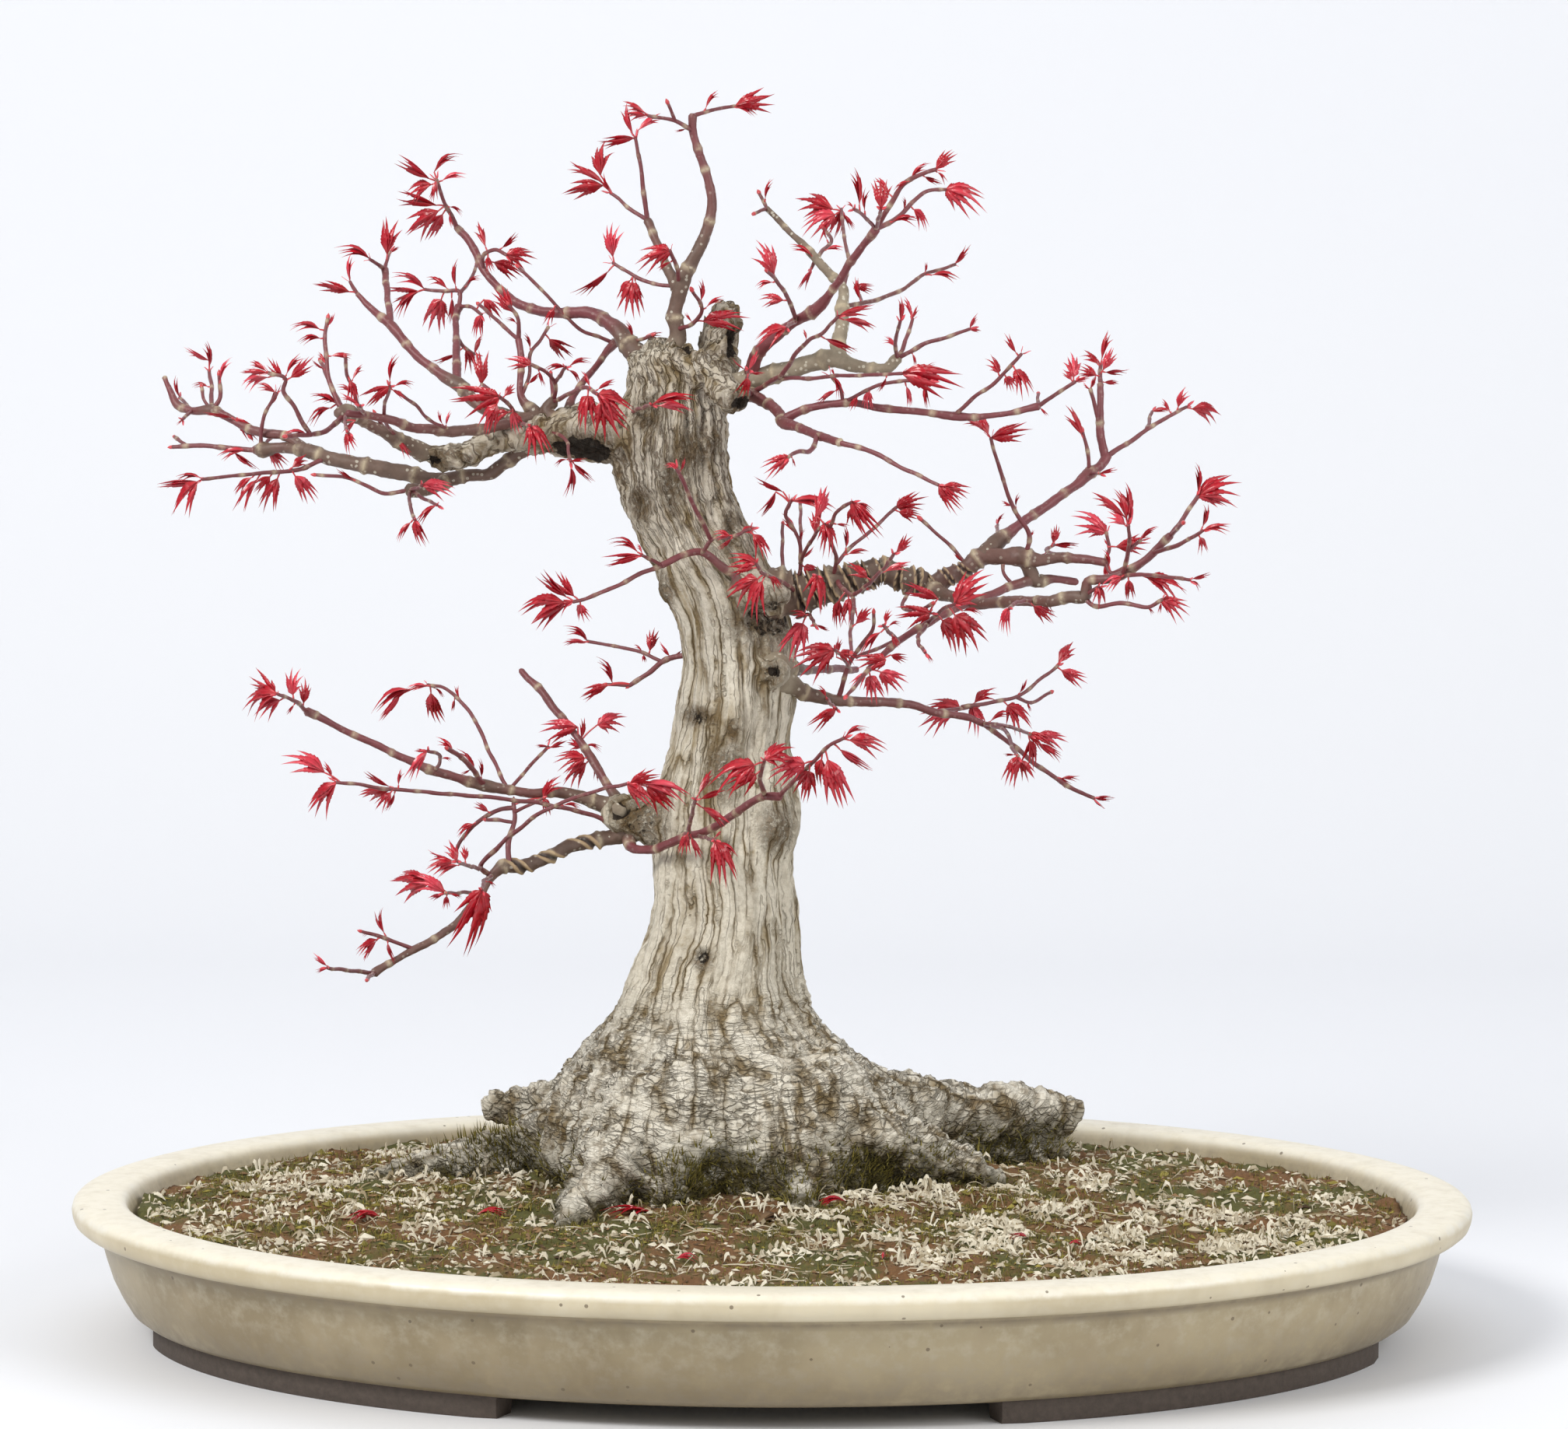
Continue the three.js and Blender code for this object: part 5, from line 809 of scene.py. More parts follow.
# %% Smooth lines and tubes
END_ROUNDING = 0.55


def smooth_line(rows, step):
    """A smooth curve through rows of numbers, the first three of them a place, about a step apart."""
    rows = np.asarray(rows, float)
    gaps = np.linalg.norm(np.diff(rows[:, :3], axis=0), axis=1)
    run = np.concatenate([[0], np.cumsum(gaps)])
    straight = np.repeat((rows[1:2] - rows[:1]) / gaps[0], 2, 0)
    slopes = np.gradient(rows, run, axis=0) if len(rows) > 2 else straight
    out = [rows[0]]
    for i, gap in enumerate(gaps):
        count = max(1, math.ceil(gap / step))
        for k in range(1, count + 1):
            t = k / count
            out.append((2 * t**3 - 3 * t**2 + 1) * rows[i] + (t**3 - 2 * t**2 + t) * gap * slopes[i]
                       + (3 * t**2 - 2 * t**3) * rows[i + 1] + (t**3 - t**2) * gap * slopes[i + 1])
    return np.array(out)


def unit(way):
    return way / np.linalg.norm(way)


def frames(centres):
    """The way along a line and two directions across it at each of its points, without a twist."""
    along = np.gradient(centres, axis=0)
    along /= np.linalg.norm(along, axis=1)[:, None]
    across = np.zeros_like(centres)
    side = np.array([0.0, 1.0, 0.0])
    for i, way in enumerate(along):
        side = side - way * side.dot(way)
        if np.linalg.norm(side) < 1e-3:
            side = np.array([1.0, 0.0, 0.1]) - way * way[0]
        side = unit(side)
        across[i] = side
    return along, across, np.cross(along, across)


def tube(centres, radii, sides, relief=None, material=0, **looks):
    """A tube with round ends. relief(turn) gives the share added to the radius."""
    along, across, up = frames(centres)
    turn = np.arange(sides) / sides * 2 * math.pi
    swell = 1 + (relief(turn) if relief else 0)
    thick = np.asarray(radii)[:, None] * np.ones(sides) * swell
    out = (np.cos(turn)[None, :, None] * across[:, None] + np.sin(turn)[None, :, None] * up[:, None])
    rings = centres[:, None] + thick[..., None] * out
    ends = []
    for end, sign in ((0, -1), (-1, 1)):
        lift = centres[end] + along[end] * sign * radii[end] * END_ROUNDING
        ends.append(lift + (rings[end] - centres[end]) * END_ROUNDING)
    rings = np.concatenate([ends[0][None], rings, ends[1][None]])
    for look, values in looks.items():
        if np.ndim(values):
            values = np.concatenate([values[:1], values, values[-1:]])
            looks[look] = values.ravel() if values.ndim == 2 else np.repeat(values, sides)
    return shell(rings.reshape(-1, 3), ring_faces(len(rings), sides), material, **looks)


def chance(*numbers):
    """A number from 0 to 1 that is always the same for the same place."""
    s = math.sin(sum(n * k for n, k in zip(numbers, (12.9898, 78.233, 37.719)))) * 43758.5453
    return s - math.floor(s)


def roughness_at(points, size, seed=0.0):
    """Smooth noise from -1 to 1 for points in millimetres, with bumps of about the given size."""
    return np.array([noise.noise(Vector((p[0] / size + seed, p[1] / size, p[2] / size))) for p in points])


print("helpers ready")

# %% [markdown]
# ## A small kit for materials
# A material is a chain of nodes. A recipe adds one node and wires its inputs in a single line, so that
# each material below reads from top to bottom: the patterns first, then the colours as coats of paint,
# each one laid over the last where its mask lets it, and then the gloss and the relief.

# %% Recipes
class Recipe:
    """The nodes of a material or of a node group, with a short name for each kind of step."""

    def __init__(self, tree):
        self.tree = tree

    def plug(self, value, socket):
        if isinstance(value, bpy.types.NodeSocket):
            self.tree.links.new(value, socket)
        else:
            socket.default_value = value

    def add(self, kind, settings=None, **inputs):
        """Adds a node. An input may be a value or another node's output."""
        node = self.tree.nodes.new(kind)
        for key, value in (settings or {}).items():
            setattr(node, key, value)
        for key, value in inputs.items():
            self.plug(value, node.inputs[int(key[1:]) if key[1:].isdigit() else key.replace("_", " ")])
        return node

    def maths(self, operation, a, b=0.0):
        return self.add("ShaderNodeMath", {"operation": operation}, i0=a, i1=b).outputs[0]

    def times(self, a, b):
        return self.maths("MULTIPLY", a, b)

    def plus(self, a, b):
        return self.maths("ADD", a, b)

    def most(self, a, b):
        return self.maths("MAXIMUM", a, b)

    def vector(self, operation, a, b):
        return self.add("ShaderNodeVectorMath", {"operation": operation}, i0=a, i1=b).outputs[0]

    def step(self, value, low, high, start=0.0, end=1.0):
        """A smooth step from start to end as the value goes from low to high."""
        return self.add("ShaderNodeMapRange", {"interpolation_type": "SMOOTHSTEP"}, Value=value,
                        From_Min=low, From_Max=high, To_Min=start, To_Max=end).outputs[0]

    def noise(self, place, scale, detail=4.0, roughness=0.5):
        return self.add("ShaderNodeTexNoise", Vector=place, Scale=scale, Detail=detail,
                        Roughness=roughness).outputs["Fac"]

    def mix(self, mask, first, second):
        sides = [c if isinstance(c, bpy.types.NodeSocket) else (*c, 1) for c in (first, second)]
        return self.add("ShaderNodeMix", {"data_type": "RGBA"}, i0=mask, i6=sides[0], i7=sides[1]).outputs[2]


class Paint(Recipe):
    """A recipe that ends in a material's own shader."""

    def __init__(self, name):
        self.material = bpy.data.materials.new(name)
        self.material.use_nodes = True
        super().__init__(self.material.node_tree)
        self.shader = self.tree.nodes["Principled BSDF"]
        self.place = self.add("ShaderNodeTexCoord").outputs["Object"]
        self.colour = None

    def number(self, name):
        """A number that the mesh carries at each point."""
        return self.add("ShaderNodeAttribute", {"attribute_name": name}).outputs["Fac"]

    def height(self):
        return self.add("ShaderNodeSeparateXYZ", Vector=self.place).outputs[2]

    def stretched(self, factors, place=None):
        """The place on the object, in metres, times a factor on each axis."""
        return self.vector("MULTIPLY", place or self.place, factors)

    def speckle(self, scale, size, share):
        return self.add("ShaderNodeGroup", {"node_tree": speckle_group}, Vector=self.place, Scale=scale,
                        Size=size, Share=share).outputs["Mask"]

    def coat(self, mask, colour):
        self.colour = self.mix(mask, self.colour, colour)

    def finish(self, roughness, relief, strength, depth):
        bump = self.add("ShaderNodeBump", Height=relief, Strength=strength, Distance=depth).outputs[0]
        for name, value in (("Base Color", self.colour), ("Roughness", roughness), ("Normal", bump)):
            self.plug(value, self.shader.inputs[name])
        return self.material


def new_group(name, inputs, output):
    """A node group's recipe, the node with its inputs and the node with its one output."""
    group = bpy.data.node_groups.new(name, "ShaderNodeTree")
    for label, kind in inputs.items():
        group.interface.new_socket(label, in_out="INPUT", socket_type=kind)
    group.interface.new_socket(output, in_out="OUTPUT", socket_type="NodeSocketFloat")
    return Recipe(group), group.nodes.new("NodeGroupInput"), group.nodes.new("NodeGroupOutput")


print("recipes ready")

# %% [markdown]
# ## Speckle, shared by wood and glaze
# Lichen dots on a twig, iron spots in a glaze and grains in the peat are the same thing at other scales:
# small round cells, of which only a few are filled. One node group makes the mask for all of them.

# %% Speckle group
def make_speckle_group():
    kinds = {"Vector": "NodeSocketVector", "Scale": "NodeSocketFloat", "Size": "NodeSocketFloat",
             "Share": "NodeSocketFloat"}
    recipe, inside, outside = new_group("speckle", kinds, "Mask")
    given = inside.outputs
    cells = recipe.add("ShaderNodeTexVoronoi", Vector=given["Vector"], Scale=given["Scale"])
    near = recipe.maths("LESS_THAN", cells.outputs["Distance"], given["Size"])
    tint = recipe.add("ShaderNodeSeparateColor", Color=cells.outputs["Color"]).outputs[0]
    recipe.plug(recipe.times(near, recipe.maths("LESS_THAN", tint, given["Share"])), outside.inputs["Mask"])
    return recipe.tree


speckle_group = make_speckle_group()
print("node groups:", [g.name for g in bpy.data.node_groups])

# %% [markdown]
# ## Glaze
# The tray has a matt cream glaze, weathered by years outside. It is a little yellower in broad clouds, and
# has fine dark pits and thin run marks on the wall. Painted light makes the rim lighter than the wall and its
# flat top nearly white, with a painted highlight, partly wear in the glaze, along the edges of the rim.
# Painted shade darkens the wall under the lip and inside the rim, and towards the bottom grime and a painted
# reflection darken it.

# %% Glaze material
def make_glaze():
    m = Paint("cream_glaze")
    clouds = m.step(m.noise(m.place, 14, 5, 0.6), 0.35, 0.68)
    # Painted light: the wall under the rim is painted darker than the rim, and the flat top of the rim, which
    # faces the light, nearly white.
    wall = m.mix(clouds, (0.27, 0.21, 0.115), (0.42, 0.345, 0.21))
    rim = m.mix(clouds, (0.5, 0.42, 0.27), (0.66, 0.58, 0.41))
    rim = m.mix(m.step(m.height(), 0.0515, 0.0548), rim, (0.84, 0.78, 0.63))
    top = m.step(m.height(), 0.0425, 0.0475)
    m.colour = m.mix(top, wall, rim)
    mottle = m.noise(m.place, 160, 4, 0.65)
    m.coat(m.step(mottle, 0.4, 0.75, 0, 0.35), (0.63, 0.57, 0.44))
    runs = m.noise(m.stretched((40, 40, 4)), 1.6, 3, 0.6)
    m.coat(m.times(m.step(runs, 0.5, 0.7, 0, 0.4), m.step(top, 0, 1, 1, 0.35)), (0.4, 0.32, 0.2))
    # Along the edges of the rim: partly wear in the glaze, partly a painted highlight.
    wear_and_highlight = m.times(m.number("ring"), m.step(m.noise(m.place, 70, 6, 0.7), 0.42, 0.6))
    m.coat(wear_and_highlight, (0.8, 0.77, 0.68))
    pits = m.speckle(210, 0.16, 0.09)
    m.coat(m.times(pits, 0.75), (0.13, 0.09, 0.05))
    # Painted shade and grime: the tray's dark number darkens the glaze under the lip, on the inner wall and
    # towards the bottom.
    shade_and_grime = m.times(m.number("dark"), m.step(mottle, 0.3, 0.7, 0.4, 1))
    m.coat(shade_and_grime, (0.15, 0.11, 0.062))
    relief = m.plus(m.times(mottle, 0.5), m.times(pits, -0.8))
    return m.finish(m.step(mottle, 0.3, 0.8, 0.32, 0.5), relief, 0.25, 0.0008)


# The unglazed feet are painted nearly black: the clay's own brown, darkened with painted shade.
def make_clay_and_painted_shade():
    m = Paint("clay_and_painted_shade")
    grain = m.noise(m.place, 300, 5, 0.7)
    m.colour = m.mix(grain, (0.042, 0.032, 0.026), (0.13, 0.1, 0.08))
    return m.finish(0.85, grain, 0.5, 0.0006)


glaze, clay_and_painted_shade = make_glaze(), make_clay_and_painted_shade()
print("made:", glaze.name, clay_and_painted_shade.name)

# %% [markdown]
# ## The marks of its history
# Hollows stand where limbs died or were cut, with a swollen lip of wood round them. Burls are the other
# way round, so their depth is less than nothing. Each mark has its place as seen from the front, its half
# width and half height, its depth, and how much painted shade darkens it inside. A node group stains the
# wood round one mark brown and rings it, so that a knot stays crisp where the skin is too coarse for it.

# %% Marks and their rings
MARKS = [
    (-51, 366, 5, 6, 2.2, 0.35), (-42, 338, 4, 10, 1.2, 0.1), (-79, 350, 15, 8, 2.4, 0.85),
    (-1, 283, 14, 9, 2.6, 0.5), (-1, 262, 4.5, 5, 3.4, 0.9), (-31, 243, 5.5, 3.4, 1.6, 0.5),
    (-17, 237, 2.6, 4, 0.8, 0.3), (-29, 145, 3.2, 3.6, 1.6, 0.6), (-63, 205, 4.5, 5, 5, 1.0),
    (-139, 346, 5, 4, 3.2, 0.9), (-17, 396, 3.4, 9, 3.6, 0.9), (-37, 395, 4, 4, 1.2, 0.9),
    (-13, 370, 6.5, 5, 2.5, 1.0), (-34, 351, 7, 6.5, -1.8, 0), (-27, 354, 3.4, 3.4, -2.4, 0),
    (1, 198, 6, 8, -2.8, 0), (-46, 292, 4, 7, -1.8, 0), (-20, 222, 6, 10, -1.8, 0),
    (-18, 318, 3, 7, 1.4, 0.15), (-20, 190, 2.6, 3, 1.2, 0.5), (-55, 201, 9, 11, 1.4, 0.42),
    (-55, 330, 4, 6, 1.4, 0.3),
]
TRUNK_FRONT = 16


def make_knot_group():
    kinds = dict.fromkeys(("Place", "Centre", "Scale"), "NodeSocketVector")
    recipe, inside, outside = new_group("knot_rings", kinds, "Rings")
    place = inside.outputs["Place"]
    local = recipe.vector("SUBTRACT", place, inside.outputs["Centre"])
    local = recipe.vector("MULTIPLY", local, inside.outputs["Scale"])
    away = recipe.add("ShaderNodeVectorMath", {"operation": "LENGTH"}, i0=local).outputs["Value"]
    away = recipe.plus(away, recipe.times(recipe.noise(place, 230, 4, 0.65), 1.3))
    wave = recipe.maths("SINE", recipe.times(away, 9.0))
    rings = recipe.times(recipe.step(wave, 0.3, 1.0, 0, 0.5), recipe.step(away, 1.5, 2.2, 1, 0))
    stain = recipe.times(recipe.step(away, 1.1, 2.7, 1, 0),
                         recipe.step(recipe.noise(place, 480, 4, 0.7), 0.36, 0.56, 0.15, 0.9))
    recipe.plug(recipe.most(rings, stain), outside.inputs["Rings"])
    return recipe.tree


knot_group = make_knot_group()
print("marks on the trunk:", len(MARKS))

# %% [markdown]
# ## Bark
# The old bark is cream to grey, with long wavy lines of olive brown that run with the grain. Where a crack is
# deep it is nearly black, partly its own colour and partly painted shade. The mesh carries the grain: the way
# round the trunk and the way down and out along the roots. The lines are where a slow noise, drawn out along
# that grain, passes through its middle. In the crown the bark is browner and flaky. Near the soil it is damp,
# with green moss and dark stains that are partly painted shade. Painted shade makes the hollows and the
# creases nearly black, and painted light makes the low flare paler.

# %% Bark material
def line_along(m, grain, factors, width, detail=1.5):
    """One on a thin wavy line, 0 away from it."""
    wave = m.noise(m.stretched(factors, grain), 1, detail, 0.5)
    return m.step(m.maths("ABSOLUTE", m.maths("SUBTRACT", wave, 0.5)), 0.0, width, 1, 0)


def shaken(m, grain, size, reach):
    """The grain, pushed aside a little by a noise so that lines along it waver."""
    sway = m.add("ShaderNodeCombineXYZ")
    for k in (0, 1):
        push = m.noise(m.stretched((1, 1, 0.8 + k)), size, 3, 0.6)
        m.plug(m.times(push, reach), sway.inputs[k])
    return m.vector("ADD", grain, sway.outputs[0])


def all_rings(m):
    far = (EYE[1] - TRUNK_FRONT) / (EYE[1] - TRUNK_DEPTH)
    total = None
    for x, z, wide, tall, *_ in MARKS:
        node = m.add("ShaderNodeGroup", {"node_tree": knot_group}, Place=m.place,
                     Centre=[(EYE[0] + (x - EYE[0]) * far) * MM, 0, (EYE[2] + (z - EYE[2]) * far) * MM],
                     Scale=[1 / (wide * MM), 0, 1 / (tall * MM)])
        total = m.most(total, node.outputs["Rings"]) if total else node.outputs["Rings"]
    return total


def bark_lines(m):
    """Each pattern of the bark, by its name."""
    grain = m.add("ShaderNodeAttribute", {"attribute_name": "grain"}).outputs["Vector"]
    patchy = m.noise(m.place, 60, 3, 0.6)
    wavy = shaken(m, grain, 100, 0.0034)
    low = m.step(m.height(), 0.1, 0.15)
    thin = m.times(line_along(m, wavy, (270, 270, 16), 0.032), 0.6)
    strands = m.most(line_along(m, wavy, (150, 150, 8), 0.032), thin)
    plating = shaken(m, m.stretched((0.8, 0.8, 1.9)), 90, 0.009)
    cells = m.add("ShaderNodeTexVoronoi", {"feature": "DISTANCE_TO_EDGE"}, Vector=plating, Scale=170.0)
    crinkle = m.step(cells.outputs["Distance"], 0.0, 0.1, 1, 0)
    cracks = m.most(line_along(m, wavy, (70, 70, 280), 0.024, 3), crinkle)
    cracks = m.times(cracks, m.maths("SUBTRACT", 1.0, low))
    return {
        "patchy": patchy,
        "low": low,
        "strands": m.times(strands, m.step(patchy, 0.32, 0.55, 0.25, 1)),
        "stain": m.times(line_along(m, wavy, (150, 150, 8), 0.13), m.step(patchy, 0.36, 0.66, 0.15, 0.9)),
        "cracks": m.times(cracks, m.step(patchy, 0.36, 0.58, 0.25, 1)),
        "flaky": m.times(line_along(m, wavy, (300, 300, 45), 0.05, 3),
                         m.step(m.height(), 0.28, 0.34, 0, 0.75)),
        "scales": m.step(m.noise(m.stretched((1, 1, 0.55), wavy), 620, 4, 0.7), 0.42, 0.6, 0, 0.3),
        "rings": m.times(all_rings(m), m.number("along")),
    }


def make_bark():
    m = Paint("old_bark")
    has = bark_lines(m)
    fine = m.noise(m.place, 420, 4, 0.75)
    scar, height = m.number("scar"), m.height()
    m.colour = m.mix(m.noise(m.stretched((1, 1, 0.5)), 150, 6, 0.7), (0.38, 0.31, 0.2), (0.93, 0.86, 0.69))
    m.coat(m.step(m.noise(m.stretched((1, 1, 0.35)), 34, 4, 0.6), 0.46, 0.66, 0, 0.5), (0.38, 0.33, 0.25))
    crown = m.times(m.step(height, 0.265, 0.33), m.step(has["patchy"], 0.3, 0.62, 0.5, 1))
    m.coat(m.times(crown, 0.8), m.mix(fine, (0.14, 0.085, 0.045), (0.45, 0.33, 0.21)))
    # Painted light: the low flare is painted paler, as if lit from the front.
    pale = m.times(m.step(height, 0.11, 0.14, 0.95, 0), m.step(has["patchy"], 0.35, 0.6, 1, 0.5))
    m.coat(pale, (0.93, 0.87, 0.73))
    m.coat(0.45, (0.84, 0.8, 0.7))
    m.coat(has["scales"], (0.3, 0.25, 0.17))
    m.coat(has["stain"], (0.27, 0.19, 0.08))
    m.coat(m.times(has["strands"], m.step(has["low"], 0, 1, 0.6, 0.7)), (0.15, 0.097, 0.036))
    m.coat(m.times(has["cracks"], 0.5), (0.12, 0.08, 0.04))
    m.coat(has["flaky"], (0.1, 0.06, 0.03))
    m.coat(m.step(scar, 0.4, 0.8, 0, 0.5), (0.22, 0.15, 0.075))
    # Nearly black in the deepest cracks: partly the bark's own colour, partly painted shade.
    m.coat(m.step(scar, 0.75, 1.0, 0, 0.75), (0.06, 0.04, 0.02))
    m.coat(m.times(has["rings"], 0.9), (0.13, 0.082, 0.037))
    # Near the soil and in the mossy hollows: partly moss, partly painted shade where the bark meets the
    # ground.
    moss = m.times(m.number("damp"), m.step(m.noise(m.place, 130, 4, 0.65), 0.32, 0.5))
    m.coat(moss, m.mix(fine, (0.022, 0.017, 0.007), (0.12, 0.095, 0.033)))
    # Painted shade: the insides of the hollows and the creases near the soil are painted nearly black.
    dark = m.plus(m.number("dark"), m.times(m.maths("SUBTRACT", fine, 0.5), 1.3))
    m.coat(m.step(dark, 0.44, 0.6, 0, 0.92), (0.018, 0.012, 0.008))
    relief = m.plus(m.times(has["strands"], -0.8), m.times(has["cracks"], -1.0))
    relief = m.plus(relief, m.times(m.plus(has["rings"], has["flaky"]), -0.8))
    m.shader.inputs["Specular IOR Level"].default_value = 0.25
    return m.finish(m.step(fine, 0.2, 0.8, 0.74, 0.94), m.plus(relief, m.times(fine, 0.7)), 0.95, 0.0014)


bark = make_bark()
print("bark nodes:", len(bark.node_tree.nodes))

# %% [markdown]
# ## Young wood
# A maple twig is wine red in its first year, turns mauve brown, and in time greys to the colour of the
# trunk. The mesh carries that age. Pale corky collars sit at the joints, dots of lichen on the old wood,
# and the training wire has left tan and dark bands where it bit.

# %% Twig and leaf materials
def make_twig_wood():
    m = Paint("twig_wood")
    age, scar = m.number("age"), m.number("scar")
    cloud = m.noise(m.place, 220, 4, 0.6)
    m.colour = m.mix(cloud, (0.13, 0.024, 0.03), (0.25, 0.07, 0.075))
    m.coat(m.step(age, 0.1, 0.42), m.mix(cloud, (0.07, 0.038, 0.026), (0.21, 0.13, 0.095)))
    m.coat(m.step(age, 0.5, 0.95), m.mix(cloud, (0.15, 0.11, 0.07), (0.44, 0.38, 0.28)))
    m.coat(m.times(m.speckle(520, 0.34, 0.3), m.step(age, 0.15, 0.6, 0.1, 0.6)), (0.68, 0.64, 0.52))
    m.coat(m.times(m.number("ring"), m.step(cloud, 0.36, 0.6, 0.15, 0.9)), (0.52, 0.43, 0.29))
    m.coat(m.step(scar, 0.15, 0.5, 0, 0.8), (0.5, 0.36, 0.2))
    m.coat(m.step(scar, 0.6, 1.0, 0, 0.85), (0.09, 0.05, 0.03))
    m.coat(m.number("dark"), (0.02, 0.014, 0.01))
    relief = m.plus(m.noise(m.place, 700, 3, 0.6), cloud)
    return m.finish(m.step(age, 0.2, 0.9, 0.45, 0.8), relief, 0.4, 0.0005)


def make_leaf():
    m = Paint("crimson_leaf")
    cloud = m.noise(m.place, 260, 3, 0.6)
    m.colour = m.mix(cloud, (0.3, 0.002, 0.009), (0.64, 0.004, 0.022))
    m.coat(m.step(m.number("tone"), 0.55, 1.0), m.mix(cloud, (0.7, 0.015, 0.045), (0.95, 0.12, 0.17)))
    m.coat(m.step(m.number("along"), 0.0, 0.32, 0.45, 0), (0.75, 0.13, 0.13))
    m.coat(m.times(m.number("ring"), 0.3), (0.8, 0.1, 0.11))
    for name, value in (("Subsurface Weight", 0.12), ("Subsurface Radius", (0.004, 0.0008, 0.0008)),
                        ("Coat Weight", 0.35), ("Coat Roughness", 0.22)):
        m.shader.inputs[name].default_value = value
    return m.finish(0.3, m.noise(m.place, 900, 3, 0.6), 0.3, 0.0004)


twig_wood, leaf_red = make_twig_wood(), make_leaf()
print("made:", twig_wood.name, leaf_red.name)

# %% [markdown]
# ## The tray
# The tray is a shallow oval bowl, thick in the wall, with a rolled rim that stands out over the body. A
# potter presses it in a mould and turns the rim by hand, so it is smooth but never quite even. Here its
# section is swept round the oval in fine steps, and a slow ripple of a third of a millimetre takes away
# the perfect edge. The feet are thin, cut away between the corners, and left without glaze.

# %% Tray
RIM_LONG, RIM_SHORT = 280, 211
WALL = [(46, 7), (31, 8), (26.5, 9.4), (23, 12), (19.4, 18), (16, 25), (13.4, 33), (11.6, 40), (10.8, 42.6),
        (9.6, 44.2), (6.4, 44.9), (3, 45.6), (1.1, 47.2), (0.3, 49.4), (0, 51.6), (0.5, 53.8), (1.8, 55.2),
        (4, 55.8), (8, 56), (14, 55.9), (18.5, 55.6), (20.6, 54.8), (21.9, 53.2), (23, 50.4), (28, 37),
        (34, 21), (50, 15)]
TRAY_AROUND = 240
# from and to, in degrees round the oval
FEET = [(192, 246), (290, 342), (18, 68), (112, 166)]
FOOT_STEPS = 26
FOOT_INSET, FOOT_WIDTH, FOOT_TOP = 29, 15, 10


def on_oval(inset, turn, z):
    return (RIM_LONG - inset) * math.cos(turn), (RIM_SHORT - inset) * math.sin(turn), z


def make_tray():
    verts, wear_and_highlight, painted_shade_and_grime = [], [], []
    for inset, z in WALL:
        for j in range(TRAY_AROUND):
            turn = j / TRAY_AROUND * 2 * math.pi
            ripple = 0.3 * noise.noise(Vector((math.cos(turn) * 3, math.sin(turn) * 3, z / 30)))
            verts.append(on_oval(inset + 0.3 + ripple, turn, min(z + ripple * 0.6, 56)))
            # The edges of the rim are marked for wear in the glaze and for a painted highlight.
            edge = max(0, 1 - abs(inset - 1.0) / 1.3) if z > 52 else 0
            wear_and_highlight.append(max(edge, 0.55 * max(0, 1 - abs(inset - 21) / 1.4) if z > 52 else 0))
            # Painted shade under the lip and on the inner wall above the soil, partly grime as well; towards
            # the bottom a darkening that is partly grime and partly a painted reflection of a dark surface
            # below.
            under_lip = max(0, 1 - abs(z - 43) / 2.6) if inset > 6 and z < 46 else 0
            inner = 0.5 * min(1, max(0, (54 - z) / 4)) if inset > 21.5 and z > 20 else 0
            low = 0.75 * min(max(1 - (z - 9) / 28, 0), 1) if inset > 9 and z < 40 else 0
            painted_shade_and_grime.append(max(0.9 * under_lip, inner, low))
    body = shell(verts, ring_faces(len(WALL), TRAY_AROUND), 0, ring=wear_and_highlight, dark=painted_shade_and_grime)
    feet = []
    for start, end in FEET:
        rings = []
        for i in range(FOOT_STEPS + 1):
            turn = math.radians(start + (end - start) * i / FOOT_STEPS)
            pinch = 1.2 if i in (0, FOOT_STEPS) else 0
            section = [(0.8 + pinch, 0), (pinch, 1.2), (pinch, FOOT_TOP), (FOOT_WIDTH, FOOT_TOP),
                       (FOOT_WIDTH - pinch, 1.2), (FOOT_WIDTH - 0.8 - pinch, 0)]
            rings += [on_oval(FOOT_INSET + across, turn, z) for across, z in reversed(section)]
        feet.append(shell(rings, ring_faces(FOOT_STEPS + 1, 6), 1))
    piece = make_piece("oval_tray", [body] + feet, [glaze, clay_and_painted_shade], ["tray"])
    piece.data.set_sharp_from_angle(angle=math.radians(50))
    return piece


tray = make_tray()
print("tray triangles:", triangles(tray))

# %% [markdown]
# ## The ground
# The soil is old: peat and grit under a felt of moss, dry cream strands of sphagnum, crumbs and needles.
# A picture of it on a flat sheet would look flat at the rim and round the roots. So the ground is a fine
# relief first, and thousands of small strands, tufts and crumbs are then strewn on it by seeded rules.

# %% Height of the ground
SOIL_EDGE = 26.0
# size of the lumps and how tall they are
LUMPS = ((34, 1.6), (13, 2.3), (6, 2.0), (2.8, 1.0))


def ground(x, y):
    mound = 13 * np.exp(-(((x + 18) / 130) ** 2) - ((y - 40) / 100) ** 2)
    return 48.5 - y * 0.008 + mound + 1.2 * np.sin(x * 0.09) * np.cos(y * 0.11)


def relief(x, y):
    """Lumps of the ground above its smooth height, at a few sizes."""
    return sum(tall * noise.noise(Vector((x / size, y / size, size))) for size, tall in LUMPS)


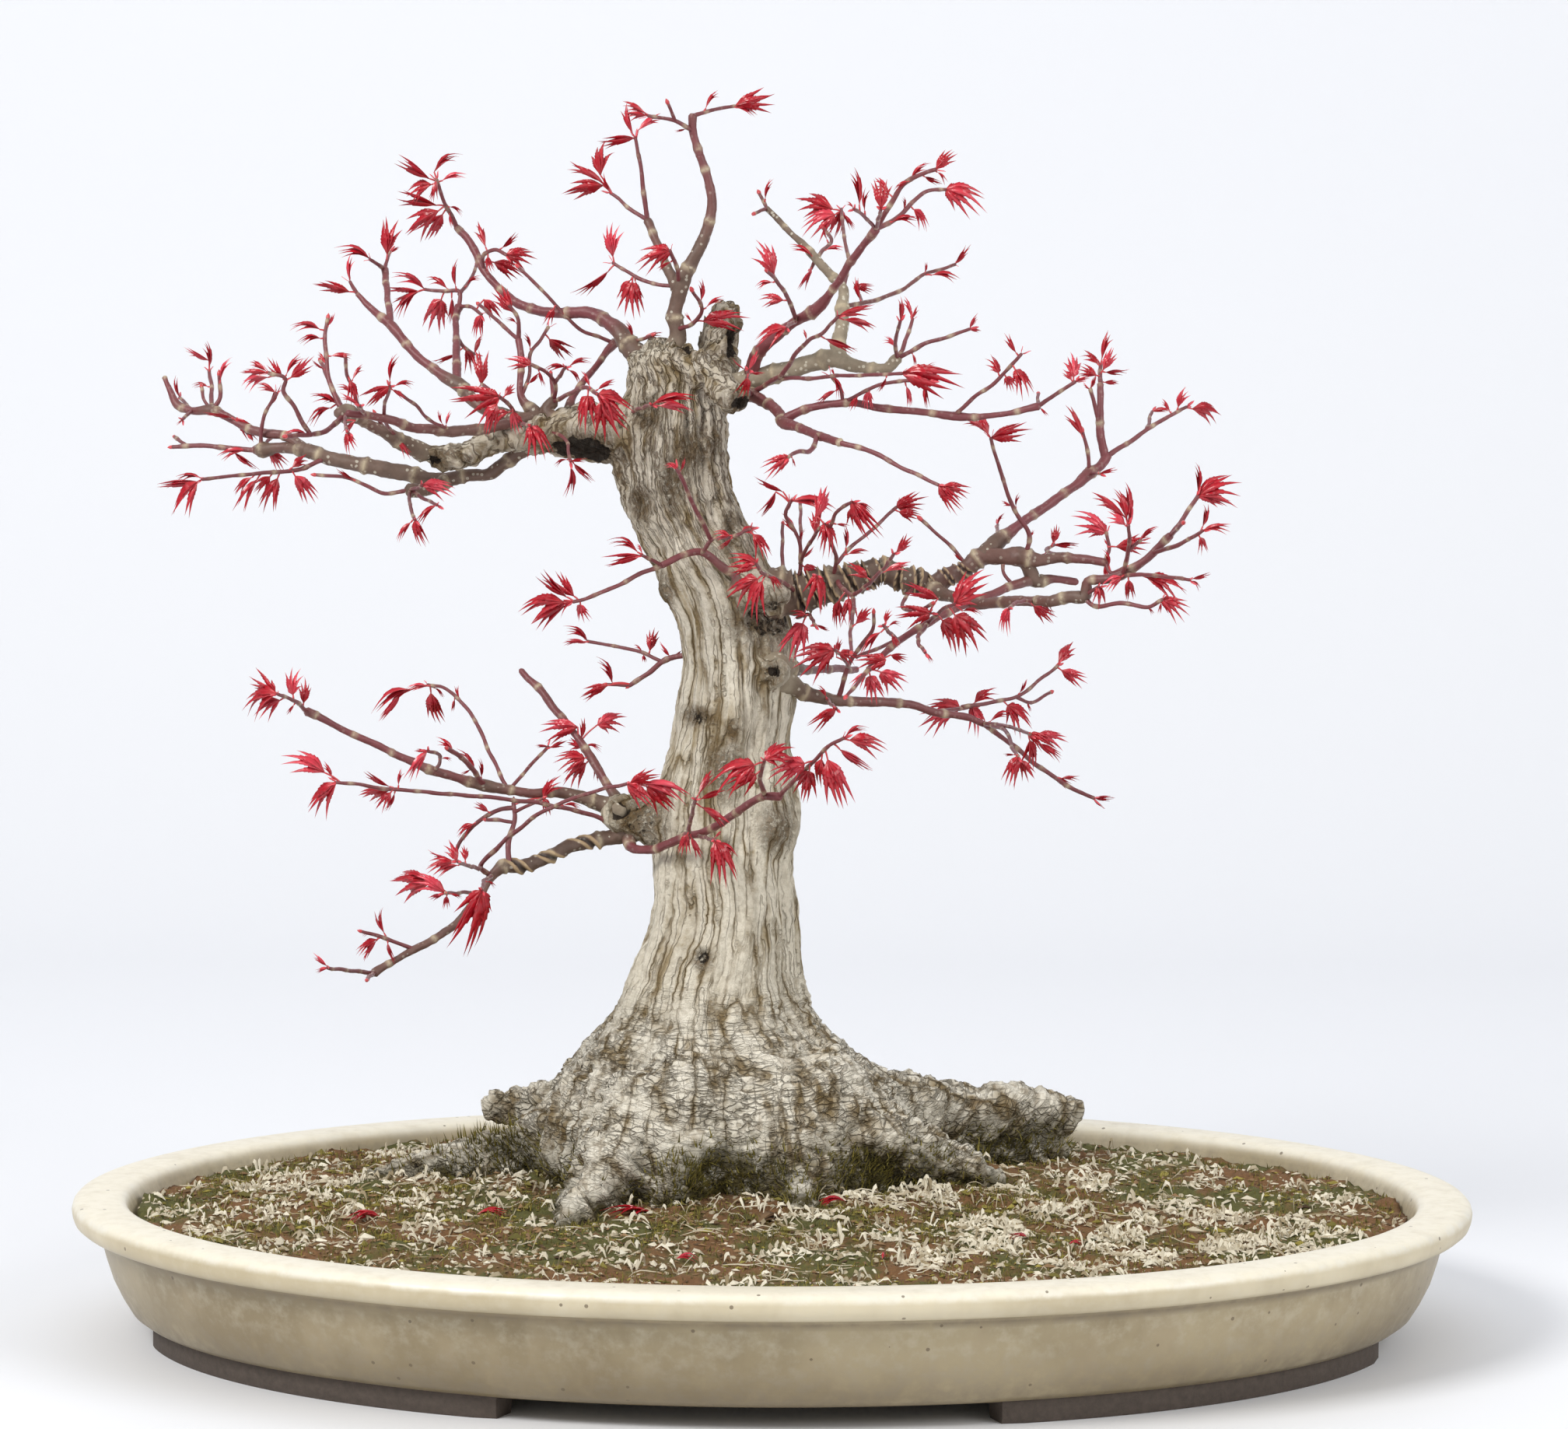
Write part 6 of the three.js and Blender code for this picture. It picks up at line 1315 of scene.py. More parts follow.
def make_soil_paint():
    m = Paint("old_soil")
    fine = m.noise(m.place, 520, 5, 0.75)
    peat = m.mix(fine, (0.03, 0.013, 0.005), (0.36, 0.18, 0.07))
    moss = m.mix(fine, (0.012, 0.014, 0.004), (0.2, 0.19, 0.05))
    m.colour = m.mix(m.step(m.noise(m.place, 22, 5, 0.65), 0.44, 0.56), peat, moss)
    m.coat(m.speckle(330, 0.42, 0.22), (0.55, 0.47, 0.32))
    m.coat(m.number("damp"), (0.035, 0.028, 0.012))
    return m.finish(0.95, fine, 0.9, 0.0012)


def make_cover_paint(name, dark, light, roughness):
    m = Paint(name)
    cloud = m.noise(m.place, 600, 3, 0.6)
    m.colour = m.mix(m.plus(m.times(m.number("tone"), 0.8), m.times(cloud, 0.25)), dark, light)
    return m.finish(roughness, cloud, 0.4, 0.0004)


soil_paint = make_soil_paint()
sphagnum_paint = make_cover_paint("dry_sphagnum", (0.24, 0.165, 0.06), (0.93, 0.87, 0.71), 0.8)
moss_paint = make_cover_paint("green_moss", (0.02, 0.022, 0.005), (0.38, 0.31, 0.06), 0.85)
crumb_paint = make_cover_paint("peat_crumb", (0.02, 0.011, 0.006), (0.36, 0.22, 0.11), 0.95)
print("ground under the trunk:", round(float(ground(-18, 40)), 1), "mm")

# %% [markdown]
# ## The surface of the ground
# A square grid is bent to the oval of the tray, so that its cells stay even up to the rim, and lifted by
# the mound and the lumps. A skirt and a flat bottom, out of sight in the tray, make it a closed body.

# %% Ground surface
GROUND_COLUMNS, GROUND_ROWS = 250, 184
SKIRT_LOW = 34


def make_ground():
    u, v = np.meshgrid(np.linspace(-1, 1, GROUND_COLUMNS), np.linspace(-1, 1, GROUND_ROWS))
    x = u * np.sqrt(1 - v**2 / 2) * (RIM_LONG - SOIL_EDGE)
    y = v * np.sqrt(1 - u**2 / 2) * (RIM_SHORT - SOIL_EDGE)
    z = ground(x, y) + np.array([[relief(a, b) for a, b in zip(p, q)] for p, q in zip(x, y)])
    top = np.stack([x, y, z], -1).reshape(-1, 3)
    index = np.arange(len(top)).reshape(GROUND_ROWS, GROUND_COLUMNS)
    corners = [index[:-1, :-1], index[:-1, 1:], index[1:, 1:], index[1:, :-1]]
    faces = np.stack(corners, -1).reshape(-1, 4).tolist()
    rim = [*index[0, :-1], *index[:-1, -1], *index[-1, :0:-1], *index[:0:-1, 0]]
    low = top[rim] * (0.97, 0.97, 0) + (0, 0, SKIRT_LOW)
    first, count = len(top), len(rim)
    faces += [(rim[i], first + i, first + (i + 1) % count, rim[(i + 1) % count]) for i in range(count)]
    faces.append([first + i for i in range(count)][::-1])
    verts = np.concatenate([top, low])
    near = np.exp(-((verts[:, 0] + 10) / 95) ** 2 - ((verts[:, 1] - 10) / 60) ** 2)
    damp = np.clip(near * 0.75 + roughness_at(verts, 26, 3.0) * 0.5 - 0.3, 0, 0.7)
    return make_piece("ground", [shell(verts, faces, damp=damp)], [soil_paint], ["soil"])


soil = make_ground()
print("ground triangles:", triangles(soil))

# %% [markdown]
# ## The trunk and the roots
# The trunk, the flare and the stumps of the old crown are one grown body. Each is laid down as a simple
# tube first. A voxel skin then melts them together, so that there is no seam where a root leaves the
# flare, and the relief of the bark is carved into that skin.

# %% Forms under the bark
SKIN_STEP = 1.5
STUMP_RADIUS = 3.9


def trunk_core():
    sides = 60
    turn = np.arange(sides) / sides * 2 * math.pi
    rings = []
    for z, left, right, deep in smooth_line(sorted(TRUNK), 3):
        middle = seen((left + right) / 2, z, TRUNK_DEPTH)
        flute = 1 + 0.035 * np.sin(turn * 5 + z * 0.013) + 0.02 * np.sin(turn * 8 - z * 0.02)
        rings.append(np.stack([middle[0] + (right - left) / 2 * flute * np.cos(turn),
                               middle[1] + deep * flute * np.sin(turn), middle[2] + 0 * turn], -1))
    return shell(np.concatenate(rings), ring_faces(len(rings), sides))


def root_core(number_of_root, rows):
    line = smooth_line(rows, 2.5)
    wave = np.array([noise.noise(Vector((i / 5, number_of_root * 3.1, 0))) for i in range(len(line))])
    centres = line[:, :3] + np.stack([wave, -wave, 0.6 * wave], -1) * 1.6

    def knobs(turn):
        return 0.05 * np.sin(3 * turn + number_of_root) + 0.04 * np.sin(5 * turn + 2 * number_of_root)

    return tube(centres, line[:, 3] * (1 + 0.1 * wave), 18, knobs)


def is_stump(row):
    return row[1][-1] > STUMP_RADIUS


# The place in the list of the right main limb, which keeps its own wood nearly to the trunk.
WIRE_BITTEN = 10


def collar(route, wired):
    """The thick foot of a limb, kept a little inside the limb itself."""
    thick = [place for place in route if place[3] >= 5][: 2 if wired else None]
    return [(x, z, d, r * 0.93) for x, z, d, r in thick] if len(thick) > 1 else None


def limb_core(route):
    line = smooth_line([[*seen(x, z, d), r] for x, z, d, r in route], 2)
    return tube(line[:, :3], line[:, 3], 20)


def under_bark():
    cores = [trunk_core()] + [root_core(i, rows) for i, rows in enumerate(ROOTS)]
    for i, (row, route) in enumerate(zip(LIMBS["tree"], limb_routes["tree"])):
        stub = route if is_stump(row) else collar(route, i == WIRE_BITTEN)
        if stub:
            cores.append(limb_core(stub))
    return cores


def melted(cores, step, rounds):
    """One skin over all the forms: points in millimetres, faces and normals."""
    mesh = mesh_of("forms", cores)
    form = bpy.data.objects.new("forms", mesh)
    bpy.context.scene.collection.objects.link(form)
    remesh = form.modifiers.new("skin", "REMESH")
    remesh.mode = "VOXEL"
    remesh.voxel_size = step * MM
    soft = form.modifiers.new("soft", "SMOOTH")
    soft.factor, soft.iterations = 0.5, rounds
    skin = bpy.data.meshes.new_from_object(form.evaluated_get(bpy.context.evaluated_depsgraph_get()))
    points, normals = np.empty((2, len(skin.vertices) * 3))
    skin.vertices.foreach_get("co", points)
    skin.vertex_normals.foreach_get("vector", normals)
    skin_faces = [tuple(p.vertices) for p in skin.polygons]
    bpy.data.objects.remove(form)
    bpy.data.meshes.remove(mesh)
    bpy.data.meshes.remove(skin)
    return points.reshape(-1, 3) / MM, skin_faces, normals.reshape(-1, 3)


bark_points, bark_faces, bark_normals = melted(under_bark(), SKIN_STEP, 6)
print("bark skin points:", len(bark_points))

# %% [markdown]
# ## The relief of the bark
# The ribs, the wavy lines and the wrinkles of the flare are pushed in along the skin's own normals. They
# follow the grain, so that they turn outward with the roots. The marks are pushed in last, with a lip.

# %% Bark relief
def ease(values, low, high):
    t = np.clip((values - low) / (high - low), 0, 1)
    return t * t * (3 - 2 * t)


def growth(points):
    """Places along the grain: round the trunk in two numbers, then the way down and out in the third."""
    levels = sorted(TRUNK)
    middle = np.interp(points[:, 2], [row[0] for row in levels], [(row[1] + row[2]) / 2 for row in levels])
    x, y = points[:, 0] - middle, points[:, 1] - TRUNK_DEPTH
    out = np.hypot(x, y) + 1e-6
    spread = 27 * (out / 27) ** 0.6 / out
    return np.stack([x * spread, y * spread, out - points[:, 2]], -1)


def lines(grain, across, along, width, seed):
    """Long wavy lines that follow the grain: one on a line, 0 away from it."""
    wave = roughness_at(grain / (across, across, along), 1.0, seed)
    return 1 - ease(np.abs(wave), 0, width)


# Heights over which one kind of bark gives way to the next
FOOT_ENDS, TRUNK_BEGINS, FLAKY_BEGINS, SPLINTERS_BEGIN = (84, 112), (108, 150), (285, 335), (384, 402)
# The sawn limb in the crown, whose bark has peeled to pale wood
PEELED = (-29, 383)
# x, y, half widths along x and y, and how full of moss
MOSSY_HOLLOWS = [(-26, -24, 26, 26, 1.0), (2, -8, 22, 18, 0.9), (44, 2, 30, 20, 1.0), (100, 84, 46, 26, 0.9),
                 (-104, 40, 30, 20, 0.8), (-70, -4, 18, 18, 0.5)]


def mossy(points):
    """How mossy the hollows between the roots are."""
    return np.clip(sum(share * np.exp(-((points[:, 0] - x) / wide) ** 2 - ((points[:, 1] - y) / deep) ** 2)
                       for x, y, wide, deep, share in MOSSY_HOLLOWS), 0, 1)


def carve(points, normals):
    """The points with the relief of the bark, the grain at each, and the numbers that colour it."""
    z = points[:, 2]
    grain = growth(points)
    grain[:, :2] += np.stack([roughness_at(points, 30, 2), roughness_at(points, 30, 5)], -1) * 3
    on_trunk = ease(z, *TRUNK_BEGINS)
    at_foot = 1 - ease(z, *FOOT_ENDS)
    between = 1 - on_trunk - at_foot
    flaky = ease(z, *FLAKY_BEGINS)
    broad_lines = lines(grain, 8.5, 70, 0.2, 1.3)
    fine_lines = lines(grain, 4.2, 26, 0.2, 6.1)
    wrinkles = lines(grain, 22, 5.5, 0.2, 3.7)
    folds = lines(grain, 7.5, 15, 0.24, 8.4)
    lumps = roughness_at(points, 9) + 0.6 * roughness_at(points, 4, 8)
    crumple = roughness_at(points, 3.2, 4) + 0.7 * roughness_at(points, 1.9, 7)
    ribs = roughness_at(grain / (12, 12, 55), 1.0, 2.2)
    broad = roughness_at(points, 27, 4)
    push = on_trunk * (1.6 * ribs - 1.5 * broad_lines - 0.45 * fine_lines + 0.5 * lumps + 0.25 * crumple)
    push += on_trunk * flaky * (0.7 * crumple - 0.8 * fine_lines)
    push += between * (0.7 * ribs + 0.8 * lumps - 1.9 * wrinkles - 0.7 * broad_lines + 0.4 * crumple)
    push += at_foot * (0.9 * ribs + 1.5 * lumps - 1.9 * folds - 1.4 * wrinkles + 0.8 * crumple)
    push += 0.8 * broad
    far = (TRUNK_DEPTH - EYE[1]) / (points[:, 1] - EYE[1])
    seen_x = EYE[0] + (points[:, 0] - EYE[0]) * far
    seen_z = EYE[2] + (z - EYE[2]) * far
    facing = ease(-normals[:, 1], -0.15, 0.25)
    scar = on_trunk * np.maximum(0.55 * broad_lines * ease(lumps, -0.6, 0.5), 0.3 * fine_lines * (1 + flaky))
    scar += between * np.maximum(0.85 * wrinkles * ease(lumps, -0.3, 0.4), 0.5 * broad_lines)
    scar += at_foot * np.maximum(0.8 * folds * ease(lumps, -0.5, 0.3), 0.4 * wrinkles)
    dark = np.zeros(len(points))
    for x, height, wide, tall, deep, shade in MARKS:
        away = np.hypot((seen_x - x) / wide, (seen_z - height) / tall)
        near = away < 3
        away[near] *= 1 + 0.3 * roughness_at(points[near], 4, x)
        inside = (1 - ease(away, 0.4, 1.1)) * facing
        lip = np.exp(-(((away - 1.2) / 0.28) ** 2)) * facing
        push += -deep * inside + abs(deep) * 0.22 * lip
        # The inside of a hollow gets painted shade, as much as the mark's shade.
        if deep > 0:
            dark = np.maximum(dark, ease(inside, 0.1, 0.7) * shade)
    peeled = facing * np.exp(-(((seen_x - PEELED[0]) / 13) ** 2) - ((seen_z - PEELED[1]) / 8) ** 2)
    low = ground(points[:, 0], points[:, 1])
    # A band where the bark meets the ground: partly moss, partly painted shade.
    damp = 1 - ease(z - low + 5 * lumps, 0, 13)
    damp = np.maximum(damp, mossy(points) * (1 - ease(z - low + 5 * lumps, 9, 27)))
    # Creases between the ribs near the soil: they hold moss, and painted shade darkens their folds.
    hollow = ease(-ribs, 0.05, 0.4) * (1 - ease(z - low, 4, 20))
    jagged = 3.5 * roughness_at(points, 4.5, 3) + 2 * roughness_at(points, 2.2, 6)
    splinters = ease(z, *SPLINTERS_BEGIN) * jagged
    looks = {
        "scar": np.clip(scar - peeled, 0, 1),
        "damp": np.maximum(damp, 0.8 * hollow),
        "dark": np.clip(np.maximum(dark, 0.6 * hollow * folds), 0, 1),
        "along": facing,
    }
    return points + normals * push[:, None] + (0, 0, 1) * splinters[:, None], grain, looks


moved, grain, bark_looks = carve(bark_points, bark_normals)
trunk = make_piece("trunk_and_roots", [shell(moved, bark_faces, **bark_looks)], [bark], ["tree"])
trunk.data.attributes.new("grain", "FLOAT_VECTOR", "POINT").data.foreach_set("vector", (grain * MM).ravel())
print("trunk triangles:", triangles(trunk))

# %% [markdown]
# ## What lies on the ground
# Sphagnum dries to cream threads, curled and broken, and lies in clumps where it was laid on as a mulch.
# Moss makes low cushions of tiny spikes, and between them peat and bark crumbs show. There are thousands
# of them, so all are made at once as arrays, and a slow noise decides where each kind is at home.

# %% Scattering by a seeded rule
dice = np.random.default_rng(41)
# The middle of the flare and its half widths, where nothing is strewn, and the reach of what is strewn
FLARE_X, FLARE_Y, FLARE_WIDE, FLARE_DEEP = -15, 40, 78, 66
STREWN_X, STREWN_Y = 250, 182


def scatter(count, liking):
    """Places on the ground, more of them where liking(x, y, cloud) is high."""
    found = []
    while len(found) < count:
        x = dice.uniform(-STREWN_X, STREWN_X)
        y = dice.uniform(-STREWN_Y, STREWN_Y)
        if math.hypot(x / (STREWN_X + 1), y / STREWN_Y) > 1:
            continue
        if math.hypot((x - FLARE_X) / FLARE_WIDE, (y - FLARE_Y) / FLARE_DEEP) < 1:
            continue
        cloud = noise.noise(Vector((x / 24, y / 24, 7.0))) + 0.5 * noise.noise(Vector((x / 9, y / 9, 3.0)))
        if dice.random() < liking(x, y, cloud):
            found.append((x, y))
    return np.array(found)


def on_ground(x, y):
    flat = np.stack([x.ravel(), y.ravel()], -1)
    return (ground(flat[:, 0], flat[:, 1]) + [relief(a, b) for a, b in flat]).reshape(x.shape)


def threads(places, lengths, widths, rises, curl, rings, tones):
    """A shell of curled threads, three-sided, that start at each place."""
    count = len(places)
    t = np.linspace(0, 1, rings)
    heading = dice.uniform(0, 2 * math.pi, count)[:, None] + curl * dice.normal(size=(count, 1)) * t
    heading += 0.35 * dice.normal(size=(count, rings)).cumsum(1) * 0.6
    step = (lengths / (rings - 1))[:, None]
    x = places[:, :1] + np.cumsum(np.cos(heading) * step, 1)
    y = places[:, 1:] + np.cumsum(np.sin(heading) * step, 1)
    beyond = np.maximum(np.hypot(x / STREWN_X, y / (STREWN_Y - 1)), 1)
    x, y = x / beyond, y / beyond
    z = on_ground(x, y) + rises[:, None] * np.sin(t * math.pi * 0.9) + 0.3
    centres = np.stack([x, y, z], -1)
    side = np.stack([-np.sin(heading), np.cos(heading), 0 * heading], -1)
    thick = widths[:, None] * np.sin(0.25 + t * 2.65) / 2
    ring = [centres + side * (thick * math.cos(a))[..., None] + (0, 0, 1) * (thick * math.sin(a))[..., None]
            for a in (math.pi / 2, math.pi * 7 / 6, math.pi * 11 / 6)]
    verts = np.stack(ring, 2).reshape(-1, 3)
    return shell(verts, copied(ring_faces(rings, 3), rings * 3, count), tone=np.repeat(tones, rings * 3))


def solids(places, corners, faces, sizes, tones, sink=0.2):
    """Many small copies of one closed shape, each turned, stretched and set on the ground."""
    count = len(places)
    turn = dice.uniform(0, 2 * math.pi, count)
    c, s = np.cos(turn), np.sin(turn)
    shape = np.asarray(corners, float)[None] * sizes[:, None]
    lean = dice.normal(0, 0.25, (count, 2))
    x = shape[..., 0] * c[:, None] - shape[..., 1] * s[:, None] + shape[..., 2] * lean[:, :1]
    y = shape[..., 0] * s[:, None] + shape[..., 1] * c[:, None] + shape[..., 2] * lean[:, 1:]
    base = on_ground(places[:, :1], places[:, 1:])
    verts = np.stack([x + places[:, :1], y + places[:, 1:], shape[..., 2] + base - sink], -1).reshape(-1, 3)
    return shell(verts, copied(faces, len(corners), count), tone=np.repeat(tones, len(corners)))


def near(x, y, at_x, at_y, wide, deep):
    return math.exp(-((x - at_x) / wide) ** 2 - ((y - at_y) / deep) ** 2)


print("scattering helpers ready")

# %% [markdown]
# ## What grows where
# In the photograph most of the sphagnum lies in front on the right, the moss is round the roots, and the
# peat shows in front on the left. A liking from 0 to 1 says so for each kind of cover. The liking counts
# for more or less as a slow noise goes up and down, which breaks the cover into clumps.

# %% Sphagnum, moss and crumbs
STRANDS, BLADES, TUFTS, CRUMBS, CHIPS = 3000, 420, 13000, 3000, 5000


def likes_sphagnum(x, y, cloud):
    clump = min(max((cloud + 0.02) * 2.6, 0.06), 1)
    where = 0.16 + near(x, y, 130, -80, 90, 80) + 0.5 * near(x, y, -185, 20, 60, 90)
    return clump * min(where + 0.7 * near(x, y, 62, -20, 40, 60), 1)


def likes_moss(x, y, cloud):
    clump = min(max((-cloud + 0.1) * 2.4, 0.03), 1)
    where = 0.25 + near(x, y, -18, -42, 62, 34) + near(x, y, 66, 0, 44, 50)
    return clump * min(where + 0.7 * near(x, y, -150, 20, 80, 90), 1)


def likes_crumbs(x, y, _):
    return 0.3 + 0.7 * near(x, y, -80, -110, 120, 80)


SPIKE = [(0.5, 0, 0), (-0.25, 0.43, 0), (-0.25, -0.43, 0), (0, 0, 1)]
SPIKE_FACES = [(0, 1, 3), (1, 2, 3), (2, 0, 3), (2, 1, 0)]


def spike_sizes(count, low, high):
    return np.stack([dice.uniform(0.5, 1.0, count)] * 2 + [dice.uniform(low, high, count)], -1)


def moss_on_roots():
    """Longer moss that climbs into the hollows between the roots."""
    above = moved[:, 2] - ground(moved[:, 0], moved[:, 1])
    liking = 0.85 * mossy(moved)
    liking *= np.clip(1.5 - above / 16, 0, 1) * (above > -2) * np.clip(bark_looks["damp"] * 1.6, 0.1, 1)
    chosen = np.repeat(np.nonzero(dice.random(len(moved)) < liking)[0], 2)
    base = moved[chosen] + dice.normal(0, 0.5, (len(chosen), 3))
    shape = np.array(SPIKE)[None] * spike_sizes(len(chosen), 1.6, 4.2)[:, None]
    lean = bark_normals[chosen] * 0.8 + dice.normal(0, 0.35, (len(chosen), 3))
    verts = base[:, None] + shape * (1, 1, 0.6) + lean[:, None] * shape[..., 2:]
    faces = copied(SPIKE_FACES, 4, len(chosen))
    return shell(verts.reshape(-1, 3), faces, tone=np.repeat(dice.beta(1.4, 2.0, len(chosen)), 4))


def chips(count, liking, length):
    """Bent scraps of fibre, two or three times as long as wide."""
    scrap = [(1, 0.2, 0.1), (0.1, 0.34, 0.05), (-1, 0.1, 0), (0, -0.34, 0.05), (0.2, 0, 0.36), (0, 0, -0.2)]
    around = [(0, 1, 4), (1, 2, 4), (2, 3, 4), (3, 0, 4), (1, 0, 5), (2, 1, 5), (3, 2, 5), (0, 3, 5)]
    sizes = dice.gamma(5, 0.19, (count, 1)) * length * np.stack(
        [np.ones(count), dice.uniform(0.6, 1.3, count), dice.uniform(0.5, 1.7, count)], -1)
    return solids(scatter(count, liking), scrap, around, sizes, dice.beta(1.5, 1.1, count), -0.25)


def make_ground_cover():
    lengths = dice.uniform(1.6, 4.2, STRANDS) + dice.exponential(0.9, STRANDS)
    strands = threads(scatter(STRANDS, likes_sphagnum), lengths, dice.uniform(0.7, 2.2, STRANDS),
                      dice.gamma(1.6, 1.0, STRANDS), 1.4, 4, dice.beta(1.3, 0.9, STRANDS))
    places = scatter(BLADES, likes_moss)
    blades = threads(places, dice.uniform(7, 24, BLADES), dice.uniform(0.35, 0.7, BLADES),
                     dice.gamma(1.6, 0.8, BLADES), 0.6, 6, dice.uniform(0.0, 0.6, BLADES))
    pale = chips(CHIPS, likes_sphagnum, 1.9)
    make_piece("sphagnum_strands", [strands, blades, pale], [sphagnum_paint], smooth=False)
    tufts = solids(scatter(TUFTS, likes_moss), SPIKE, SPIKE_FACES, spike_sizes(TUFTS, 1.2, 3.4),
                   dice.beta(1.4, 2.4, TUFTS), 0.4)
    green = chips(CHIPS // 2, likes_moss, 1.7)
    make_piece("moss_tufts", [tufts, green, moss_on_roots()], [moss_paint], smooth=False)
    crumbs = chips(CRUMBS, likes_crumbs, 1.2)
    bark_bits = chips(CRUMBS, likes_moss, 1.5)
    make_piece("peat_crumbs", [crumbs, bark_bits], [crumb_paint], smooth=False)


make_ground_cover()

# %% [markdown]
# ## The limbs
# A limb is not an even pipe. It swells where a pair of buds once stood, it is a little oval, and the
# training wire has left spiral bites on two of them: a groove with a lip of corky wood on each side.
# One function makes the wood of every limb and twig, so all of them age and grey by the same rule.

# %% Wood of a limb
def wood(route, step, sides, tint, knots_every, bitten=None):
    line = smooth_line([[*seen(x, z, d), r] for x, z, d, r in route], step)
    centres, radii = line[:, :3], line[:, 3]
    run = np.concatenate([[0], np.cumsum(np.linalg.norm(np.diff(centres, axis=0), axis=1))])
    mark = chance(route[0][0], route[0][1], route[-1][0])
    wander = np.stack([roughness_at(centres, 11, mark * 9 + k) for k in (0, 4, 8)], -1)
    fade = np.minimum(run, run[-1] - run)[:, None] / 6
    centres = centres + wander * 0.7 * np.clip(fade, 0, 1)
    age = np.clip((radii - 0.9) / 4.2 + tint, 0.32 if bitten else 0, 0.6 if bitten else 1)
    spots = (np.arange(1, int(run[-1] / knots_every) + 2) - 0.5 + 0.35 * math.sin(mark * 40)) * knots_every
    ring = sum(np.exp(-(((run - s) / 1.1) ** 2)) for s in spots) if len(spots) else 0 * run
    radii = radii * (1 + 0.2 * ring + 0.07 * roughness_at(centres, 7, mark * 5))
    turn = np.arange(sides) / sides * 2 * math.pi
    waves = (0.045 * np.sin(3 * turn + run[:, None] * 0.45 + mark * 7)
             + 0.03 * np.sin(2 * turn - run[:, None] * 0.8) + 0.03 * np.sin(5 * turn + run[:, None] * 1.6))
    scar, dark = np.zeros((2, len(run), sides))
    if bitten:
        start, end, sense, one_turn = bitten
        at_x = line[:, 0] * sense
        held = ease(at_x, start, start + 6) * (1 - ease(at_x, end - 6, end))
        spiral = np.cos(turn - 2 * math.pi * run[:, None] / one_turn + 0.5 * np.sin(run[:, None] * 0.21))
        groove = ease(spiral, 0.72, 1.0) * held[:, None]
        lip = (ease(spiral, -0.1, 0.4) - ease(spiral, 0.72, 1.0)).clip(0) * held[:, None]
        waves = waves - 0.34 * groove + 0.2 * lip
        scar = 0.5 * lip
        dark = np.clip(0.25 * held[:, None] + 0.6 * groove - 0.6 * lip, 0, 1)
    return tube(centres, radii, sides, lambda _: waves,
                age=age, ring=np.clip(ring, 0, 1), scar=scar, dark=dark)


# How much older or younger than its thickness the wood of a limb looks
TINTS = {"long_branch": -0.3, "red_limb": -0.35, "pale_limb": 0.55, "top_left": 0.1, "upper_left": -0.1,
         "lower_arc": -0.15, "front_twig": -0.1, "high_branch": -0.2}
# A limb of the old wood: its place in the list, then where the wire bit it: from, to, the sense of x
# and the length of one turn.
WIRED = {10: (4, 82, 1, 7.2), 15: (66, 112, -1, 15.5)}

# The tints of limbs of the old wood, by their place in the list
OLD_TINTS = {9: 0.5, 10: -0.4}


def make_limbs():
    shells = []
    for i, (row, route) in enumerate(zip(LIMBS["tree"], limb_routes["tree"])):
        if is_stump(row):
            continue
        if i in WIRED:
            start = 1 if i == WIRE_BITTEN else 0
            shells.append(wood(route[start:], 0.8, 18, OLD_TINTS.get(i, 0.0), 21, WIRED[i]))
        else:
            shells.append(wood(route, 1.2, 14, OLD_TINTS.get(i, 0.0), 21))
    return make_piece("limbs", shells, [twig_wood], ["tree"])


limbs = make_limbs()
print("limb triangles:", triangles(limbs))

# %% [markdown]
# ## The leaves
# A maple leaf opens like a hand. First it hangs as a folded spear of five fingers. Then the fingers
# spread, five or seven of them, joined in their lower part and finely toothed above. Each finger here is
# one thin lens with a fold along its middle vein, and its outline steps out and in at each tooth. The
# fingers overlap where they would be joined, which is how the web of a young, pleated leaf looks too.

# %% Fingers of a leaf
FINGER = np.array([
    (0.0, 0.16), (0.12, 0.4), (0.26, 0.8), (0.4, 1.08), (0.415, 0.84), (0.51, 0.96), (0.525, 0.7),
    (0.62, 0.72), (0.635, 0.48), (0.76, 0.38), (0.88, 0.17), (1.0, 0.0),
])
SPEAR = np.array([
    (0.0, 0.2), (0.1, 0.3), (0.24, 0.8), (0.4, 1.0), (0.56, 0.88), (0.63, 0.78), (0.645, 0.56), (0.78, 0.36),
    (0.9, 0.17), (1.0, 0.0),
])
LENS = 0.42
FURTHER_OPEN = 1.06
UP = np.array([0, 0, 1])
# For a folded, a half open and an open leaf: fingers, their angle, half width, fold, curl
KINDS = {3: (5, 4.0, 0.056, 1.1, 0.2), 5: (5, 10.5, 0.077, 0.8, 0.26), 7: (7, 13.5, 0.075, 0.6, 0.24)}


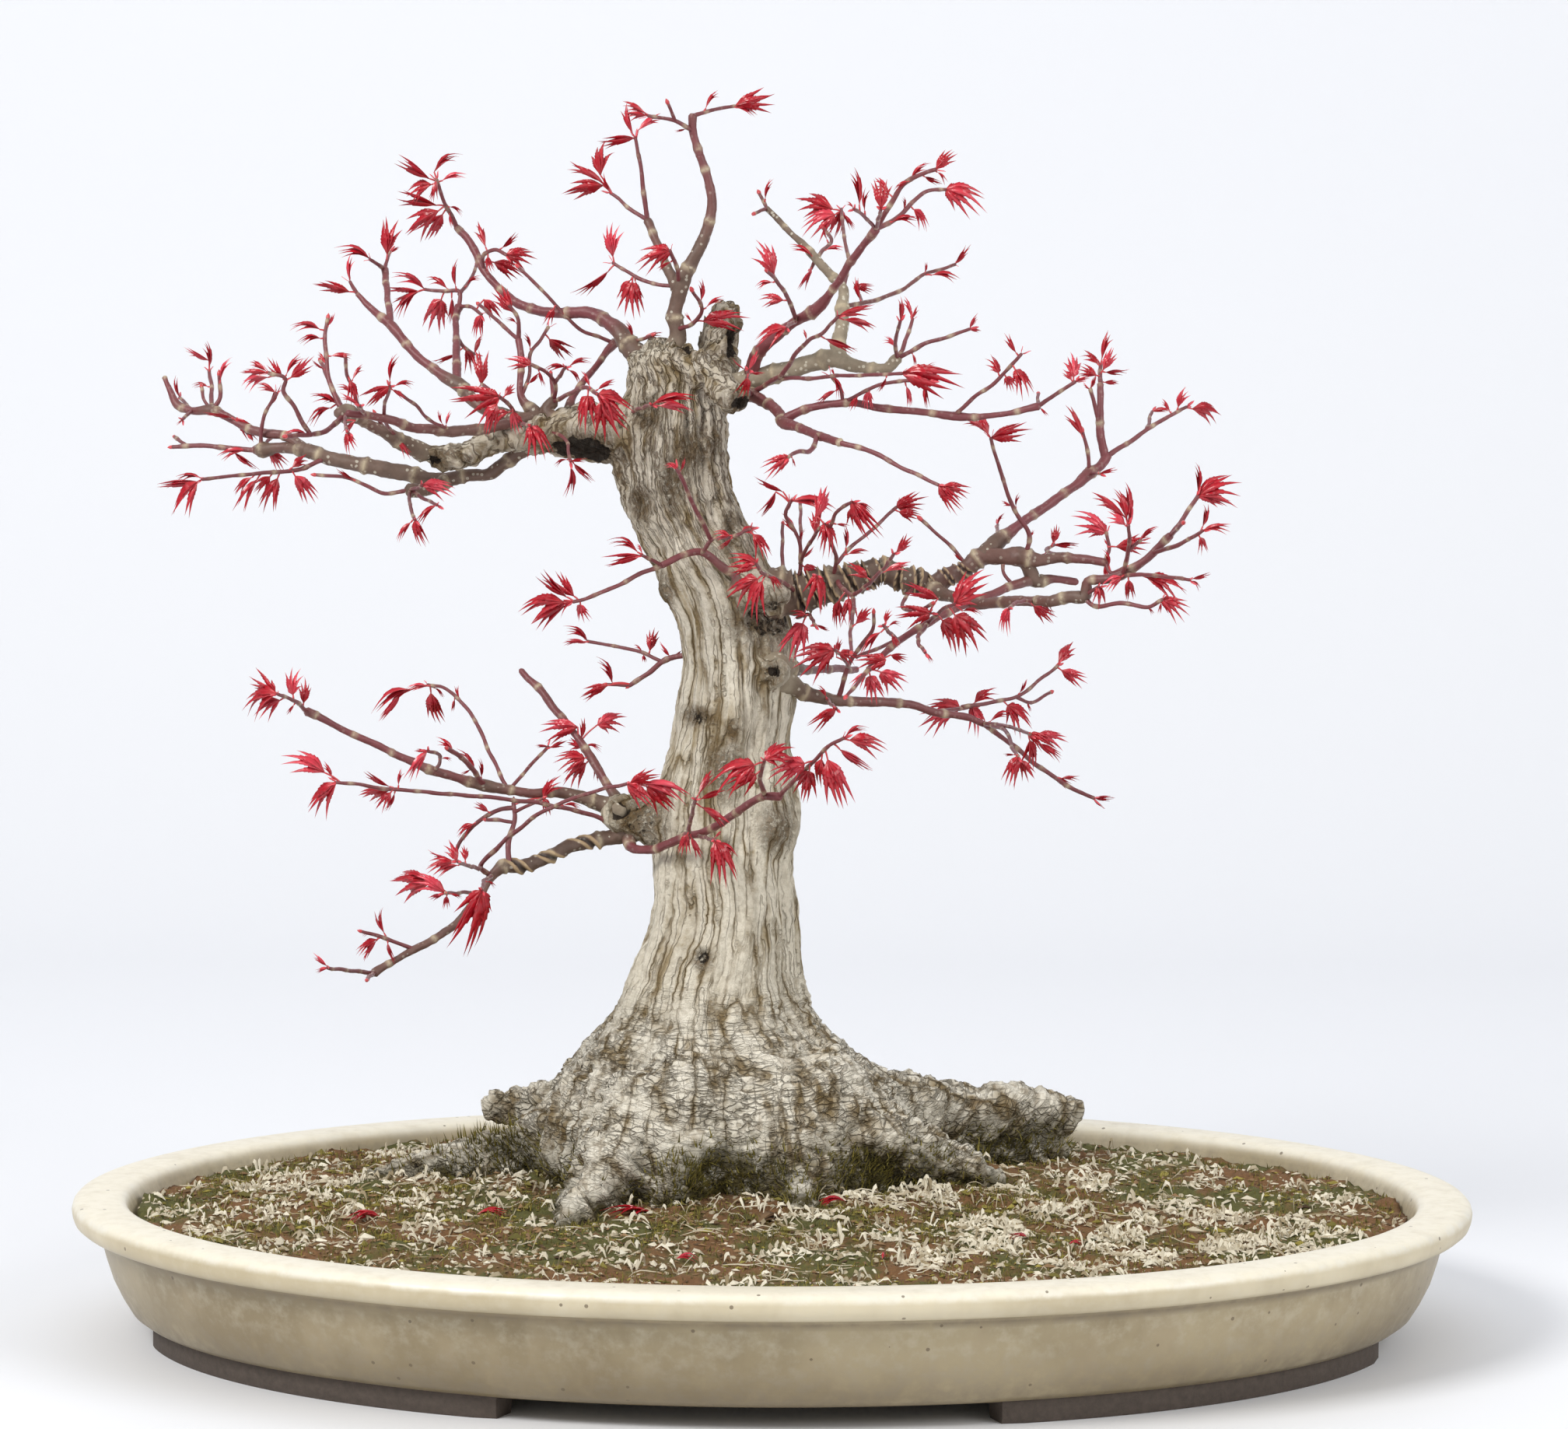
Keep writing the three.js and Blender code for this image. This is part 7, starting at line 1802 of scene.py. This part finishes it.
def leaf(foot, tip, flat, face, kind, seed):
    """The fingers of one leaf. flat and face are the directions across its blade and out of it."""
    count, angle, wide, fold, curl = KINDS[kind]
    length = np.linalg.norm(tip - foot) * FURTHER_OPEN
    along = unit(tip - foot)
    shape = SPEAR if kind == 3 else FINGER
    t = shape[:, 0][:, None]
    tone = 0.15 + 0.7 * chance(seed, 3.1)
    fingers = []
    for k in range(count):
        i = k - (count - 1) / 2
        luck = chance(seed, k, 5)
        reach = length * (1 - 0.075 * abs(i) ** 1.5) * (0.93 + 0.1 * luck)
        if kind == 7 and abs(i) == 3:
            reach *= 0.72
        turn = math.radians(i * angle + 5 * (luck - 0.5))
        if kind == 3:
            start = along * t * reach * 0.98
            out = flat * np.sin(turn) * reach * t ** (1.25) * 1.15
            rest = face * (((k * 2) % count - 2) * 0.028 * reach * np.sin(t * 2.6))
        else:
            start = (along * math.cos(turn) + flat * math.sin(turn)) * t * reach
            out = flat * (0.07 * reach * (luck - 0.5)) * t**3
            ripple = face * 0.012 * reach * (1 if k % 2 else -1) * np.sin(t * 3)
            rest = -face * 0.06 * reach * abs(i) * t**2 + ripple
        sway = flat * 0.2 * reach * (chance(seed, k, 9) - 0.5) * t**3
        sag = 0.05 * abs(i) * t**2 - (0.04 + 0.08 * luck) * np.sin(t * math.pi)
        hang = -face * curl * reach * (0.5 + luck) * t**2.5 + sway - UP * reach * sag
        middle = foot + start + out + rest + hang
        side = flat * math.cos(turn) - along * math.sin(turn)
        half = (shape[:, 1] * wide * length)[:, None]
        lift = half * fold
        thin = np.maximum(half * LENS * 0.34, 0.05)
        rows = np.stack([middle - side * half + face * lift, middle + face * thin,
                         middle + side * half + face * lift, middle - face * thin], 1)
        vein = np.tile([0, 1, 0, 1], len(shape)) * np.repeat(1 - shape[:, 0], 4)
        fingers.append(shell(rows.reshape(-1, 3), ring_faces(len(shape), 4), 1, ring=vein,
                             along=np.repeat(shape[:, 0], 4), tone=np.clip(tone + 0.25 * (luck - 0.5), 0, 1)))
    return fingers


def stalk(start, end, thick=0.45):
    bow = UP * 0.06 * np.linalg.norm(end - start)
    line = smooth_line([start, (start + end) / 2 + bow, end], 1.6)
    return tube(line, np.linspace(thick, thick * 0.75, len(line)), 5, None, 1, tone=0.35, along=0.1)


def bracts(place, along, seed):
    """The two scales that held the bud. They turn pink and fold back as the leaves come out."""
    scales = []
    for k in (0, 1):
        turn = math.pi * (k + 0.4 * chance(seed, k))
        side = unit(np.cross(along, [0.3, 1.0, 0.2]))
        up = np.cross(along, side)
        way = side * math.cos(turn) + up * math.sin(turn)
        line = place + [way * out + along * on for out, on in ((0, 0), (0.9, 1.2), (1.5, 2.7), (2.0, 3.6))]
        across = np.cross(way, along)
        half = np.array([0.25, 0.65, 0.5, 0.06])[:, None]
        rows = np.stack([line - across * half, line + way * 0.15, line + across * half, line - way * 0.12], 1)
        scales.append(shell(rows.reshape(-1, 3), ring_faces(4, 4), 1, tone=1.0, along=0.1))
    return scales


def bud(place, along, seed):
    size = 0.75 + 0.3 * chance(seed, 2)
    line = place + along * np.array([-0.3, 0.5, 1.3, 2.0, 2.6])[:, None] * size
    return tube(line, np.array([0.75, 0.95, 0.85, 0.5, 0.12]) * size, 7, None, 1, tone=0.25, along=0.0)


print("leaf fingers:", {kind: numbers[0] for kind, numbers in KINDS.items()})

# %% [markdown]
# ## Where a leaf hangs
# A leaf is written with its foot and its tip, as the eye sees them. The one nearest to the end of its
# twig grows from the end itself. The others hang on a thin red stalk from the nearest joint. Their lean
# to the front or the back, and the turn of the blade, follow the same rule as in the solids, so that each
# leaf lies where its solid does. The solids keep only some of the leaves. Those come first in the count.

# %% Twigs and leaves of a spray
KEEP = {3: 0.25, 5: 0.46, 7: 0.9}
STALK_FROM = 3.6
THINNER = 0.87


def in_solids(one):
    foot_x, foot_z, tip_x, tip_z, kind = one
    return chance(foot_x + tip_x, foot_z - tip_z, 2) < KEEP[kind]


def leaf_at(one, order, spot, at_end):
    foot_x, foot_z, tip_x, tip_z, kind = one
    size = math.hypot(tip_x - foot_x, tip_z - foot_z)
    lean = ((order % 3) - 1) * 0.3 * size + (chance(foot_x, tip_z) - 0.5) * size * 0.2
    roll = (chance(tip_x, foot_z, 1) - 0.5) * (2.4 if kind == 3 else 1.2)
    x, z, depth = spot
    tip = seen(tip_x, tip_z, depth + lean)
    shells = []
    if at_end:
        foot = seen(x, z, depth)
    else:
        if math.hypot(foot_x - x, foot_z - z) < STALK_FROM:
            hold = (x + (tip_x - x) * 0.18, z + (tip_z - z) * 0.18, depth + lean * 0.2)
        else:
            hold = (foot_x, foot_z, depth + lean * 0.2)
        foot = seen(*hold)
        shells.append(stalk(seen(x, z, depth), foot))
    along = unit(tip - foot)
    flat = unit(np.cross(along, EYE - foot))
    flat = np.array(Matrix.Rotation(roll, 3, Vector(along)) @ Vector(flat))
    face = np.cross(flat, along)
    return shells + leaf(foot, tip, flat, face, kind, foot_x + 2 * tip_z)


def spray_shells(name):
    own = list(limb_routes.get(name, []))
    tint = TINTS.get(name, 0.0)
    shells = [wood(route, 1.4, 11, tint, 17) for route in own]
    for row in SPRAYS[name]:
        route = twig_route(row, own + all_limbs)
        own.append(route)
        thin = [(*place[:3], place[3] * THINNER) for place in route]
        shells.append(wood(thin, 1.5, 7, tint * 0.5 - 0.05, 15))
        leaves = row[2:]
        end_x, end_z, end_depth, _ = route[-1]
        end = seen(end_x, end_z, end_depth)
        heading = unit(end - seen(*route[-2][:3]))
        away = [math.hypot(one[0] - end_x, one[1] - end_z) for one in leaves]
        first = sorted(range(len(leaves)), key=lambda i: (not in_solids(leaves[i]), i))
        last = min(first, key=lambda i: (not in_solids(leaves[i]), away[i])) if leaves else None
        near_end = False
        for order, i in enumerate(first):
            at_end = i == last and away[i] < STALK_FROM
            near_end = near_end or away[i] < STALK_FROM
            if at_end:
                spot = (end_x, end_z, end_depth)
            else:
                _, spot, share = closest(route, *leaves[i][:2])
                if share > 0.97:
                    spot = tuple(a * 0.9 + b * 0.1 for a, b in zip(spot, route[-2][:3]))
            shells += leaf_at(leaves[i], order, spot, at_end)
        if near_end:
            shells += bracts(end, heading, end_x)
        else:
            shells.append(bud(end, heading, end_x))
    return shells


spray_pieces = []
for name in SPRAYS:
    shells = spray_shells(name)
    spray_pieces.append(make_piece(name + "_spray", shells, [twig_wood, leaf_red], [name]))
print("sprays:", len(spray_pieces), "triangles:", sum(triangles(p) for p in spray_pieces))

# %% [markdown]
# ## Fallen leaves and a seedling
# A few young leaves lie on the soil where they dropped, still crimson, and one from last year is brown.
# In front of the roots a seedling has come up on a mauve stem. They are made with the same fingers.

# %% Things on the soil
# x, y, heading in degrees, length, kind of leaf, size of the tilt
FALLEN = [(-154, -43, 200, 15, 3, 0.5), (-116, -43, 20, 13, 3, 0.5), (-48, -51, 170, 20, 7, 0.35),
          (41, 30, 30, 15, 5, 0.4), (29, -26, 200, 12, 3, 0.5), (-36, -118, 10, 9, 3, 0.4),
          (42, -113, 80, 8, 3, 0.5), (115, -124, 100, 8, 5, 0.4), (114, -89, 30, 7, 3, 0.4),
          (98, -83, 150, 8, 5, 0.4)]


def lying_leaf(x, y, heading, length, kind, tilt, seed):
    height = float(ground(x, y)) + relief(x, y) + 1.3
    foot = np.array([x, y, height])
    turn = math.radians(heading)
    along = np.array([math.cos(turn), math.sin(turn), 0.12])
    flat = unit(np.cross([0, tilt * math.sin(seed), 1.0], along))
    face = np.cross(flat, along)
    return leaf(foot, foot + along * length, flat, face * (1 if face[2] > 0 else -1), kind, seed)


def make_fallen():
    shells = []
    for i, row in enumerate(FALLEN):
        shells += lying_leaf(*row, seed=i + 0.7)
    for part in shells:
        part["material"] = 0
    make_piece("fallen_leaves", shells, [leaf_red])
    brown = lying_leaf(-5, -57, 60, 19, 5, 0.9, 12.3)
    make_piece("last_years_leaf", [dict(part, material=0) for part in brown], [crumb_paint])
    foot = np.array([-35.0, -4.0, float(ground(-35, -4)) + 1])
    line = smooth_line([foot, foot + (1, 0, 5), foot + (-1, -1, 10)], 1)
    stem = tube(line, np.linspace(0.5, 0.35, len(line)), 6, None, 0, age=0.0)
    top = line[-1]
    green = []
    for turn in (0.3, 2.3, 4.2):
        way = np.array([math.cos(turn), 0.5 * math.sin(turn), 0.6])
        flat = unit(np.cross([0, -0.4, 1.0], way))
        fingers = leaf(top, top + way * 4, flat, np.cross(flat, way), 3, turn)
        green += [dict(part, material=1) for part in fingers]
    make_piece("seedling", [stem] + green, [twig_wood, moss_paint])


make_fallen()
print("lying on the soil:", len(FALLEN), "fallen leaves")

# %% Finish
total = sum(triangles(o) for o in bpy.data.objects if o.type == "MESH" and o.name != "studio_floor")
print("triangles in all:", total)
